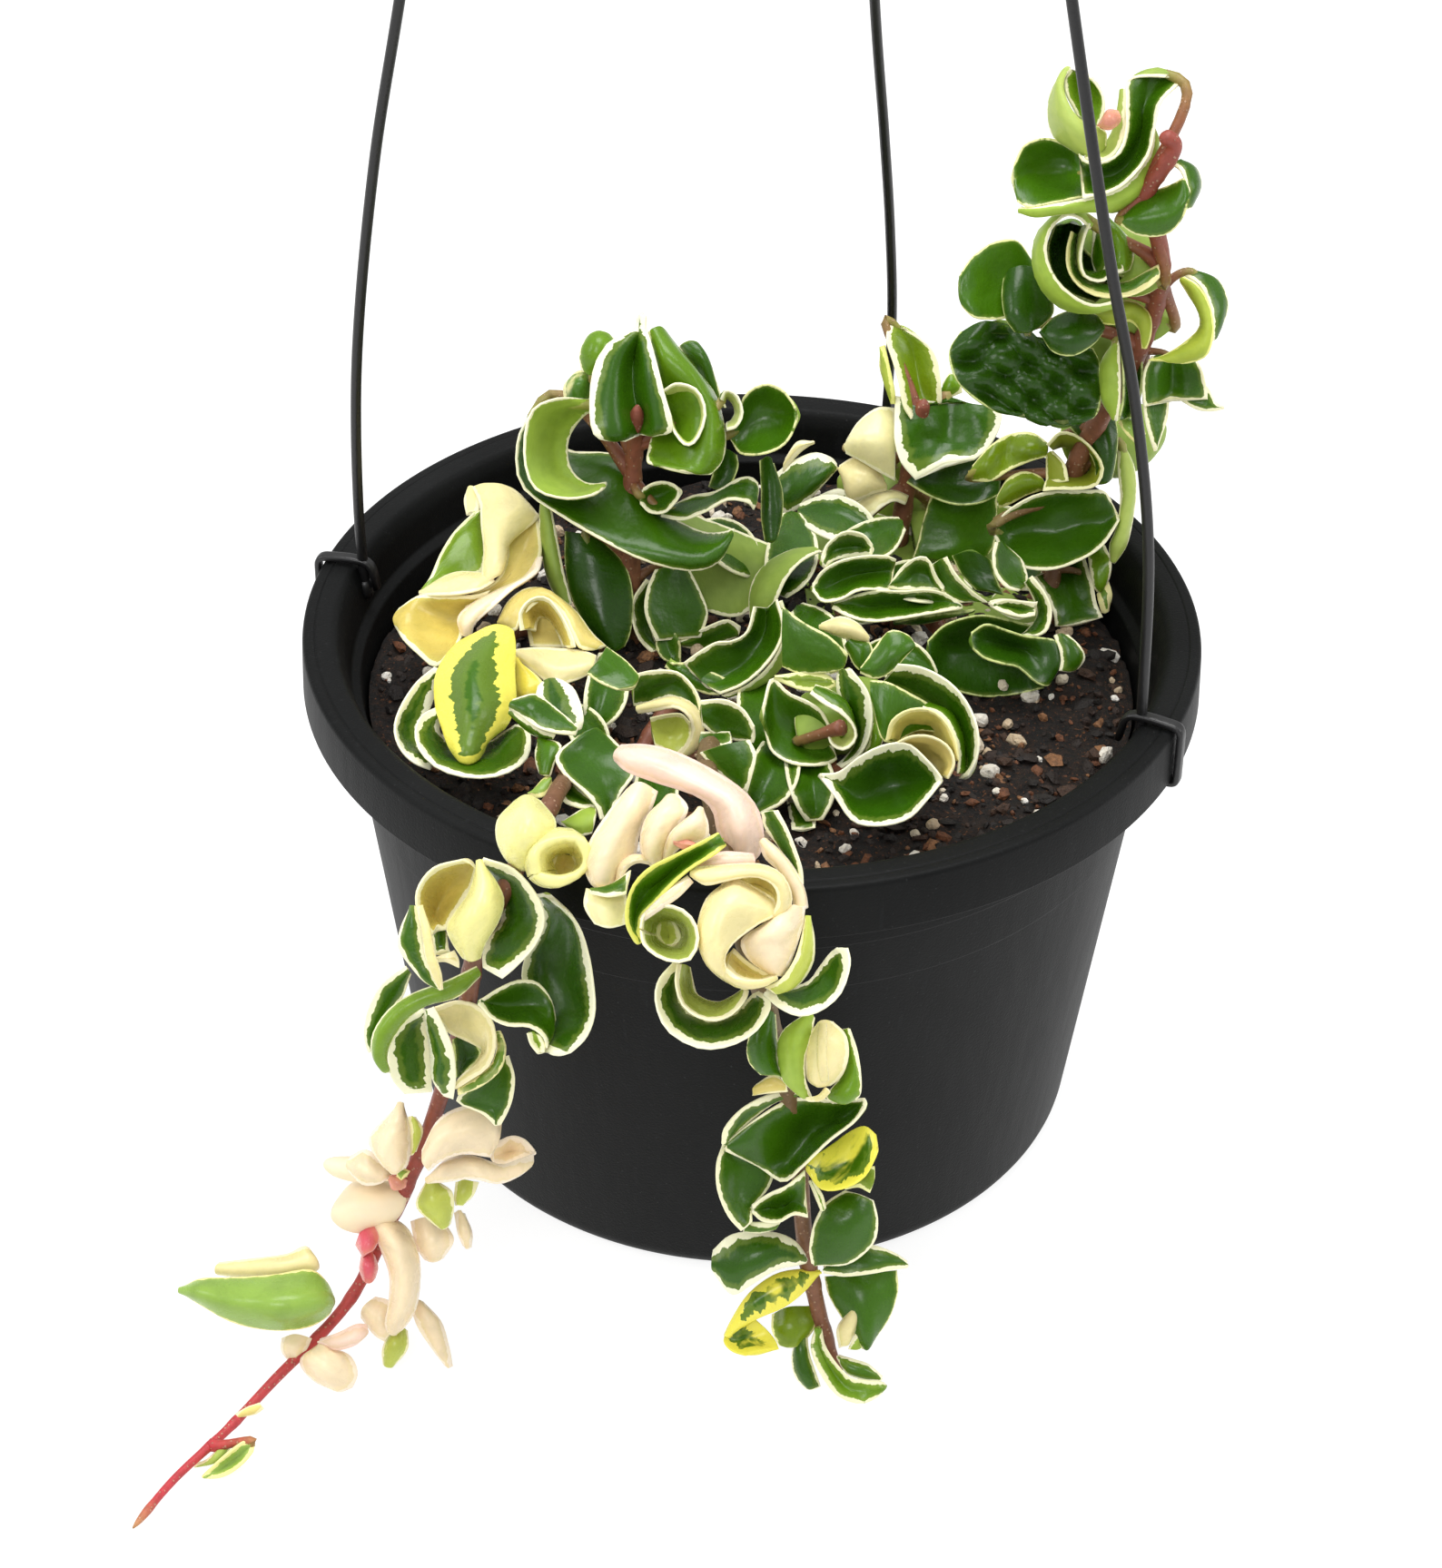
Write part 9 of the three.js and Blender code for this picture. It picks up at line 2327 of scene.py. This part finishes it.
def leaf_skin(surface, reach, thickness, length, number, colouring, fine=False):
    """One closed leaf about its middle surface: a grid of x along it and a loop round its section,
    over the glossy face, round one margin, back under it and round the other. The blade is thickest
    at its midrib, thin and round at its margin, and puckered between its veins. Returns its shape,
    its foot with the way that the midrib leaves it, and what its finish reads at each point."""
    widest = float(reach(np.linspace(0, 1, 9)).max())
    rows = int(np.clip(14 + 0.45 * length, 16, 30))
    halves = int(np.clip(4 + 0.5 * widest, 5, 10)) if fine else 11
    x = (1 - np.cos(np.pi * np.linspace(0, 1, rows))) / 2
    face = np.linspace(-1, 1, 2 * halves + 1)
    bend = np.radians([52.0, 0.0, -52.0])
    v = np.concatenate([face, np.ones(3), face[::-1], -np.ones(3)])
    lift = np.concatenate([np.ones(len(face)), np.sin(bend), -np.ones(len(face)), -np.sin(bend)])
    out = np.concatenate([0 * face, np.cos(bend), 0 * face, np.cos(bend)])
    x, v = np.meshgrid(x, v, indexing="ij")
    lift, out = np.broadcast_to(lift, x.shape), np.broadcast_to(out, x.shape)

    near, step = np.clip(x, 0.012, 0.988), 0.01
    along = surface(near + step, v) - surface(near - step, v)
    low, high = np.maximum(v - 2 * step, -1), np.minimum(v + 2 * step, 1)
    across = surface(near, high) - surface(near, low)
    normal = np.cross(along, across)
    normal /= np.linalg.norm(normal, axis=-1, keepdims=True) + 1e-9
    outward = np.cross(normal, along) * np.where(v >= 0, 1.0, -1.0)[..., None]
    outward *= np.sign((outward * across).sum(-1) * np.where(v >= 0, 1.0, -1.0))[..., None]
    outward /= np.linalg.norm(outward, axis=-1, keepdims=True) + 1e-9

    full_width = reach(x)
    tip = np.sqrt(np.clip(1 - (np.clip(x - 0.95, 0, 1) / 0.05) ** 2, 0.0025, 1))
    across_mm = v * full_width
    thick = thickness / 2 * tip * (0.42 + 0.58 * (1 - np.abs(v) ** 2.4)
                                   + 0.25 * np.exp(-(across_mm / 1.5) ** 2))
    inset = np.clip(1 - thick / np.maximum(full_width, 1e-3), 0.2, 1)
    along_mm = x * length
    puckers = lumps(along_mm + 40, across_mm + 40, 0.15 * length + 1.2, 20 + number) - 0.5
    swell = 0.04 * length * puckers * np.sin(np.pi * x) ** 0.7 * (1 - np.abs(v) ** 3)
    groove = np.where(lift > 0, 0.14, -0.2) * np.exp(-(across_mm / 0.8) ** 2) * np.sin(np.pi * x)
    points = surface(x, v * inset)
    points = points + normal * (lift * thick + swell - groove)[..., None]
    points = points + outward * (out * thick)[..., None]
    rim = np.minimum((1 - np.abs(v)) * full_width, (1 - x) * length * 0.9 + 0.1)

    count = x.shape[1]
    end = (rows - 1) * count
    here, after = np.arange(count), (np.arange(count) + 1) % count
    ends = np.stack([points[0].mean(0), points[-1].mean(0)])
    caps = np.vstack([np.stack([np.full(count, rows * count), here, after], -1),
                      np.stack([np.full(count, rows * count + 1), end + after, end + here], -1)])
    quads = grid_faces(rows, count, wrap=True)[:, ::-1]
    shape = (np.vstack([points.reshape(-1, 3), ends]), quads, caps)
    upper, under, border, width, ragged, patch, blush = COLOURINGS[colouring]
    with_ends = lambda values, first, last: np.concatenate([values.ravel(), [first, last]])
    total = rows * count + 2
    painted = {
        "leaf_place": np.stack([with_ends(along_mm, 0, length) + 37.0 * number,
                                with_ends(across_mm, 0, 0), np.full(total, 11.0 * number)], -1),
        "leaf_edge": np.stack([with_ends(rim, 0.3, 0), with_ends(lift, 0, 0),
                               with_ends(x, 0, 1)], -1),
        "leaf_habit": np.broadcast_to([width, ragged, patch], (total, 3)),
        "leaf_upper": np.broadcast_to(upper, (total, 4)),
        "leaf_under": np.broadcast_to(under, (total, 4)),
        "leaf_rim": np.broadcast_to(border, (total, 4)),
        "leaf_blush": np.full(total, blush),
    }
    foot = surface(np.array([0.0, 0.06, 0.14]), np.zeros(3))
    return shape, foot, painted


def route_weights(t, count):
    """How much each of count points, evenly spaced from t = 0 to 1, adds at t along the smooth
    Catmull-Rom route through them. Past both ends the route runs straight on."""
    place = np.clip(t, 0, 1) * (count - 1)
    first = np.minimum(place.astype(int), count - 2)
    u = place - first
    shares = [(-u + 2 * u ** 2 - u ** 3) / 2, (2 - 5 * u ** 2 + 3 * u ** 3) / 2,
              (u + 4 * u ** 2 - 3 * u ** 3) / 2, (u ** 3 - u ** 2) / 2]
    weights = np.zeros(t.shape + (count + 2,))
    for step, share in enumerate(shares):
        np.put_along_axis(weights, (first + step)[..., None], share[..., None], -1)
    inner = weights[..., 1:-1].copy()
    inner[..., 0] += 2 * weights[..., 0]
    inner[..., 1] -= weights[..., 0]
    inner[..., -1] += 2 * weights[..., -1]
    inner[..., -2] -= weights[..., -1]
    return inner


def sight(across, down):
    """Directions of the rays through points of the photograph, one unit deep along the view."""
    in_view = np.stack([(across - PHOTO_SIZE[0] / 2) / LENS_PIXELS,
                        (PHOTO_SIZE[1] / 2 - down) / LENS_PIXELS, -np.ones_like(across)], -1)
    return in_view @ turned[:3, :3].T


def clear_of_pot(rays, away):
    """Distances along rays with the points brought nearer: those inside the pot to the soil's
    clearance, then those behind the middle and below the rim, step by step, to inside its wall."""
    eye = np.array(EYE)
    radius = np.hypot(*np.moveaxis(rays * away[..., None] + eye, -1, 0)[:2])
    on_soil = (SOIL_CLEAR - eye[2]) / rays[..., 2]
    away = np.where((radius < SOIL_REACH) & (away > on_soil), on_soil, away)
    for _ in range(WALL_STEPS):
        x, y, z = np.moveaxis(rays * away[..., None] + eye, -1, 0)
        in_wall = (z < WALL_CLEAR_HEIGHT) & (y > WALL_BACK) & (np.hypot(x, y) > WALL_REACH)
        away = np.where(in_wall, away - WALL_STEP, away)
    return away


def traced_leaf(rows, number, stem_point, colouring, lie=None):
    """A leaf from its rows: each point lies on the ray of its place in the photograph, as far from
    the lens as the stem less its depth. With a lie, depths count from its slope instead, between
    square to the view and level through its point. The blade is the smooth surface through the rows."""
    net = np.array(rows, float)
    rays = sight(net[..., 0], net[..., 1])
    eye = np.array(EYE)
    away = (eye - stem_point) @ turned[:3, 2] - net[..., 2]
    if lie is not None:
        across, down, height, slope = LIES[lie]
        on_flat = (height - eye[2]) / rays[..., 2]
        anchor = (height - eye[2]) / sight(np.array(float(across)), np.array(float(down)))[2]
        away = anchor + slope * (on_flat - anchor) - net[..., 2]
    net = rays * clear_of_pot(rays, away)[..., None] + eye
    steps, columns = net.shape[:2]
    width = np.linalg.norm(np.diff(net, axis=1), axis=2).sum(1) / 2
    length = np.linalg.norm(np.diff(net[:, columns // 2], axis=0), axis=1).sum()

    def surface(x, v):
        along, across = route_weights(x, steps), route_weights((v + 1) / 2, columns)
        return np.einsum("...i,...j,ijk->...k", along, across, net)
    reach = lambda x: np.interp(x, np.linspace(0, 1, steps), width)
    return leaf_skin(surface, reach, TRACED_THICKNESS, length, number, colouring, fine=True), length


def low_leaf(across, down, length, width, turn):
    """Rows of a cupped leaf: from a sunk foot over a crest and down again as a sine of the way
    along, as wide as a root of another sine, with both margins raised and the midrib bowed."""
    along = np.linspace(0, 1, 6)[:, None]
    v = np.linspace(1, -1, 5)[None, :]
    share = np.sin(np.pi * (0.06 + 0.88 * along)) ** 0.6
    half = width / 2 * share
    angle = np.radians(turn) + LOW_BOW * (along - 0.5)
    ahead = (along - 0.5) * length
    x = across + ahead * np.cos(angle) - v * half * np.sin(angle)
    y = down + ahead * np.sin(angle) + v * half * np.cos(angle)
    crest = LOW_CREST * np.sin(np.pi * (0.1 + 0.75 * along)) - LOW_FOOT
    return np.stack(np.broadcast_arrays(x, y, crest + LOW_RAISED * np.abs(v) ** 1.6 * share), -1)


def rested(points):
    """Points lifted off the ground: heights below RESTS_FROM fall off towards RESTS_ON, as
    RESTS_ON + depth * exp((height - RESTS_FROM) / depth), where depth is the gap between the two."""
    depth = RESTS_FROM - RESTS_ON
    low = np.minimum(points[:, 2], RESTS_FROM)
    eased = RESTS_ON + depth * np.exp((low - RESTS_FROM) / depth)
    points[:, 2] = np.where(points[:, 2] < RESTS_FROM, eased, points[:, 2])
    return points


def placed_leaf(leaf, number, stem_point):
    """A leaf of one of the forms, turned and set at its offset from the stem."""
    _, right, up, toward, turn, lean, spin, length, form, colouring = leaf
    blade, reach, thickness = curled_blade(form, length, number)
    axes = leaf_axes(turn, lean, spin)
    centre = stem_point + np.array([right, up, toward]) @ VIEW_AXES
    surface = lambda x, v: blade(x, v) @ axes + centre
    return leaf_skin(surface, reach, thickness, length, number, colouring)


def petiole_tube(stem_point, stem_ahead, foot, length, number):
    """A leaf's stalk: a cubic Bezier from the stem's middle to the leaf's foot, leaving the stem a
    little forwards and meeting the foot along the midrib, then running out inside the blade. It is
    thicker where it leaves the stem."""
    gap = foot[0] - stem_point
    reach = np.linalg.norm(gap)
    enter = foot[1] - foot[0]
    enter = enter / np.linalg.norm(enter)
    t = np.linspace(0, 1, 9)[:, None]
    leave = stem_point + gap * 0.3 + stem_ahead * reach * 0.16
    meet = foot[0] - enter * reach * 0.3
    curve = ((1 - t) ** 3 * stem_point + 3 * t * (1 - t) ** 2 * leave + 3 * t ** 2 * (1 - t) * meet
             + t ** 3 * foot[0])
    path = np.vstack([curve, foot[1:]])
    thick = (0.75 + 0.02 * length) * (0.92 + 0.16 * hashed(number, 9))
    radii = thick * np.array([1.5, 1.4, 1.15, 1.0, 0.97, 0.95, 0.95, 0.97, 1.0, 0.8, 0.4])
    return carried(path, round_outline(radii, STALK_CORNERS), up=(0.31, 0.17, 0.93))


def leaf_wax():
    """Waxy leaf: a deep green glossy face and a pale matt back, with a cream border whose inner edge
    is ragged along the side veins. Grey-green lies between border and face, and the border and young
    leaves blush pink."""
    wax = Finish("waxy_variegated_leaf")
    place = wax.painted("leaf_place", 1)
    edge = wax.painted("leaf_edge", 1)
    rim, face, along = (wax.add("ShaderNodeSeparateXYZ", {}, {0: edge}, i) for i in range(3))
    border = wax.painted("leaf_habit", 1)
    width, ragged, patch = (wax.add("ShaderNodeSeparateXYZ", {}, {0: border}, i) for i in range(3))
    streak = wax.grain(wax.stretch(place, (1.0, 0.35, 1.0)), 1.9, detail=3.0)
    cloud = wax.grain(place, 9.0, detail=3.0, distortion=0.6)
    fine = wax.grain(place, 2.4, detail=4.0)
    ragged_rim = rim + (streak - 0.5) * ragged * 3.8
    border_share = 1.0 - (ragged_rim - width).step(-0.08, 0.12)
    between = 1.0 - (ragged_rim + (fine - 0.5) * 1.4 - width * 1.9).step(-0.3, 0.9)
    patches = (cloud + fine * 0.15 + patch - 1.0).step(-0.3, -0.14) * patch.step(0.02, 0.05)
    upper_side = face.step(-0.2, 0.2)
    upper = wax.painted("leaf_upper")
    under = wax.painted("leaf_under")
    rim_colour = wax.painted("leaf_rim")
    leafy = wax.mix(cloud.step(0.3, 0.75) * 0.4, upper, wax.mix(0.55, upper, shade(16, 44, 0)))
    greyed = wax.mix(between * 0.5, leafy, wax.mix(0.3, upper, shade(196, 210, 96)))
    faced = wax.mix(patches, greyed, rim_colour)
    backed = wax.mix(fine.step(0.35, 0.7) * 0.35, under, wax.mix(0.45, under, upper))
    sided = wax.mix(upper_side, backed, faced)
    bordered = wax.mix(border_share, sided, rim_colour)
    blush = wax.painted("leaf_blush", 2)
    pink = (1.0 - (rim + (cloud - 0.5) * 3.0).step(0.2, 3.4)) * blush
    blushed = wax.mix(pink * 0.75, bordered, shade(232, 140, 130))
    normal = wax.relief(fine * 0.5 + streak * 0.5, 0.00022)
    gloss = 0.46 - upper_side * 0.22 + fine * 0.07
    return wax.done({"Base Color": blushed, "Roughness": gloss, "Specular IOR Level": 0.36,
                     "Subsurface Weight": 0.12, "Subsurface Radius": (1.0, 0.8, 0.35),
                     "Subsurface Scale": 0.0016, "Normal": normal})


def stem_bark():
    """Stem skin: its own colour from green-brown through crimson, with pale raised pores."""
    bark = Finish("stem_skin")
    here = bark.place()
    own = bark.painted("stem_colour")
    mottle = bark.grain(here, 1.6, detail=4.0)
    pores = bark.add("ShaderNodeTexVoronoi", {"feature": "F1"}, {"Vector": here, "Scale": 0.75})
    dots = 1.0 - pores.step(0.16, 0.26)
    shaded = bark.mix(mottle.step(0.35, 0.7) * 0.5, own, bark.mix(0.5, own, shade(64, 30, 20)))
    dotted = bark.mix(dots * 0.45, shaded, shade(206, 170, 140))
    normal = bark.relief(mottle * 0.6 + dots * 0.5, 0.0003)
    return bark.done({"Base Color": dotted, "Roughness": 0.42 + mottle * 0.15, "Normal": normal})


STEM_COLOURS = {
    "stem_right": [(0.0, shade(126, 92, 62)), (0.5, shade(132, 78, 54)), (1.0, shade(150, 66, 52))],
    "trail_left": [(0.0, shade(120, 92, 62)), (0.5, shade(128, 70, 50)), (0.72, shade(176, 62, 58)),
                   (0.97, shade(196, 52, 62)), (1.0, shade(190, 140, 90))],
    "trail_front": [(0.0, shade(120, 96, 66)), (0.6, shade(112, 92, 56)), (1.0, shade(132, 78, 54))],
}
COMMON_STEM = [(0.0, shade(126, 92, 62)), (1.0, shade(140, 74, 56))]
END_TAPER, COMMON_TAPER = {"trail_left": 0.42}, 0.8
NODE_SWELL, NODE_LENGTH = 0.16, 1.6
STEM_CORNERS, STALK_CORNERS = 14, 8
LONGEST_STALK_LEAF = 30
LOW_DRAWS, TRACED_DRAWS = 600, 300

# How far a low stem is drawn under its route at its far end, and where a trail is drawn behind
# its route: from, to and by how much, all in millimetres. Leaves lie over both in the photograph.
SAG = {"stem_mid": 26.0, "stem_front_right": 26.0, "stem_yellow": 20.0, "stem_centre": 24.0}
SINK = {"trail_front": (30.0, 190.0, 6.0), "trail_left": (34.0, 150.0, 5.0)}
SINK_EASE = 12.0


def along_route(run, values, distance):
    """What a route's values are at a distance along it."""
    return np.array([np.interp(distance, run, values[:, i]) for i in range(3)])


def drawn_stem(node, path, run, radii):
    """A stem's tube: its route, lowered by its sag and set back from the lens by its sink."""
    low = SAG.get(node, 0.0) * np.clip(run / 40 - 0.3, 0, 1) ** 1.5
    start, end, far = SINK.get(node, (0.0, 1.0, 0.0))
    behind = far * np.clip((run - start) / SINK_EASE, 0, 1) * np.clip((end - run) / SINK_EASE, 0, 1)
    resting = path - np.array([0, 0, 1]) * low[:, None] - turned[:3, 2] * behind[:, None]
    return carried(resting, round_outline(radii, STEM_CORNERS), up=(0.31, -0.93, 0.17))


def stalk_colours(own, green):
    """A stalk's colours: the stem's at its foot, going over to the leaf's as the square of the way."""
    share = np.repeat(np.linspace(0, 1, 11) ** 2 * 0.8, STALK_CORNERS)
    share = np.append(share, [0, 0.8])[:, None]
    return own * (1 - share) + np.array(green) * share


leaf_material = leaf_wax()
stem_material = stem_bark()
number = 0
for node, (stem_radius, route, leaves) in STEMS.items():
    path = smooth_route(route, 12)
    run = np.concatenate([[0], np.cumsum(np.linalg.norm(np.diff(path, axis=0), axis=1))])
    ahead = np.gradient(path, axis=0)
    ahead /= np.linalg.norm(ahead, axis=1, keepdims=True)
    taper = END_TAPER.get(node, COMMON_TAPER)
    radii = stem_radius * np.interp(run / run[-1], [0, 0.45, 1], [1, 1, taper])
    joints = np.array([leaf[0] for leaf in leaves], float)
    swelling = np.exp(-((run[:, None] - joints[None]) / NODE_LENGTH) ** 2).max(1)
    radii = radii * (1 + NODE_SWELL * swelling)
    radii[-3:] *= [0.9, 0.65, 0.25]
    places, colours = zip(*STEM_COLOURS.get(node, COMMON_STEM))
    tint = lambda share: np.stack([np.interp(share, places, [c[i] for c in colours])
                                   for i in range(4)], -1)
    own_tint = lambda distance: tint(np.array([distance / run[-1]]))[0]
    stem_colours = [np.repeat(tint(run / run[-1]), STEM_CORNERS, axis=0), tint(np.array([0.0, 1.0]))]
    woody, skins, painted = [drawn_stem(node, path, run, radii)], [], []
    traced = TRACED.get(node, [])
    replaced = {entry[0] for entry in traced} | set(HIDDEN.get(node, ()))
    for place, leaf in enumerate(leaves):
        number += 1
        if place in replaced:
            continue
        distance, length, colouring = leaf[0], leaf[7], leaf[9]
        spot, heading = along_route(run, path, distance), along_route(run, ahead, distance)
        skin, foot, carries = placed_leaf(leaf, number, spot)
        skins.append(skin)
        painted.append(carries)
        woody.append(petiole_tube(spot, heading, foot, length, number))
        stem_colours.append(stalk_colours(own_tint(distance), COLOURINGS[colouring][1]))
    for place, (*spread, colouring) in enumerate(LOW_LEAVES.get(node, [])):
        draws = LOW_DRAWS + number + place
        (skin, _, carries), _ = traced_leaf(low_leaf(*spread), draws, path[0], colouring, "bed")
        skins.append(skin)
        painted.append(carries)
    for place, (_, distance, stalked, colouring, rows, *lie) in enumerate(traced):
        spot, heading = along_route(run, path, distance), along_route(run, ahead, distance)
        draws = TRACED_DRAWS + number + place
        (skin, foot, carries), length = traced_leaf(rows, draws, spot, colouring, *lie)
        skins.append(skin)
        painted.append(carries)
        if stalked:
            length = min(length, LONGEST_STALK_LEAF)
            woody.append(petiole_tube(spot, heading, foot, length, number + place))
            stem_colours.append(stalk_colours(own_tint(distance), COLOURINGS[colouring][1]))
    points, quads, caps = join_shapes(*skins)
    blades = lay_mesh(node + "_leaves", rested(points), quads, caps)
    for name in painted[0]:
        values = np.concatenate([carries[name] for carries in painted])
        kind, field = {(4,): ("FLOAT_COLOR", "color"), (3,): ("FLOAT_VECTOR", "vector"),
                       (): ("FLOAT", "value")}[values.shape[1:]]
        layer = blades.data.attributes.new(name, kind, "POINT")
        layer.data.foreach_set(field, values.astype(np.float32).ravel())
    blades.data.materials.append(leaf_material)
    points, quads, caps = join_shapes(*woody)
    wood = lay_mesh(node + "_wood", rested(points), quads, caps)
    colour_points(wood, "stem_colour", np.vstack(stem_colours))
    wood.data.materials.append(stem_material)
    for piece in (blades, wood):
        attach(piece, "root")
        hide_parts(node)
